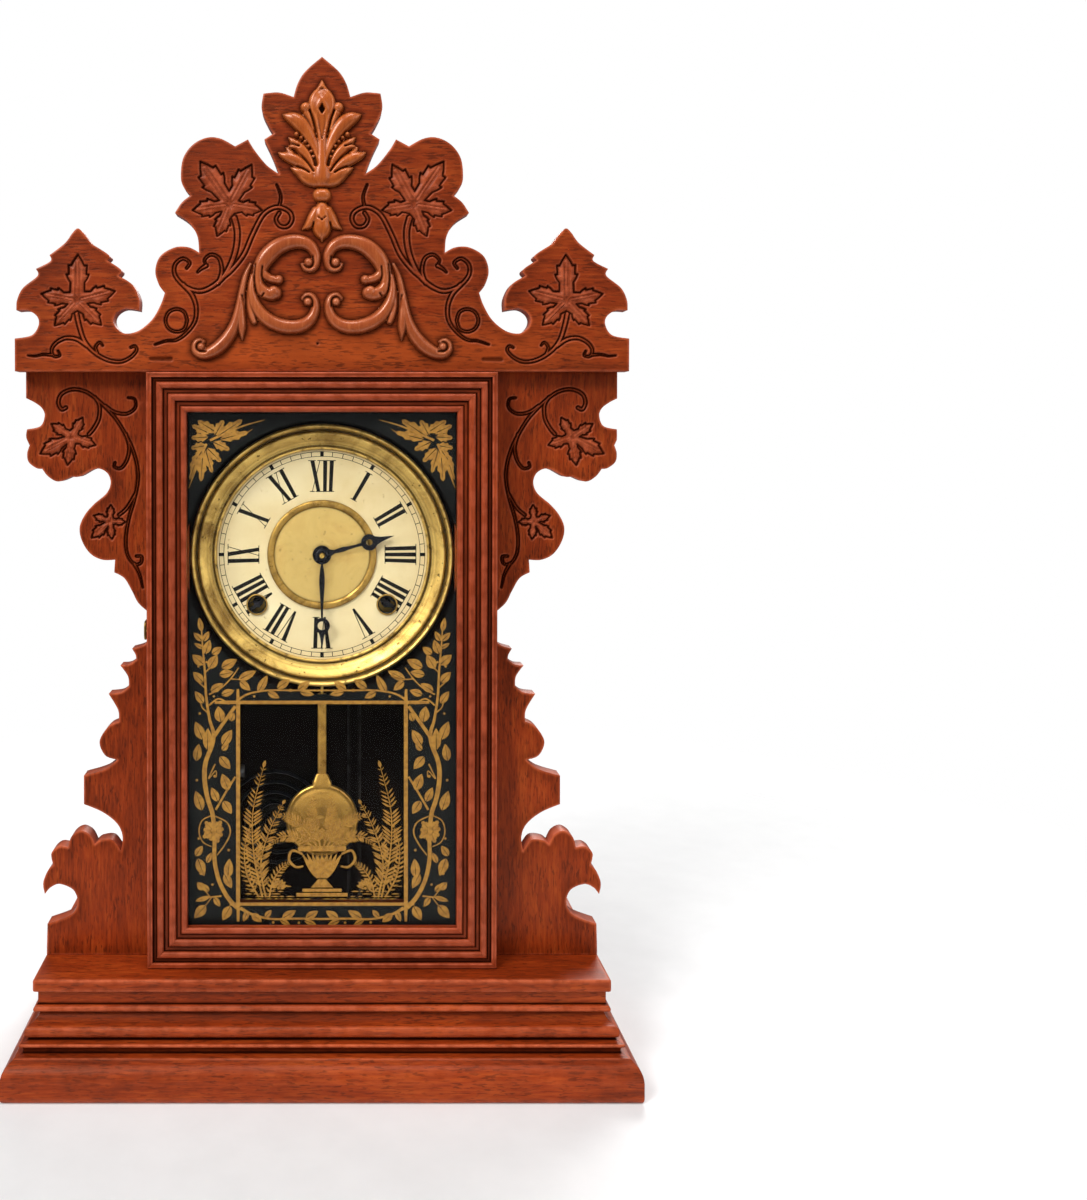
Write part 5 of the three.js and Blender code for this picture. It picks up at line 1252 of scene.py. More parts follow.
DOOR_FRONT, DOOR_BACK = DOOR_LOW[1], DOOR_HIGH[1]
FRAME_WIDTH = DOOR_HIGH[0] - DOOR_LOW[0]
EDGE_ROUND = 3.0
REBATE = 4.0
HINGE_X, HINGE_Y = DOOR_HALF - EDGE_ROUND, DOOR_BACK - EDGE_ROUND
DOOR_FOOT, DOOR_HEAD = low_high("door_bottom_rail")[0][2], low_high("door_top_rail")[1][2]


def door_section(hinge_side=False):
    """The frame's section: distance in from its outer edge, and y. Two beads lie between three grooves."""
    front, floor = DOOR_FRONT, DOOR_FRONT + 2.3
    glass = GLASS_LOW[1] - 0.1
    back = [(0, DOOR_BACK)]
    if hinge_side:
        back = [(EDGE_ROUND, DOOR_BACK), ((0.3, DOOR_BACK - 0.3), (0, DOOR_BACK - EDGE_ROUND))]
    return section(
        (FRAME_WIDTH - REBATE, DOOR_BACK), *back,
        (0, front + 0.5), (0.5, front), (2.9, front),
        (3.2, floor), (5.3, floor), (5.7, front + 1.2),
        ((6.1, front + 0.05), (7.6, front)), ((9.0, front + 0.05), (9.4, front + 1.3)),
        (9.6, floor), (12.3, floor), (12.6, front + 1.2),
        ((13.0, front), (14.6, front)), ((16.1, front), (16.6, front + 1.3)),
        (16.8, floor), (19.4, floor), (19.7, front + 1.9),
        ((20.1, front + 0.9), (21.3, front + 0.9)), ((22.5, front + 0.95), (FRAME_WIDTH, front + 2.0)),
        (FRAME_WIDTH, glass), (FRAME_WIDTH - REBATE, glass),
    )


def hinge_corner(x, y, z):
    """Rounds the corner that turns past the case at the hinge."""
    if x > HINGE_X and y > HINGE_Y:
        y = min(y, HINGE_Y + math.sqrt(max(EDGE_ROUND**2 - (x - HINGE_X) ** 2, 0)))
    return (x, y, z)


def door_frame():
    joint = 0.12
    for side, name in ((-1, "left"), (1, "right")):
        points = door_section(side > 0)
        stations = [
            lambda u, y, side=side: (side * (DOOR_HALF - u), y, DOOR_FOOT + u + joint),
            lambda u, y, side=side: (side * (DOOR_HALF - u), y, DOOR_HEAD - u - joint),
        ]
        bar(f"moulded_{name}_stile", points, stations, FRAME_Z, body="door",
            replaces=(f"door_{name}_stile",))
    for name, edge, up in (("bottom", DOOR_FOOT, 1), ("top", DOOR_HEAD, -1)):
        def at(share, edge=edge, up=up):
            def place(u, y):
                end = DOOR_HALF - u
                start = -end
                return hinge_corner(start + (end - start) * share, y, edge + up * u)
            return place
        stations = [at(share) for share in (0, 0.5, 0.9, 0.97, 0.985, 0.992, 0.996, 1.0)]
        bar(f"moulded_{name}_rail", door_section(), stations, FRAME_X, body="door",
            replaces=(f"door_{name}_rail",))


FOOT_HALF = FOOT_HIGH[0] + 0.1
FOOT_FRONT = FOOT_LOW[1]
MOULD_TOP = FOOT_HIGH[2]
FRONT_FLARE, SIDE_FLARE = BASE_LOW[1] - FOOT_LOW[1], FOOT_HALF - BASE_HIGH[0]


def foot_section():
    """The base moulding: setback from the foot's face, and height."""
    tall = MOULD_TOP / 53
    points = section(
        (22, 0), (2.6, 0), ((0, 0.2), (0, 3.6)), (0, 11.7),
        ((0.4, 17), (4.4, 19.4)), ((7.2, 20.6), (8, 21.4)), (13.6, 21.6),
        ((14.6, 24.4), (11, 26)), (11, 27.4), (16.6, 27.6), (16.8, 28.8),
        ((14.2, 29.4), (14.2, 32.2)), ((14.2, 35), (17, 35.3)), ((22.6, 36.2), (23.8, 40.8)),
        ((19.4, 41), (19.4, 43)), ((19.6, 44.8), (22.4, 45)), (22.4, 53), (32, 53), steps=8,
    )
    return [np.array((p[0], p[1] * tall)) for p in points]


def base_mouldings():
    flare = 19.0
    points = foot_section()

    def edge(u):
        return FOOT_HALF - u * SIDE_FLARE / flare, FOOT_FRONT + u * FRONT_FLARE / flare

    front = [
        lambda u, z: (-edge(u)[0] + 0.1, edge(u)[1], z),
        lambda u, z: (edge(u)[0] - 0.1, edge(u)[1], z),
    ]
    bar("moulded_base_front", points, front, FACE_X, replaces=("base_front_moulding",))
    for side, name in ((-1, "left"), (1, "right")):
        stations = [
            lambda u, z, side=side: (side * edge(u)[0], edge(u)[1] + 0.1, z),
            lambda u, z, side=side: (side * edge(u)[0], BASE_HIGH[1], z),
        ]
        made = bar(f"moulded_base_{name}", points, stations, (FACE_Y, EDGE_Z),
                   replaces=(f"base_{name}_moulding",))
        # The sawn end at the back is dull
        made.data.polygons[len(made.data.polygons) - 1].material_index = 1


door_frame()
base_mouldings()


# Flat boards with rubbed edges

def lines_across(low, high, radius, wide=14.0):
    """Where a board's surface is divided along one axis: closely at both ends, and widely between."""
    near = [0, radius * 0.3, radius, 1.6, 3.0, 6.0]
    near = [v for v in near if v < (high - low) / 2]
    middle = np.linspace(near[-1], high - low - near[-1],
                         max(2, int((high - low - 2 * near[-1]) / wide) + 1))
    values = sorted({round(v, 4) for v in [*near, *middle, *[high - low - v for v in near]]})
    return [low + v for v in values]


# How far wear and painted highlight reach from a board's edges
EDGE_WEAR = 2.2


def board(name, low, high, material_used, radius=0.7, shape=None, slots=None, edge_lightening=1.0, **settings):
    """A board with rounded edges, lightened for wear and as a painted highlight. A shape function may bend
    its points.
    """
    axes = [lines_across(a, b, radius) for a, b in zip(low, high)]
    index, verts, worn_and_lit, faces = {}, [], [], []

    def corner(key):
        if key not in index:
            index[key] = len(verts)
            p = np.array([axes[c][key[c]] for c in range(3)])
            inner = np.clip(p, np.array(low) + radius, np.array(high) - radius)
            out = p - inner
            size = np.linalg.norm(out)
            if size > 0:
                p = inner + out / size * radius
            apart = sorted(min(p[c] - low[c], high[c] - p[c]) for c in range(3))
            worn_and_lit.append(max(0.0, 1 - apart[1] / EDGE_WEAR))
            verts.append(tuple(p) if shape is None else shape(*p))
        return index[key]

    for axis in range(3):
        u, v = (axis + 1) % 3, (axis + 2) % 3
        for end in (0, len(axes[axis]) - 1):
            for i in range(len(axes[u]) - 1):
                for k in range(len(axes[v]) - 1):
                    ring = []
                    for di, dk in ((0, 0), (1, 0), (1, 1), (0, 1)):
                        key = [0, 0, 0]
                        key[axis], key[u], key[v] = end, i + di, k + dk
                        ring.append(corner(tuple(key)))
                    faces.append(tuple(ring if end else reversed(ring)))
    if slots is not None:
        slots = [slots(np.mean([verts[v] for v in face], 0)) for face in faces]
    worn_and_lit = np.array(worn_and_lit) * edge_lightening
    return piece(name, verts, faces, material_used, wear_and_highlight=worn_and_lit, dirt_and_shade=np.zeros(len(worn_and_lit)), slots=slots,
                 **settings)


# How near a face must lie to a board's side to take that side's material
SKIN = 0.6
# The brace behind the crest: its depth at its foot and its head, and its height
BRACE_DEEP, BRACE_HEAD, BRACE_TALL = 42.0, 6.0, 130.0


def case_boards():
    low, high = low_high("base_top_board")

    def edged(p, high=high):
        return 1 if p[1] > high[1] - SKIN else 0

    board("finished_base_board", low, high, (FACE_X, EDGE_X), 1.2, slots=edged,
          replaces=("base_top_board",))
    for side in ("left", "right"):
        low, high = low_high(f"case_{side}_side")
        outer = -1 if side == "left" else 1

        def faced(p, outer=outer, low=low, high=high):
            if p[1] > high[1] - SKIN:
                return 1
            return 2 if outer * p[0] < min(abs(low[0]), abs(high[0])) + 0.4 else 0

        # The case sides' inner faces take near-black wood as painted shade
        board(f"finished_case_{side}", low, high, (SIDE_Z, EDGE_Z, SHADE_BLACK_WOOD), 0.8, slots=faced,
              slot="case_wood", replaces=(f"case_{side}_side",))
        low, high = low_high(f"back_board_{side}")

        def backed(p, low=low):
            return 1 if p[1] < low[1] + 0.5 else 0

        # The back boards' inner faces take near-black wood as painted shade
        board(f"finished_back_{side}", low, high, (BACK_Z, SHADE_BLACK_WOOD), 0.6, slots=backed, edge_lightening=0.2,
              slot="case_wood", replaces=(f"back_board_{side}",))
    low, high = low_high("case_top")

    def topped(p, high=high):
        return 1 if p[1] > high[1] - SKIN or abs(p[0]) > high[0] - SKIN else 0

    board("finished_case_top", low, high, (RAW_X, EDGE_Z), 0.8, slots=topped, slot="raw_wood",
          replaces=("case_top",))
    low, high = low_high("crest_brace")

    def wedge(x, y, z):
        rise = (z - low[2]) / (high[2] - low[2])
        deep = (high[1] - low[1]) + (BRACE_HEAD - high[1] + low[1]) * rise
        return (x, low[1] + (y - low[1]) / (high[1] - low[1]) * deep, z)

    board("finished_brace", low, high, BRACE_Z, 0.8, shape=wedge, slot="raw_wood",
          replaces=("crest_brace",))


case_boards()

# Thin painted shapes

# Shapes that overlap lie at slightly different depths: the step between them, and how many there are
ASIDE, ASIDES = 0.0005, 31


def circle(x, z, radius, count=32):
    """Points round a circle."""
    angles = [TAU * n / count for n in range(count)]
    return [(x + radius * math.cos(a), z + radius * math.sin(a)) for a in angles]


class Sheet:
    """Flat shapes in x and z, each a thin closed slab between two depths."""

    def __init__(self, front, back):
        self.front, self.back = front, back
        self.verts, self.faces = [], []
        self.count = 0

    def shape(self, points, holes=()):
        """Adds a closed shape with its holes."""
        aside = ASIDE * (self.count % ASIDES)
        self.count += 1
        loops = [[tuple(p[:2]) for p in loop] for loop in (points, *holes)]
        for n, loop in enumerate(loops):
            area = sum(a[0] * b[1] - b[0] * a[1] for a, b in zip(loop, loop[1:] + loop[:1]))
            if (area < 0) != (n > 0):
                loop.reverse()
        first = len(self.verts)
        flat = [p for loop in loops for p in loop]
        count = len(flat)
        self.verts += [(x, y + aside, z) for y in (self.front, self.back) for x, z in flat]
        if holes:
            found = tessellate_polygon([[Vector((x, z, 0)) for x, z in loop] for loop in loops])
            tris = []
            for a, b, c in found:
                turn = (flat[b][0] - flat[a][0]) * (flat[c][1] - flat[a][1]) \
                    - (flat[b][1] - flat[a][1]) * (flat[c][0] - flat[a][0])
                tris.append((a, b, c) if turn > 0 else (a, c, b))
        else:
            tris = [tuple(range(count))]
        for tri in tris:
            self.faces.append(tuple(first + n for n in tri))
            self.faces.append(tuple(first + count + n for n in reversed(tri)))
        start = first
        for loop in loops:
            for n in range(len(loop)):
                a, b = start + n, start + (n + 1) % len(loop)
                self.faces.append((b, a, a + count, b + count))
            start += len(loop)

    def stroke(self, points, steps=5):
        """A stroke. Its points are x, z and half width."""
        line = spline(points, steps)
        left, right = [], []
        for n, p in enumerate(line):
            run = line[min(n + 1, len(line) - 1)][:2] - line[max(n - 1, 0)][:2]
            side = np.array((-run[1], run[0])) / max(np.hypot(*run), 1e-9) * p[2]
            left.append(p[:2] + side)
            right.append(p[:2] - side)
        self.shape(left + right[::-1])

    def ring(self, centre, outer, inner, count=48):
        self.shape(circle(*centre, outer, count), [circle(*centre, inner, count)])

    def disc(self, centre, radius, count=16):
        self.shape(circle(*centre, radius, count))

    def leaf(self, base, tip, width, vein=0.22, teeth=0):
        """A pointed leaf in two halves, with a bare vein between them."""
        base, tip = np.array(base[:2], float), np.array(tip[:2], float)
        axis = tip - base
        across = np.array((-axis[1], axis[0])) / max(np.hypot(*axis), 1e-9)
        stations = np.linspace(0, 1, 8)
        for side in (-1, 1):
            inner = [base + axis * u + across * side * vein * (1 - u) ** 0.7 for u in stations[:-1]]
            outer = []
            for n, u in enumerate(stations[1:-1]):
                reach = width / 2 * math.sin(math.pi * u**0.8) ** 0.9 + vein * 0.3
                if teeth:
                    reach *= 1.15 if n % 2 else 0.78
                outer.append(base + axis * (u + (0.05 if teeth and n % 2 else 0)) + across * side * reach)
            self.shape(inner + [tip] + outer[::-1])

    def made(self, name, material_used, **settings):
        return piece(name, self.verts, self.faces, material_used, sharp=20, **settings)


# The painted glass. Its ground is black, with a round clearing for the dial and a window for the pendulum.

GROUND_FRONT = GLASS_HIGH[1] + 0.045
CLEARING = 80.2
WINDOW_HALF, WINDOW_FOOT, WINDOW_HEAD = 49.5, 95.0, 214.5
FIELD_LEFT, FIELD_HEAD = -82.0, 274.6
VINE_SQUARE = 1.258


def on_glass(u, v, *rest):
    """A point of the left half's design, in squares from the upper left corner of the lower field."""
    return (FIELD_LEFT + VINE_SQUARE * u, FIELD_HEAD - VINE_SQUARE * v, *rest)


# Points of the border's stems, in squares, with half widths in millimetres
BORDER_STEMS = [
    [(25.5, 144.5, 1.3), (21, 139.5, 1.25), (17, 131.5, 1.2), (15, 122, 1.2), (15, 112, 1.15),
     (14.2, 101, 1.25), (11.8, 93, 1.3), (10.4, 84, 1.35), (11, 76, 1.3), (14, 68, 1.2),
     (14.6, 62.5, 1.1), (12.8, 56, 0.8), (11.2, 45, 0.7), (10.6, 33, 0.6), (9.6, 22, 0.45), (9.0, 12, 0.3)],
    [(24.8, 50, 0.95), (19.5, 57.5, 1.0), (14.6, 64.5, 1.1)],
    [(24.8, 83, 0.6), (20.5, 90, 0.6), (15.6, 98.5, 0.65)],
    [(15.4, 77, 0.4), (12.2, 84, 0.35), (15.6, 80.2, 0.3), (15.9, 83.2, 0.3)],
    [(22, 49, 0.5), (17, 46.5, 0.45), (12.6, 49.6, 0.5)],
    [(12, 53, 0.4), (9.4, 50.6, 0.35), (8.4, 47.2, 0.3)],
    [(11.4, 42, 0.4), (8.0, 39, 0.35)],
    [(11.0, 34, 0.4), (14.2, 31.0, 0.35)],
    [(12.6, 44.5, 0.45), (18, 41.6, 0.4), (22.6, 37.2, 0.4), (26.4, 32, 0.3)],
    [(22.6, 37.2, 0.35), (27.5, 37.4, 0.3), (33, 36, 0.25)],
    [(15.4, 101.5, 0.35), (20.8, 104.4, 0.4), (22.4, 109.2, 0.4), (20, 114.6, 0.4), (16.2, 119.8, 0.35)],
    [(13.6, 101.2, 0.35), (9.2, 103.6, 0.35), (7.8, 108.8, 0.35), (9.6, 113.6, 0.35), (13.6, 115.8, 0.3)],
    [(18.2, 139, 0.5), (13, 139.6, 0.45), (7, 140.4, 0.35)],
    [(13, 139.6, 0.3), (10.2, 136, 0.3)],
    [(13.4, 140, 0.3), (10.8, 143.4, 0.3)],
    [(27, 144.6, 1.0), (33, 147.8, 0.7), (42, 149.8, 0.6), (52, 149.6, 0.6), (65.4, 149.8, 0.6)],
    [(25.6, 47.4, 0.7), (31, 44.2, 0.55), (40, 42.6, 0.5), (52, 42.6, 0.45), (65.4, 42.6, 0.5)],
]

# Its leaves, in squares: base, tip and width
BORDER_LEAVES = [
    ((9.2, 15), (8, 8.6), 3.2), ((9.4, 19.5), (5.4, 15.6), 3.4), ((10, 19.6), (12.6, 15), 3.4),
    ((9.8, 23), (5.8, 20.6), 2.4), ((10.8, 25.5), (13, 19), 4.6), ((14, 25.6), (18.4, 22.4), 4.2),
    ((10.2, 30.6), (4.8, 26), 5.4), ((12.6, 32.4), (16.4, 26), 5.8), ((18.4, 32), (25.6, 28.2), 5.6),
    ((17.4, 35.4), (24, 34), 4.8), ((9.8, 38.8), (5.2, 34), 4.8), ((26.4, 37.6), (34.6, 33.4), 4.8),
    ((27, 38.4), (31.8, 42.6), 4.4), ((13.4, 43), (19.2, 39.4), 4.6), ((18.4, 44.6), (24.4, 42.6), 4.2),
    ((10, 48.6), (6, 43), 4.4), ((18, 57.4), (16.8, 50), 6.0), ((22.6, 57), (24.2, 53), 3.4),
    ((9.6, 65.6), (6.2, 57.2), 5.8), ((11.8, 70.4), (12, 60.2), 5.4), ((18.8, 68.2), (23.2, 61), 5.6),
    ((18.6, 70.6), (21.6, 67.4), 3.4), ((6.6, 75.6), (7.8, 67.6), 5.0), ((17.6, 73.6), (22.4, 79.4), 5.4),
    ((21.6, 89.4), (18.6, 81.6), 5.8), ((16.6, 94.6), (13.6, 88), 4.6), ((9.2, 98.8), (6.2, 89.6), 5.8),
    ((19.2, 94.4), (23, 100.4), 5.2), ((6.2, 120.2), (9.4, 115.4), 4.2), ((7.2, 121.4), (10.2, 129.6), 5.6),
    ((21.2, 130.4), (22, 121.4), 5.4), ((19.6, 128.6), (23, 135.4), 4.8),
    ((11.4, 123.4), (13.6, 118.6), 3.2), ((10.2, 136), (6.8, 132.6), 4.4),
    ((12.4, 136.8), (8.8, 133.2), 3.4), ((10.8, 143.4), (5.6, 149.4), 5.8),
    ((14.8, 139.8), (17.6, 144), 3.4), ((22.4, 143.8), (18.8, 150.4), 5.4),
    ((12.6, 139.4), (6, 141.4), 2.8), ((35.4, 43.6), (39.8, 35.4), 4.6),
    ((44.4, 41.6), (50.4, 37.4), 4.6), ((40, 43.4), (45.4, 46.2), 3.8), ((54, 42.4), (59.6, 38.4), 4.4),
    ((55, 43.4), (61.6, 44.6), 3.4), ((30.6, 146), (28.4, 151), 3.4), ((32.4, 147.4), (37, 151.2), 4.4),
    ((46.6, 149.6), (53, 145.8), 4.6), ((45.6, 150), (50.6, 153), 3.0), ((57.6, 149.6), (63.4, 146), 4.4),
    ((38.6, 149), (41.6, 145.6), 3.2), ((57, 150.4), (62.6, 152.6), 3.0),
]
BORDER_BERRIES = [
    (12.4, 22.6, 0.8), (11.4, 29.4, 0.7), (7.6, 31.4, 0.7), (8.2, 53.4, 0.7), (14.8, 45.4, 0.7),
    (20.6, 63.6, 0.8), (6.8, 84.6, 0.8), (15.2, 82.8, 0.9), (20.6, 84.6, 0.7), (7.6, 112, 0.7),
    (21.6, 117.4, 0.8), (14, 133.6, 0.7), (33.6, 45.4, 0.7), (50.6, 42.6, 1.0), (42.4, 151.4, 0.8),
    (54.4, 151.6, 0.8), (8.6, 128.4, 0.9),
]
# The flowers in the border's rings, and the strokes of the square frame
BORDER_FLOWER = (14.6, 108.4, 8.2)
FRAME_BARS = [
    [(15.2, 48.2, 0.75), (20, 48.2, 1.0), (65.4, 48.2, 1.0)],
    [(26.0, 42, 0.7), (26.1, 50, 1.15), (26.0, 142, 1.15), (26.0, 151, 0.7)],
    [(22, 142.8, 0.9), (65.4, 142.8, 1.05)],
]


def both_sides(points):
    yield points
    yield [(-p[0], *p[1:]) for p in points]


def border(sheet):
    for stem in BORDER_STEMS:
        for points in both_sides([on_glass(*p) for p in stem]):
            sheet.stroke(points)
    for base, tip, width in BORDER_LEAVES:
        for a, b in both_sides([on_glass(*base), on_glass(*tip)]):
            sheet.leaf(a, b, width)
    for x, z, radius in BORDER_BERRIES:
        for spot, in both_sides([on_glass(x, z)]):
            sheet.disc(spot, radius, 8)
    for points in FRAME_BARS:
        for line in both_sides([on_glass(*p) for p in points]):
            sheet.stroke(line, 1)
    x, z, size = BORDER_FLOWER
    for spot, in both_sides([on_glass(x, z)]):
        for n in range(9):
            angle = TAU * (n + 0.3) / 9
            way = np.array((math.cos(angle), math.sin(angle)))
            sheet.leaf(spot + way * 1.5, spot + way * size * (0.92 if n % 2 else 0.74), 4.2, 0.12, teeth=1)
        sheet.ring(spot, 1.5, 0.8, 12)


# Sprays of toothed leaves in the upper corners: base and tip from the glass's corner, and width
SPRAY = [
    ((18, -8.5), (7, -1.5), 7), ((17, -10), (22, -1.2), 6.6), ((18, -11), (33, -1.0), 7.4),
    ((20, -12.5), (36.5, -8.2), 6.4), ((14, -9), (3.6, -4.2), 6.2), ((13, -11), (3.2, -11.5), 6.0),
    ((16, -14), (25.5, -18.5), 6.4), ((12, -16), (3.0, -17.5), 5.8), ((12.5, -17.5), (20.5, -25.5), 6.2),
    ((10.5, -18), (2.6, -28.5), 6.0), ((10, -19), (8.8, -37), 6.6), ((11.5, -18.5), (15.4, -32), 5.2),
    ((7.5, -20), (2.2, -36), 4.2),
]
SPRAY_STEMS = [
    [(14, -13, 0.7), (24, -8.6, 0.6), (34, -4.4, 0.45), (46, -1.0, 0.15)],
    [(12, -15, 0.7), (8.2, -24, 0.6), (4.6, -33, 0.45), (1.6, -41, 0.15)],
    [(22, -10, 0.4), (33, -9.4, 0.35), (39, -6.4, 0.12)],
]
SPRAY_CORNER = (-79.5, 380.5)


def sprays(sheet):
    x0, z0 = SPRAY_CORNER
    for base, tip, width in SPRAY:
        for a, b in both_sides([(x0 + base[0], z0 + base[1]), (x0 + tip[0], z0 + tip[1])]):
            sheet.leaf(a, b, width * 0.8, 0.3, teeth=1)
    for stem in SPRAY_STEMS:
        for points in both_sides([(x0 + p[0], z0 + p[1], p[2]) for p in stem]):
            sheet.stroke(points)


def frond(sheet, spine, leaflets, length, width):
    """A fern's frond: a spine with pairs of leaflets that shorten towards its tip."""
    sheet.stroke([(*p, 0.55 - 0.4 * n / (len(spine) - 1)) for n, p in enumerate(spine)])
    line = spline(spine, 12)
    for n in range(leaflets):
        share = 0.14 + 0.84 * n / leaflets
        at = line[int(share * (len(line) - 1))]
        ahead = line[min(int(share * (len(line) - 1)) + 1, len(line) - 1)]
        run = (ahead - at) / max(np.hypot(*(ahead - at)), 1e-9)
        size = length * math.sin(math.pi * min(1, share * 0.72 + 0.24)) ** 0.8
        for side in (-1, 1):
            out = np.array((-run[1], run[0])) * side
            tip = at + (out * 0.80 + run * 0.62) * size * random.uniform(0.9, 1.08)
            sheet.leaf(at + out * 0.25, tip, 0.72 * width * size / length, 0.05)
    sheet.leaf(line[-2], line[-1] + (line[-1] - line[-3]), width, 0.05)


# The window's own motif: an urn on steps, with ferns, and a fringe of dashes below
URN = [
    [(-15, 99.4), (15, 99.4), (15, 101.6), (-15, 101.6)],
    [(-11.5, 102.3), (11.5, 102.3), (11.5, 104.1), (-11.5, 104.1)],
    [(-6.5, 104.8), (6.5, 104.8), (4.2, 107.4), (2.4, 109.6), (-2.4, 109.6), (-4.2, 107.4)],
    [(-13.5, 126.2), (13.5, 126.2), (14.4, 127.7), (13.6, 129.2), (-13.6, 129.2), (-14.4, 127.7)],
]
URN_HANDLE = [(-11.6, 124.6, 0.6), (-17.4, 126.6, 0.7), (-19.4, 121.4, 0.75), (-15.6, 117.0, 0.7),
              (-11.0, 117.4, 0.5)]
FERNS = [
    ([(-1, 129), (-3.5, 139), (-6, 149), (-5, 158)], 13, 5.2, 1.7),
    ([(-3, 129), (-9, 138), (-17, 145), (-25, 147.5)], 14, 5.6, 1.8),
    ([(-5, 129), (-14, 134), (-23, 135), (-30.5, 130.5)], 13, 5.0, 1.7),
    ([(-35, 99), (-40, 124), (-40.5, 150), (-34, 177)], 24, 7.6, 1.9),
    ([(-33, 99), (-36, 118), (-31, 138), (-22.5, 155)], 20, 6.4, 1.8),
    ([(-37, 99), (-44, 112), (-45.5, 128), (-42, 141)], 15, 4.2, 1.5),
    ([(-31, 99), (-29, 108), (-24, 116), (-19, 119.5)], 10, 4.2, 1.5),
]


# The fringe's rows of dashes, which leave the urn's steps free, and the two half rosettes
FRINGE_ROWS, FRINGE_FOOT, FRINGE_STEP = 6, 97.9, 1.5
FRINGE_HALF, STEPS_HALF = 45.0, 17.5
ROSETTE_X, ROSETTE_Z, ROSETTE_PETALS = 25.5, 104.8, 7


def urn(sheet):
    for points in URN:
        sheet.shape(points)
    for n in range(-4, 5):
        a, b = n * 2.9, n * 1.15
        sheet.leaf((b * 0.6, 109.9), (a * 1.02, 125.6 - 0.12 * abs(n)), 2.7, 0.0)
    for points in both_sides(URN_HANDLE):
        sheet.stroke(points)
    for spine, leaflets, length, width in FERNS:
        for points in both_sides(spine):
            frond(sheet, points, leaflets, length, width)


def fringe(sheet):
    for row in range(FRINGE_ROWS):
        z = FRINGE_FOOT + FRINGE_STEP * row
        x = -FRINGE_HALF
        while x < FRINGE_HALF - 0.5:
            run = random.uniform(1.5, 6.5)
            free = abs(x + run / 2) > STEPS_HALF or row == 0
            if free and random.random() < 0.86 - 0.1 * row:
                end = min(x + run, FRINGE_HALF + 0.5)
                sheet.stroke([(x, z, 0.1), (x + run / 2, z + 0.15, 0.36), (end, z, 0.1)], 3)
            x += run + random.uniform(0.5, 1.6)


def rosettes(sheet):
    for side in (-1, 1):
        centre = np.array((side * ROSETTE_X, ROSETTE_Z))
        for n in range(ROSETTE_PETALS):
            angle = math.pi * (n + 0.5) / ROSETTE_PETALS
            way = np.array((math.cos(angle), math.sin(angle)))
            sheet.leaf(centre + way * 0.9, centre + way * 5.4, 2.2, 0.08)
        sheet.disc((side * ROSETTE_X, ROSETTE_Z - 0.4), 0.9, 10)


def gilding():
    sheet = Sheet(GLASS_HIGH[1] + 0.012, GLASS_HIGH[1] + 0.035)
    border(sheet)
    sprays(sheet)
    urn(sheet)
    fringe(sheet)
    rosettes(sheet)
    sheet.made("glass_gilding", GOLD, body="door", slot="glass")


def ground():
    sheet = Sheet(GROUND_FRONT, GROUND_FRONT + 0.03)
    inset = 0.3
    low, high = GLASS_LOW, GLASS_HIGH
    outer = [(low[0] + inset, low[2] + inset), (high[0] - inset, low[2] + inset),
             (high[0] - inset, high[2] - inset), (low[0] + inset, high[2] - inset)]
    window = [(-WINDOW_HALF, WINDOW_FOOT), (WINDOW_HALF, WINDOW_FOOT), (WINDOW_HALF, WINDOW_HEAD),
              (-WINDOW_HALF, WINDOW_HEAD)]
    sheet.shape(outer, [circle(0, DIAL_Z, CLEARING, 160), window])
    sheet.made("glass_ground", BLACK, body="door", slot="glass")


def glazing():
    low, high = GLASS_LOW, GLASS_HIGH
    board("old_glass", low, high, GLASS, 0.15, body="door", slot="glass", replaces=("door_glass",))
    gilding()
    ground()


glazing()


# The dial

def turned(name, profile, centre_x, centre_z, material_used, steps=160, dents=0.0, specks=0.0, hollow_shade=1.0,
           **settings):
    """A turned piece: a closed profile of radius and y, spun round a line along y.

    Specks is the share of its round whose proud edges are dirty. A factor deepens the painted shade and
    dirt in its hollows."""
    points = evenly(rubbed([np.array(p, float) for p in profile], 0.25), 0.5)
    dirt_and_shade, wear_and_highlight = hollows(points, 1.2)
    dirt_and_shade = np.minimum(np.array(dirt_and_shade) * hollow_shade, 1)
    rng = np.random.default_rng(11)
    wobble = rng.normal(0, dents, (steps, len(points)))
    verts, faces = [], []
    for s in range(steps):
        angle = TAU * s / steps
        for n, (radius, y) in enumerate(points):
            reach = radius + wobble[s, n] * wear_and_highlight[n]
            verts.append((centre_x + reach * math.cos(angle), y, centre_z + reach * math.sin(angle)))
    count = len(points)
    for s in range(steps):
        t = (s + 1) % steps
        for n in range(count):
            m = (n + 1) % count
            faces.append((s * count + n, s * count + m, t * count + m, t * count + n))
    dull = np.where(rng.random(steps) < specks, 0.9, 0.0)
    dirt_and_shade = np.maximum(dirt_and_shade[None, :], dull[:, None] * np.array(wear_and_highlight)[None, :])
    made = piece(name, verts, faces, material_used, dirt_and_shade=dirt_and_shade.ravel(), wear_and_highlight=list(wear_and_highlight) * steps, **settings)
    outwards(made)
    return made


def second_material(made, centre, inner, outer):
    """Gives the faces between two radii their piece's second material."""
    for face in made.data.polygons:
        middle = face.center / MM
        if inner < math.hypot(middle[0] - centre[0], middle[2] - centre[1]) < outer:
            face.material_index = 1


PAN_RADIUS = PAN_HIGH[0]
PAN_CROWN = PAN_LOW[1]
LIP = 63.0


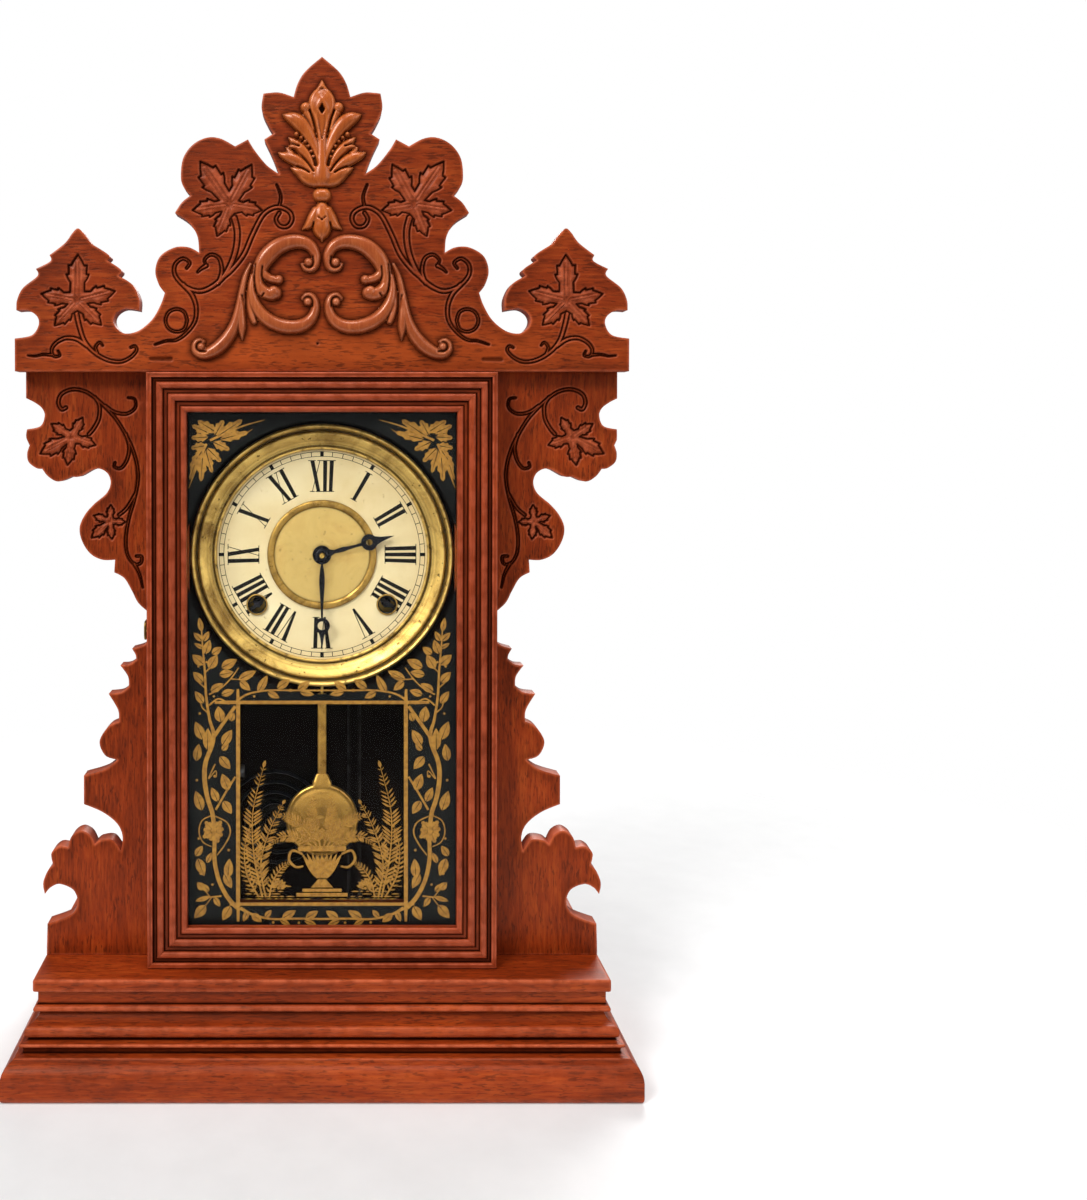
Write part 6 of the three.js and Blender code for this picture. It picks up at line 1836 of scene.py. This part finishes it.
def bezel():
    crown, front = PAN_CROWN, PAPER_Y
    profile = [
        (LIP, front - 0.1), (LIP, front - 1.1), (LIP + 0.5, front - 1.7), (LIP + 1.3, front - 1.7),
        (LIP + 1.9, front - 1.1), (LIP + 2.4, front - 1.0), (66.8, front - 1.5), (68.6, front - 2.5),
        (70.4, front - 3.8), (71.8, front - 4.6), (72.8, front - 4.9), (73.5, front - 4.5),
        (74.0, front - 3.6), (74.6, front - 3.3), (75.1, front - 3.6), (75.4, crown + 1.7),
        (75.9, crown + 0.7), (76.6, crown + 0.12), (77.3, crown), (77.9, crown + 0.4),
        (78.3, crown + 1.2), (PAN_RADIUS, crown + 2.6), (PAN_RADIUS, PAN_HIGH[1]),
        (PAN_RADIUS - 1, PAN_HIGH[1]), (74.5, front - 1.4), (67.3, front + 1.7), (60.3, front + 1.7),
        (60.3, front + 0.9), (65.9, front + 0.9), (65.9, front - 0.1),
    ]
    # Painted shade, partly dirt, is deepened in the bezel's grooves
    turned("bezel", profile, 0, DIAL_Z, BEZEL_BRASS, 240, dents=0.05, specks=0.12, hollow_shade=2.2,
           slot="brass", replaces=("dial_pan",))


TRACK_OUTER, TRACK_INNER = 61.7, 58.9
NUMERAL_OUTER, NUMERAL_INNER = 56.6, 37.6
NUMERALS = ["XII", "I", "II", "III", "IIII", "V", "VI", "VII", "VIII", "IX", "X", "XI"]
THICK, THIN, SERIF = 2.3, 0.45, 0.5
LETTER_WIDTHS = {"I": 3.7, "V": 7.6, "X": 7.4}


def letter_strokes(letter, left):
    """A letter's strokes as four-cornered shapes, with its height running from 0 to 1."""
    width = LETTER_WIDTHS[letter]
    middle = left + width / 2
    if letter == "I":
        return [[(middle - THICK / 2, 0), (middle + THICK / 2, 0), (middle + THICK / 2, 1),
                 (middle - THICK / 2, 1)],
                [(left - 0.4, 0), (left + width + 0.4, 0)], [(left - 0.4, 1), (left + width + 0.4, 1)]]
    if letter == "V":
        low = middle + 0.3
        return [[(low - 0.9, 0), (low + 0.5, 0), (left + 1.0 + THICK, 1), (left + 0.8, 1)],
                [(low - 0.1, 0), (low + 0.5, 0), (left + width - 1.2, 1), (left + width - 1.2 - THIN, 1)],
                [(left - 0.3, 1), (left + 4.1, 1)], [(left + width - 2.8, 1), (left + width + 0.4, 1)]]
    return [[(left + width - 1.0 - THICK, 0), (left + width - 1.0, 0), (left + 0.8 + THICK, 1),
             (left + 0.8, 1)],
            [(left + 0.9, 0), (left + 0.9 + THIN, 0), (left + width - 0.9, 1),
             (left + width - 0.9 - THIN, 1)],
            [(left - 0.4, 0), (left + 2.7, 0)], [(left + width - 4.1, 0), (left + width + 0.3, 0)],
            [(left - 0.4, 1), (left + 3.9, 1)], [(left + width - 2.6, 1), (left + width + 0.4, 1)]]


def numerals(sheet):
    tall = NUMERAL_OUTER - NUMERAL_INNER
    mean = (NUMERAL_OUTER + NUMERAL_INNER) / 2

    def on_dial(x, share, hour):
        angle = hour * TAU / 12
        narrow = 0.35
        radius = NUMERAL_INNER + tall * share
        across = x * (1 + narrow * (radius - mean) / mean)
        up = np.array((math.sin(angle), math.cos(angle)))
        right = np.array((math.cos(angle), -math.sin(angle)))
        spot = up * radius + right * across
        return (spot[0], DIAL_Z + spot[1])

    for hour, text in enumerate(NUMERALS):
        total = sum(LETTER_WIDTHS[c] for c in text)
        left = -total / 2
        for c in text:
            for stroke in letter_strokes(c, left):
                if len(stroke) == 2:
                    (a, share), (b, _) = stroke
                    thick = SERIF / tall
                    share = share - thick if share else share
                    stroke = [(a, share), (b, share), (b, share + thick), (a, share + thick)]
                sheet.shape([on_dial(x, share, hour) for x, share in stroke])
            left += LETTER_WIDTHS[c]


def polar_block(sheet, angle, half, inner, outer):
    """A short block that points at the dial's middle."""
    up = np.array((math.sin(angle), math.cos(angle)))
    right = np.array((math.cos(angle), -math.sin(angle)))
    corners = [up * inner - right * half, up * inner + right * half, up * outer + right * half,
               up * outer - right * half]
    sheet.shape([(c[0], DIAL_Z + c[1]) for c in corners])


def dial_paper():
    winders = [low_high(f"winding_grommet_{side}") for side in ("left", "right")]
    sheet = Sheet(PAPER_Y, low_high("dial_face")[1][1])
    edge = low_high("dial_face")[1][0]

    holes = [circle(0, DIAL_Z, 5, 40)]
    for low, high in winders:
        holes.append(circle((low[0] + high[0]) / 2, (low[2] + high[2]) / 2, 5.5, 40))
    sheet.shape(circle(0, DIAL_Z, edge, 160), holes)
    sheet.made("dial_paper", PAPER, slot="dial_paper", replaces=("dial_face",))
    ink = Sheet(PAPER_Y - 0.05, PAPER_Y - 0.005)
    for radius in (TRACK_OUTER, TRACK_INNER):
        ink.ring((0, DIAL_Z), radius + 0.17, radius - 0.17, 180)
    for minute in range(60):
        angle = minute * TAU / 60
        if minute % 5:
            polar_block(ink, angle, 0.22, TRACK_INNER, TRACK_OUTER)
        else:
            polar_block(ink, angle, 1.05, TRACK_INNER - 0.2, TRACK_OUTER + 0.3)
    numerals(ink)
    ink.made("dial_print", INK, slot="dial_paper")
    for (low, high), side in zip(winders, ("left", "right")):
        x, z = (low[0] + high[0]) / 2, (low[2] + high[2]) / 2
        front = low[1]
        made = turned(f"eyelet_{side}", [
            (4.7, high[1]), (5.2, high[1]), (5.25, front + 0.8), (5.7, front + 0.55), (6.1, front + 0.6),
            (6.45, front + 0.4), (6.3, front + 0.1), (5.8, front), (5.3, front + 0.1), (5.0, front + 0.5),
            (4.7, front + 1.2),
        ], x, z, (OLD_BRASS, BLACK), 48, slot="brass", replaces=(f"winding_grommet_{side}",))
        # The eyelet's inner wall is painted black as the shade inside the winding hole
        second_material(made, (x, z), 0, 5.5)


def dial_centre():
    low, high = low_high("dial_centre")
    outer, back, front = high[0], high[1], low[1]
    made = turned("gilt_centre", [
        (5.2, back), (outer, back), (outer, back - 0.5), (outer - 0.4, front + 0.35),
        (outer - 1.2, front + 0.05), (outer - 2.1, front), (outer - 3.0, front + 0.1),
        (outer - 3.7, front + 0.5), (outer - 4.1, front + 0.95), (outer - 4.6, front + 1.0),
        (14, front + 1.06), (5.2, front + 1.1),
    ], 0, DIAL_Z, (GILT_BRASS, OLD_BRASS), 120, slot="brass", replaces=("dial_centre",))
    second_material(made, (0, DIAL_Z), outer - 4.3, outer + 1)


BEZEL_BRASS = metal("bezel brass", rgb(212, 176, 98), rgb(108, 76, 34), 0.44, 0.8, 40)

bezel()
dial_paper()
dial_centre()


# The hands, at half past two

HOUR_TURN, MINUTE_TURN = 75, 180


def rub_edges(made):
    """Rounds the edges of a piece by a fifth of a millimetre."""
    bevel = made.modifiers.new("rubbed edge", "BEVEL")
    bevel.width = 0.2 * MM
    bevel.segments = 2
    bevel.limit_method = "ANGLE"


def hand(name, outline_points, holes, front, back, turn, body, replaced):
    """A blued hand, drawn pointing up and turned clockwise. Its edges are rubbed round."""
    angle = math.radians(turn)

    def place(x, z):
        return (x * math.cos(angle) + z * math.sin(angle),
                DIAL_Z - x * math.sin(angle) + z * math.cos(angle))

    sheet = Sheet(front, back)
    sheet.shape([place(*p) for p in outline_points], [[place(*p) for p in hole] for hole in holes])
    made = sheet.made(name, BLUED, body=body, slot="blued_steel", replaces=(replaced,))
    rub_edges(made)
    return made


def arc_at(z, radius, start, end, count=18):
    """Part of a circle, its angles in degrees clockwise from straight up."""
    return [(radius * math.sin(math.radians(a)), z + radius * math.cos(math.radians(a)))
            for a in np.linspace(start, end, count)]


def hands():
    low, high = low_high("hour_hand")
    stem = [(1.05, 7.5), (1.3, 10.5), (1.45, 13), (1.0, 16.5), (0.8, 20.5), (0.95, 24.4)]
    point = [(2.6, 33.6), (1.5, 36.6), (0.8, 40.5), (0.0, 44.7)]
    half = arc_at(0, 5.6, 170, 13)[:-1] + stem + arc_at(29.3, 4.9, 165, 33) + point
    half = [(abs(x), z) for x, z in half]
    hour = half + [(-x, z) for x, z in half[::-1]]
    hand("hour_hand_blade", hour, [circle(0, 0, 3.35), circle(0, 29.3, 1.9)], low[1], high[1], HOUR_TURN,
         "hour_work", "hour_hand")
    low, high = low_high("minute_hand")
    stem = [(0.6, 5.6), (1.15, 8.6), (1.6, 13), (1.65, 17), (1.2, 24), (0.75, 31), (0.6, 37.4)]
    point = [(1.9, 46.4), (1.1, 49.0), (0.65, 52.5), (0.0, 57.0)]
    half = arc_at(0, 4.4, 170, 10)[:-1] + stem + arc_at(42, 4.7, 170, 26) + point
    half = [(abs(x), z) for x, z in half]
    minute = half + [(-x, z) for x, z in half[::-1]]
    hand("minute_hand_blade", minute, [circle(0, 0, 1.7), circle(0, 42, 2.6)], low[1], high[1], MINUTE_TURN,
         "hands", "minute_hand")
    low, high = low_high("hand_washer")
    turned("domed_washer", [
        (1.7, high[1]), (4.0, high[1]), (3.9, high[1] - 0.25), (3.2, low[1] + 0.16), (2.4, low[1] + 0.02),
        (1.7, low[1]),
    ], 0, DIAL_Z, BLUED, 40, body="hands", slot="brass", replaces=("hand_washer",))


hands()

# Small metal parts

class Solids:
    """Closed solids, each through rings of points, gathered into one piece."""

    def __init__(self):
        self.verts, self.faces = [], []

    def loft(self, rings):
        first, count = len(self.verts), len(rings[0])
        self.verts += [tuple(p) for ring in rings for p in ring]
        for r in range(len(rings) - 1):
            a, b = first + r * count, first + (r + 1) * count
            for n in range(count):
                m = (n + 1) % count
                self.faces.append((a + n, b + n, b + m, a + m))
        last = first + (len(rings) - 1) * count
        self.faces.append(tuple(first + n for n in reversed(range(count))))
        self.faces.append(tuple(last + n for n in range(count)))

    def block(self, stations, bend=3):
        """A bar of rounded section along z. A station is its centre in x and y, its height, and its half
        width and half depth."""
        rings = []
        for centre, z, half_x, half_y in stations:
            ring = []
            for n in range(8 * bend):
                angle = TAU * n / (8 * bend)
                c, s = math.cos(angle), math.sin(angle)
                size = (abs(c) ** 5 + abs(s) ** 5) ** -0.2
                ring.append((centre[0] + half_x * c * size, centre[1] + half_y * s * size, z))
            rings.append(ring)
        self.loft(rings)

    def dome(self, spot, toward, radius, height, count=20):
        """A round head whose top points along a direction."""
        place = facing(spot, toward)
        levels = [(1.0, -0.1), (1.0, height * 0.25), (0.9, height * 0.62), (0.62, height * 0.9),
                  (0.25, height)]
        self.loft([[place(*p, w) for p in circle(0, 0, radius * share, count)] for share, w in levels])

    def screw(self, spot, toward, radius, height, turn):
        """A screw's head in two halves, with a slot between them and a floor below."""
        place = facing(spot, toward)
        self.dome(spot, toward, radius * 0.97, height * 0.35)
        chord = math.asin(0.42 / radius)
        for half in (0, math.pi):
            angles = np.linspace(half + chord, half + math.pi - chord, 16) + turn
            arc = np.array([(radius * math.cos(a), radius * math.sin(a)) for a in angles])
            middle = arc.mean(0)
            self.loft([
                [place(*(middle + (p - middle) * share), w) for p in arc]
                for share, w in ((1.0, -0.1), (1.0, height * 0.6), (0.82, height))
            ])

    def made(self, name, material_used, **settings):
        made = piece(name, self.verts, self.faces, material_used, **settings)
        outwards(made)
        return made


def facing(spot, toward):
    """Turns local points, whose third coordinate rises along a direction, into places."""
    turn = Vector((0, 0, 1)).rotation_difference(Vector(toward)).to_matrix()

    def place(u, v, w):
        return tuple(Vector(spot) + turn @ Vector((u, v, w)))

    return place


# The pendulum: a flat rod, a lens bob with a collar, and a milled nut

def pendulum():
    front, back = BOB_LOW[1], BOB_HIGH[1]
    y, z, radius = (front + back) / 2, (BOB_LOW[2] + BOB_HIGH[2]) / 2, BOB_HIGH[0]
    half = [(0.06, 5.5), (2.6, 5.45), (3.6, 5.1), (4.4, 4.9), (9, 4.6), (14, 3.7), (17.6, 2.7), (19.4, 2.0),
            (20.2, 1.9), (20.9, 2.1), (21.7, 1.6), (radius, 0.7)]
    profile = [(r, y - w) for r, w in half] + [(r, y + w) for r, w in reversed(half)]
    turned("brass_bob", profile, 0, z, BOB_BRASS, 120, body="pendulum", slot="brass",
           replaces=("pendulum_bob",))
    top = z + radius
    middle = (0, y)
    parts = Solids()
    parts.block([(middle, top - 2.0, 6.0, 2.2), (middle, top + 1.2, 5.9, 2.2),
                 (middle, top + 1.8, 5.2, 2.0), (middle, top + 5.0, 4.0, 1.5),
                 (middle, top + 6.0, 3.0, 1.2)])
    parts.block([(middle, top + 5.0, 2.4, 0.8), (middle, top + 5.4, 2.6, 0.9),
                 (middle, top + 54.6, 2.6, 0.9), (middle, top + 55.0, 2.4, 0.8)])
    parts.made("rod_strip", BOB_BRASS, body="pendulum", slot="brass")
    low, high = low_high("rating_nut")
    reach = high[0]
    rings = []
    for height, share in ((low[2], 0.86), (low[2] + 0.4, 1.0), (high[2] - 0.4, 1.0), (high[2], 0.86)):
        ring = []
        for n in range(72):
            ridge = 1.0 if n % 3 else 0.9
            size = reach * share * ridge
            ring.append((size * math.cos(TAU * n / 72), y + size * math.sin(TAU * n / 72), height))
        rings.append(ring)
    nut = Solids()
    nut.loft(rings)
    nut.made("milled_nut", OLD_BRASS, body="nut", slot="brass", replaces=("rating_nut",), sharp=25)


# The latch: a nailed strip, its springing end and the stud it snaps over

def latch_strip(name, outline_points, holes, near, far, body):
    """A strip with rubbed edges. Its outline is in y and z, and it lies between two places on x."""
    sheet = Sheet(near, far)
    sheet.shape(outline_points, holes)
    made = piece(name, [(v[1], v[0], v[2]) for v in sheet.verts], sheet.faces, OLD_BRASS, body=body,
                 slot="brass", replaces=(name.replace("bent_", ""),), sharp=25)
    outwards(made)
    rub_edges(made)


def rounded_oblong(low, high, radius, steps=5):
    """An oblong between two corners, with its own corners rounded."""
    points = []
    for n, (sx, sz) in enumerate(((1, 1), (-1, 1), (-1, -1), (1, -1))):
        cx = (high[0] if sx > 0 else low[0]) - sx * radius
        cz = (high[1] if sz > 0 else low[1]) - sz * radius
        for t in np.linspace(0, math.pi / 2, steps + 1):
            angle = n * math.pi / 2 + t
            points.append((cx + radius * math.cos(angle), cz + radius * math.sin(angle)))
    return points


LATCH_Z = 257.0
NAIL_YS = (-4.0, 3.5)
STUD_Y = -30.0


def latch():
    low, high = low_high("latch_plate")
    nail_reach = 0.7
    face = low[0] + nail_reach
    latch_strip("bent_latch_plate", rounded_oblong((low[1], low[2]), (high[1], high[2]), 1.2), [], face,
                high[0], "root")
    nails = Solids()
    for y in NAIL_YS:
        nails.dome((face, y, LATCH_Z), (-1, 0, 0), 1.9, nail_reach)
    nails.made("latch_nails", OLD_BRASS, slot="brass")
    low, high = low_high("latch_tongue")
    hole = circle(STUD_Y, LATCH_Z, 1.9, 24)
    tip = 3.5
    width = high[2] - low[2]
    outline_points = [(high[1], low[2]), (high[1], high[2])]
    outline_points += [
        (low[1] + tip * (1 - math.cos(a)), LATCH_Z + width / 2 * math.sin(a) ** 0.6)
        for a in np.linspace(math.pi / 2, 0.02, 9)
    ]
    outline_points += [(y, 2 * LATCH_Z - z) for y, z in outline_points[:1:-1]]
    latch_strip("bent_latch_tongue", outline_points, [hole], low[0], high[0], "latch")
    stud = Solids()
    stud.dome((-DOOR_HALF, STUD_Y, LATCH_Z), (-1, 0, 0), 1.6, 0.5)
    stud.made("latch_stud", OLD_BRASS, body="door", slot="brass")


# The back: torn paper, bared wood, a crack, screws and nails

# The torn paper's corners, as x and height on the back
LABEL = [(74.6, 383), (71, 385.5), (54, 389.5), (44, 393.5), (34, 396), (24.5, 389.5), (10, 387), (5, 380),
         (-5, 378.8), (-12, 387), (-22, 391), (-29, 385.5), (-41.5, 383), (-50, 376), (-59, 368),
         (-64, 360), (-71, 349.5), (-78, 346.5), (-79.5, 325), (-72, 312), (-66, 301), (-44, 298.5),
         (-24.5, 299.7), (-12, 307.7), (-2.5, 309), (10, 302.4), (22, 298.4), (34, 301), (39, 295.6),
         (58.7, 291.6), (73.3, 294.3), (77, 298.4), (75.8, 336), (73.3, 362.6)]
BARE_LOW, BARE_HIGH = (-88, 372), (-8, 416)
# How many stains the paper has, and how many bared streaks and scratches the wood
PAPER_STAINS, BARE_STREAKS, SCRATCHES = 26, 520, 60
BACK_FACE = low_high("back_board_left")[1][1]


def torn(points, reach=0.8, step=2.0):
    """An outline with a ragged edge."""
    ragged = []
    for a, b in zip(points, points[1:] + points[:1]):
        a, b = np.array(a, float), np.array(b, float)
        count = max(1, int(np.hypot(*(b - a)) / step))
        for n in range(count):
            spot = a + (b - a) * n / count
            ragged.append(spot + np.array((random.uniform(-reach, reach), random.uniform(-reach, reach))))
    return ragged


def back_details():
    paper = Sheet(BACK_FACE, BACK_FACE + 0.16)
    paper.shape(torn(LABEL))
    outwards(paper.made("torn_paper", OLD_PAPER, slot="case_wood"))
    stains = Sheet(BACK_FACE + 0.16, BACK_FACE + 0.19)
    for _ in range(PAPER_STAINS):
        x, z = random.uniform(-60, 66), random.uniform(306, 374)
        run, rise = random.uniform(-4, 4), random.uniform(-2, 2)
        stains.stroke([(x, z, 0.1), (x + run / 2, z + rise, random.uniform(0.2, 0.7)),
                       (x + run, z + rise, 0.1)], 3)
    for x, z, size in ((54, 357, 1.6), (16, 352, 1.2), (-18, 350, 1.5), (10, 332, 1.3)):
        stains.disc((x, z), size, 9)
    outwards(stains.made("paper_stains", STAIN, slot="case_wood"))
    bare = Sheet(BACK_FACE, BACK_FACE + 0.04)
    for _ in range(BARE_STREAKS):
        x = random.uniform(BARE_LOW[0], BARE_HIGH[0])
        z = random.uniform(BARE_LOW[1] + max(0, (x + 40) * 0.4), BARE_HIGH[1])
        angle = random.gauss(math.pi / 3, 0.9)
        size = random.uniform(3, 12)
        run, rise = size * math.cos(angle), size * math.sin(angle)
        if abs(x - 21.5) > 10 and z + rise < 419:
            bare.stroke([(x, z, 0.08), (x + run * 0.45, z + rise * 0.55, random.uniform(0.12, 0.5)),
                         (x + run, z + rise, 0.06)], 3)
    for _ in range(SCRATCHES):
        x, z = random.uniform(-88, 80), random.uniform(66, 286)
        angle = random.uniform(0, TAU)
        size = random.uniform(2, 16)
        bare.stroke([(x, z, 0.05),
                     (x + size * 0.5 * math.cos(angle), z + size * 0.5 * math.sin(angle), 0.16),
                     (x + size * math.cos(angle + 0.2), z + size * math.sin(angle + 0.2), 0.04)], 3)
    outwards(bare.made("bared_wood", BARE_WOOD, slot="case_wood"))
    cracks = Sheet(BACK_FACE, BACK_FACE + 0.2)
    for line in ([(21.5, 424, 0.5), (21.3, 380, 0.5), (21.8, 340, 0.4), (21.6, 296, 0.2)],
                 [(83.1, 404, 0.3), (83.1, 300, 0.5), (83.3, 180, 0.5), (83.1, 62, 0.45)],
                 [(-90.6, 420, 0.3), (-90.8, 300, 0.5), (-90.7, 180, 0.5), (-90.6, 62, 0.45)],
                 [(-94.6, 423, 0.35), (-94.6, 62, 0.35)],
                 [(94.6, 423, 0.35), (94.6, 62, 0.35)],
                 [(-20, 388, 0.2), (-20.6, 372, 0.5), (-20.2, 352, 0.15)]):
        cracks.stroke(line)
    outwards(cracks.made("back_cracks", STAIN, slot="case_wood"))


def back_hardware():
    screws = Solids()
    for x, turn in ((50.9, 0.5), (-47.7, 2.0)):
        screws.screw((x, BACK_FACE, 419.5), (0, 1, 0), 2.6, 0.8, turn)
    foot = low_high("crest_brace")[0][2]
    slope = (BRACE_DEEP - BRACE_HEAD) / BRACE_TALL
    face = low_high("crest_brace")[0][1] + BRACE_DEEP
    for height, turn in ((22, 0.8), (103, 2.4)):
        screws.screw((0, face - slope * height, foot + height), (0, 1, slope), 2.4, 0.7, turn)
    screws.made("back_screws", NAIL, slot="steel")
    nails = Solids()
    for x in (-91, 91):
        for z in (88, 205, 321, 402):
            nails.dome((x + random.uniform(-0.6, 0.6), BACK_FACE, z + random.uniform(-4, 4)), (0, 1, 0),
                       1.1, 0.35, 12)
    for x in (-62, -8, 34, 70):
        nails.dome((x, BACK_FACE, 66 + random.uniform(-1, 1)), (0, 1, 0), 1.1, 0.35, 12)
    nails.dome((-1.5, face - slope * 64, foot + 64), (0, 1, slope), 0.9, 0.3, 12)
    nails.made("back_nails", NAIL, slot="steel")


def glue_blocks():
    under = BASE_LOW[2] - 0.1
    for side, name in ((-1, "left"), (1, "right")):
        x0, x1 = sorted((side * 131, side * 155.5))
        board(f"glue_block_{name}", (x0, 48, under - 10), (x1, 66, under), EDGE_Z, 2.4, slot="raw_wood")
    # A near-black strip behind the seam of the back boards, as painted shade
    board("seam_shade_strip", (17, 60.9, 61), (26, 61.9, 424), SHADE_BLACK_WOOD, 0.3, slot="case_wood")


def finish(material_used, *names):
    """Gives CAD nodes that are kept as they are a better material."""
    for name in names:
        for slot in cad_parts[name].material_slots:
            slot.material = material_used


BOB_BRASS = metal("bob brass", rgb(176, 134, 64), rgb(96, 66, 30), 0.36, 0.75, 70)
OLD_PAPER = old_paper()
STAIN = paint("dark stain", rgb(26, 16, 12), rgb(44, 28, 20), 0.8, 300, 0.6, gloss=0.1)
BARE_WOOD = wood("bared wood", "z", rgb(150, 62, 32), rgb(184, 88, 50), rgb(206, 116, 76), seed=12.2,
                 shine=0.6, coat=0.0)

pendulum()
latch()
back_details()
back_hardware()
glue_blocks()
# The board behind the dial is near-black as painted shade
finish(SHADE_BLACK_WOOD, "dial_mount_board")
finish(FRAME_Z, "glass_beads")
finish(BRASS, "movement_front_plate", "movement_back_plate", "suspension_post", "pendulum_rod",
       "centre_arbor")
finish(BRASS, "time_great_wheel", "strike_great_wheel", "time_second_wheel", "strike_second_wheel",
       "centre_wheel")
finish(BRASS, "third_wheel", "escape_wheel", "minute_wheel", "hour_wheel")
finish(STEEL, "hinge_pin_bottom", "hinge_pin_top", "verge", "strike_fly", "hammer")
# The winding arbors take dark blued steel as painted shade inside the winding holes
finish(BLUED, "time_mainspring", "strike_mainspring", "time_winding_arbor", "strike_winding_arbor",
       "gong_coil")
finish(IRON, "gong_base")


# Camera, floor and light

def stage_and_camera():
    floor_material, tree, shader = material("floor")
    shader.inputs["Roughness"].default_value = 0.9
    grain = noise(tree, coordinates(tree, 30), 1, 3)
    plug(tree, ramp(tree, grain, [(0.3, 0.84), (0.7, 0.88)]), shader.inputs["Base Color"])
    place = node(tree, "ShaderNodeTexCoord")
    away = node(tree, "ShaderNodeVectorMath", operation="LENGTH")
    plug(tree, place.outputs["Object"], away.inputs[0])
    clear_where(tree, shader, ramp(tree, away.outputs["Value"], [(0.25, 0.0), (0.8, 1.0)]))
    mesh = bpy.data.meshes.new("floor")
    half = 6.0
    mesh.from_pydata([(-half, -half, 0), (half, -half, 0), (half, half, 0), (-half, half, 0)], [],
                     [(0, 1, 2, 3)])
    mesh.materials.append(floor_material)
    floor = linked("floor", mesh)

    # Fitted to 16 points of the photograph's front view
    camera_data = bpy.data.cameras.new("camera")
    camera_data.lens = 33.1
    camera_data.sensor_width = 36
    camera_data.shift_x = 0.1846
    camera_data.shift_y = -0.12
    camera = linked("camera", camera_data)
    camera.location = (0.0, -0.6725, 0.3685)
    pitch = math.radians(0.9)
    camera.rotation_euler = (math.pi / 2 - pitch, 0, 0)
    bpy.context.scene.camera = camera

    def lamp(name, place, target, size, power):
        data = bpy.data.lights.new(name, "AREA")
        data.shape = "SQUARE"
        data.size = size
        data.energy = power
        made = linked(name, data)
        made.location = place
        made.rotation_euler = (Vector(target) - Vector(place)).to_track_quat("-Z", "Y").to_euler()

    lamp("key", (-1.5, -1.7, 2.1), (0, 0, 0.3), 1.0, 60)
    lamp("fill", (1.9, -1.5, 1.2), (0, 0, 0.3), 1.6, 14)
    lamp("rim", (0.6, 1.9, 1.7), (0, 0, 0.35), 1.2, 46)
    lamp("top", (0.1, -0.7, 2.2), (0, 0, 0.2), 0.7, 12)

    world = bpy.data.worlds.new("world")
    bpy.context.scene.world = world
    world.use_nodes = True
    tree = world.node_tree
    background = tree.nodes["Background"]
    background.inputs["Color"].default_value = (1, 1, 1, 1)
    path = node(tree, "ShaderNodeLightPath")
    level = node(tree, "ShaderNodeMix", data_type="FLOAT")
    straight = times(tree, path.outputs["Diffuse Depth"], 0.5, "LESS_THAN")
    through_glass = times(tree, path.outputs["Is Transmission Ray"], straight)
    seen = times(tree, path.outputs["Is Camera Ray"], through_glass, "MAXIMUM")
    plug(tree, seen, level.inputs["Factor"])
    level.inputs[2].default_value = 0.24
    level.inputs[3].default_value = 1.0
    plug(tree, level.outputs[0], background.inputs["Strength"])
    bpy.context.scene.view_settings.view_transform = "Standard"


stage_and_camera()
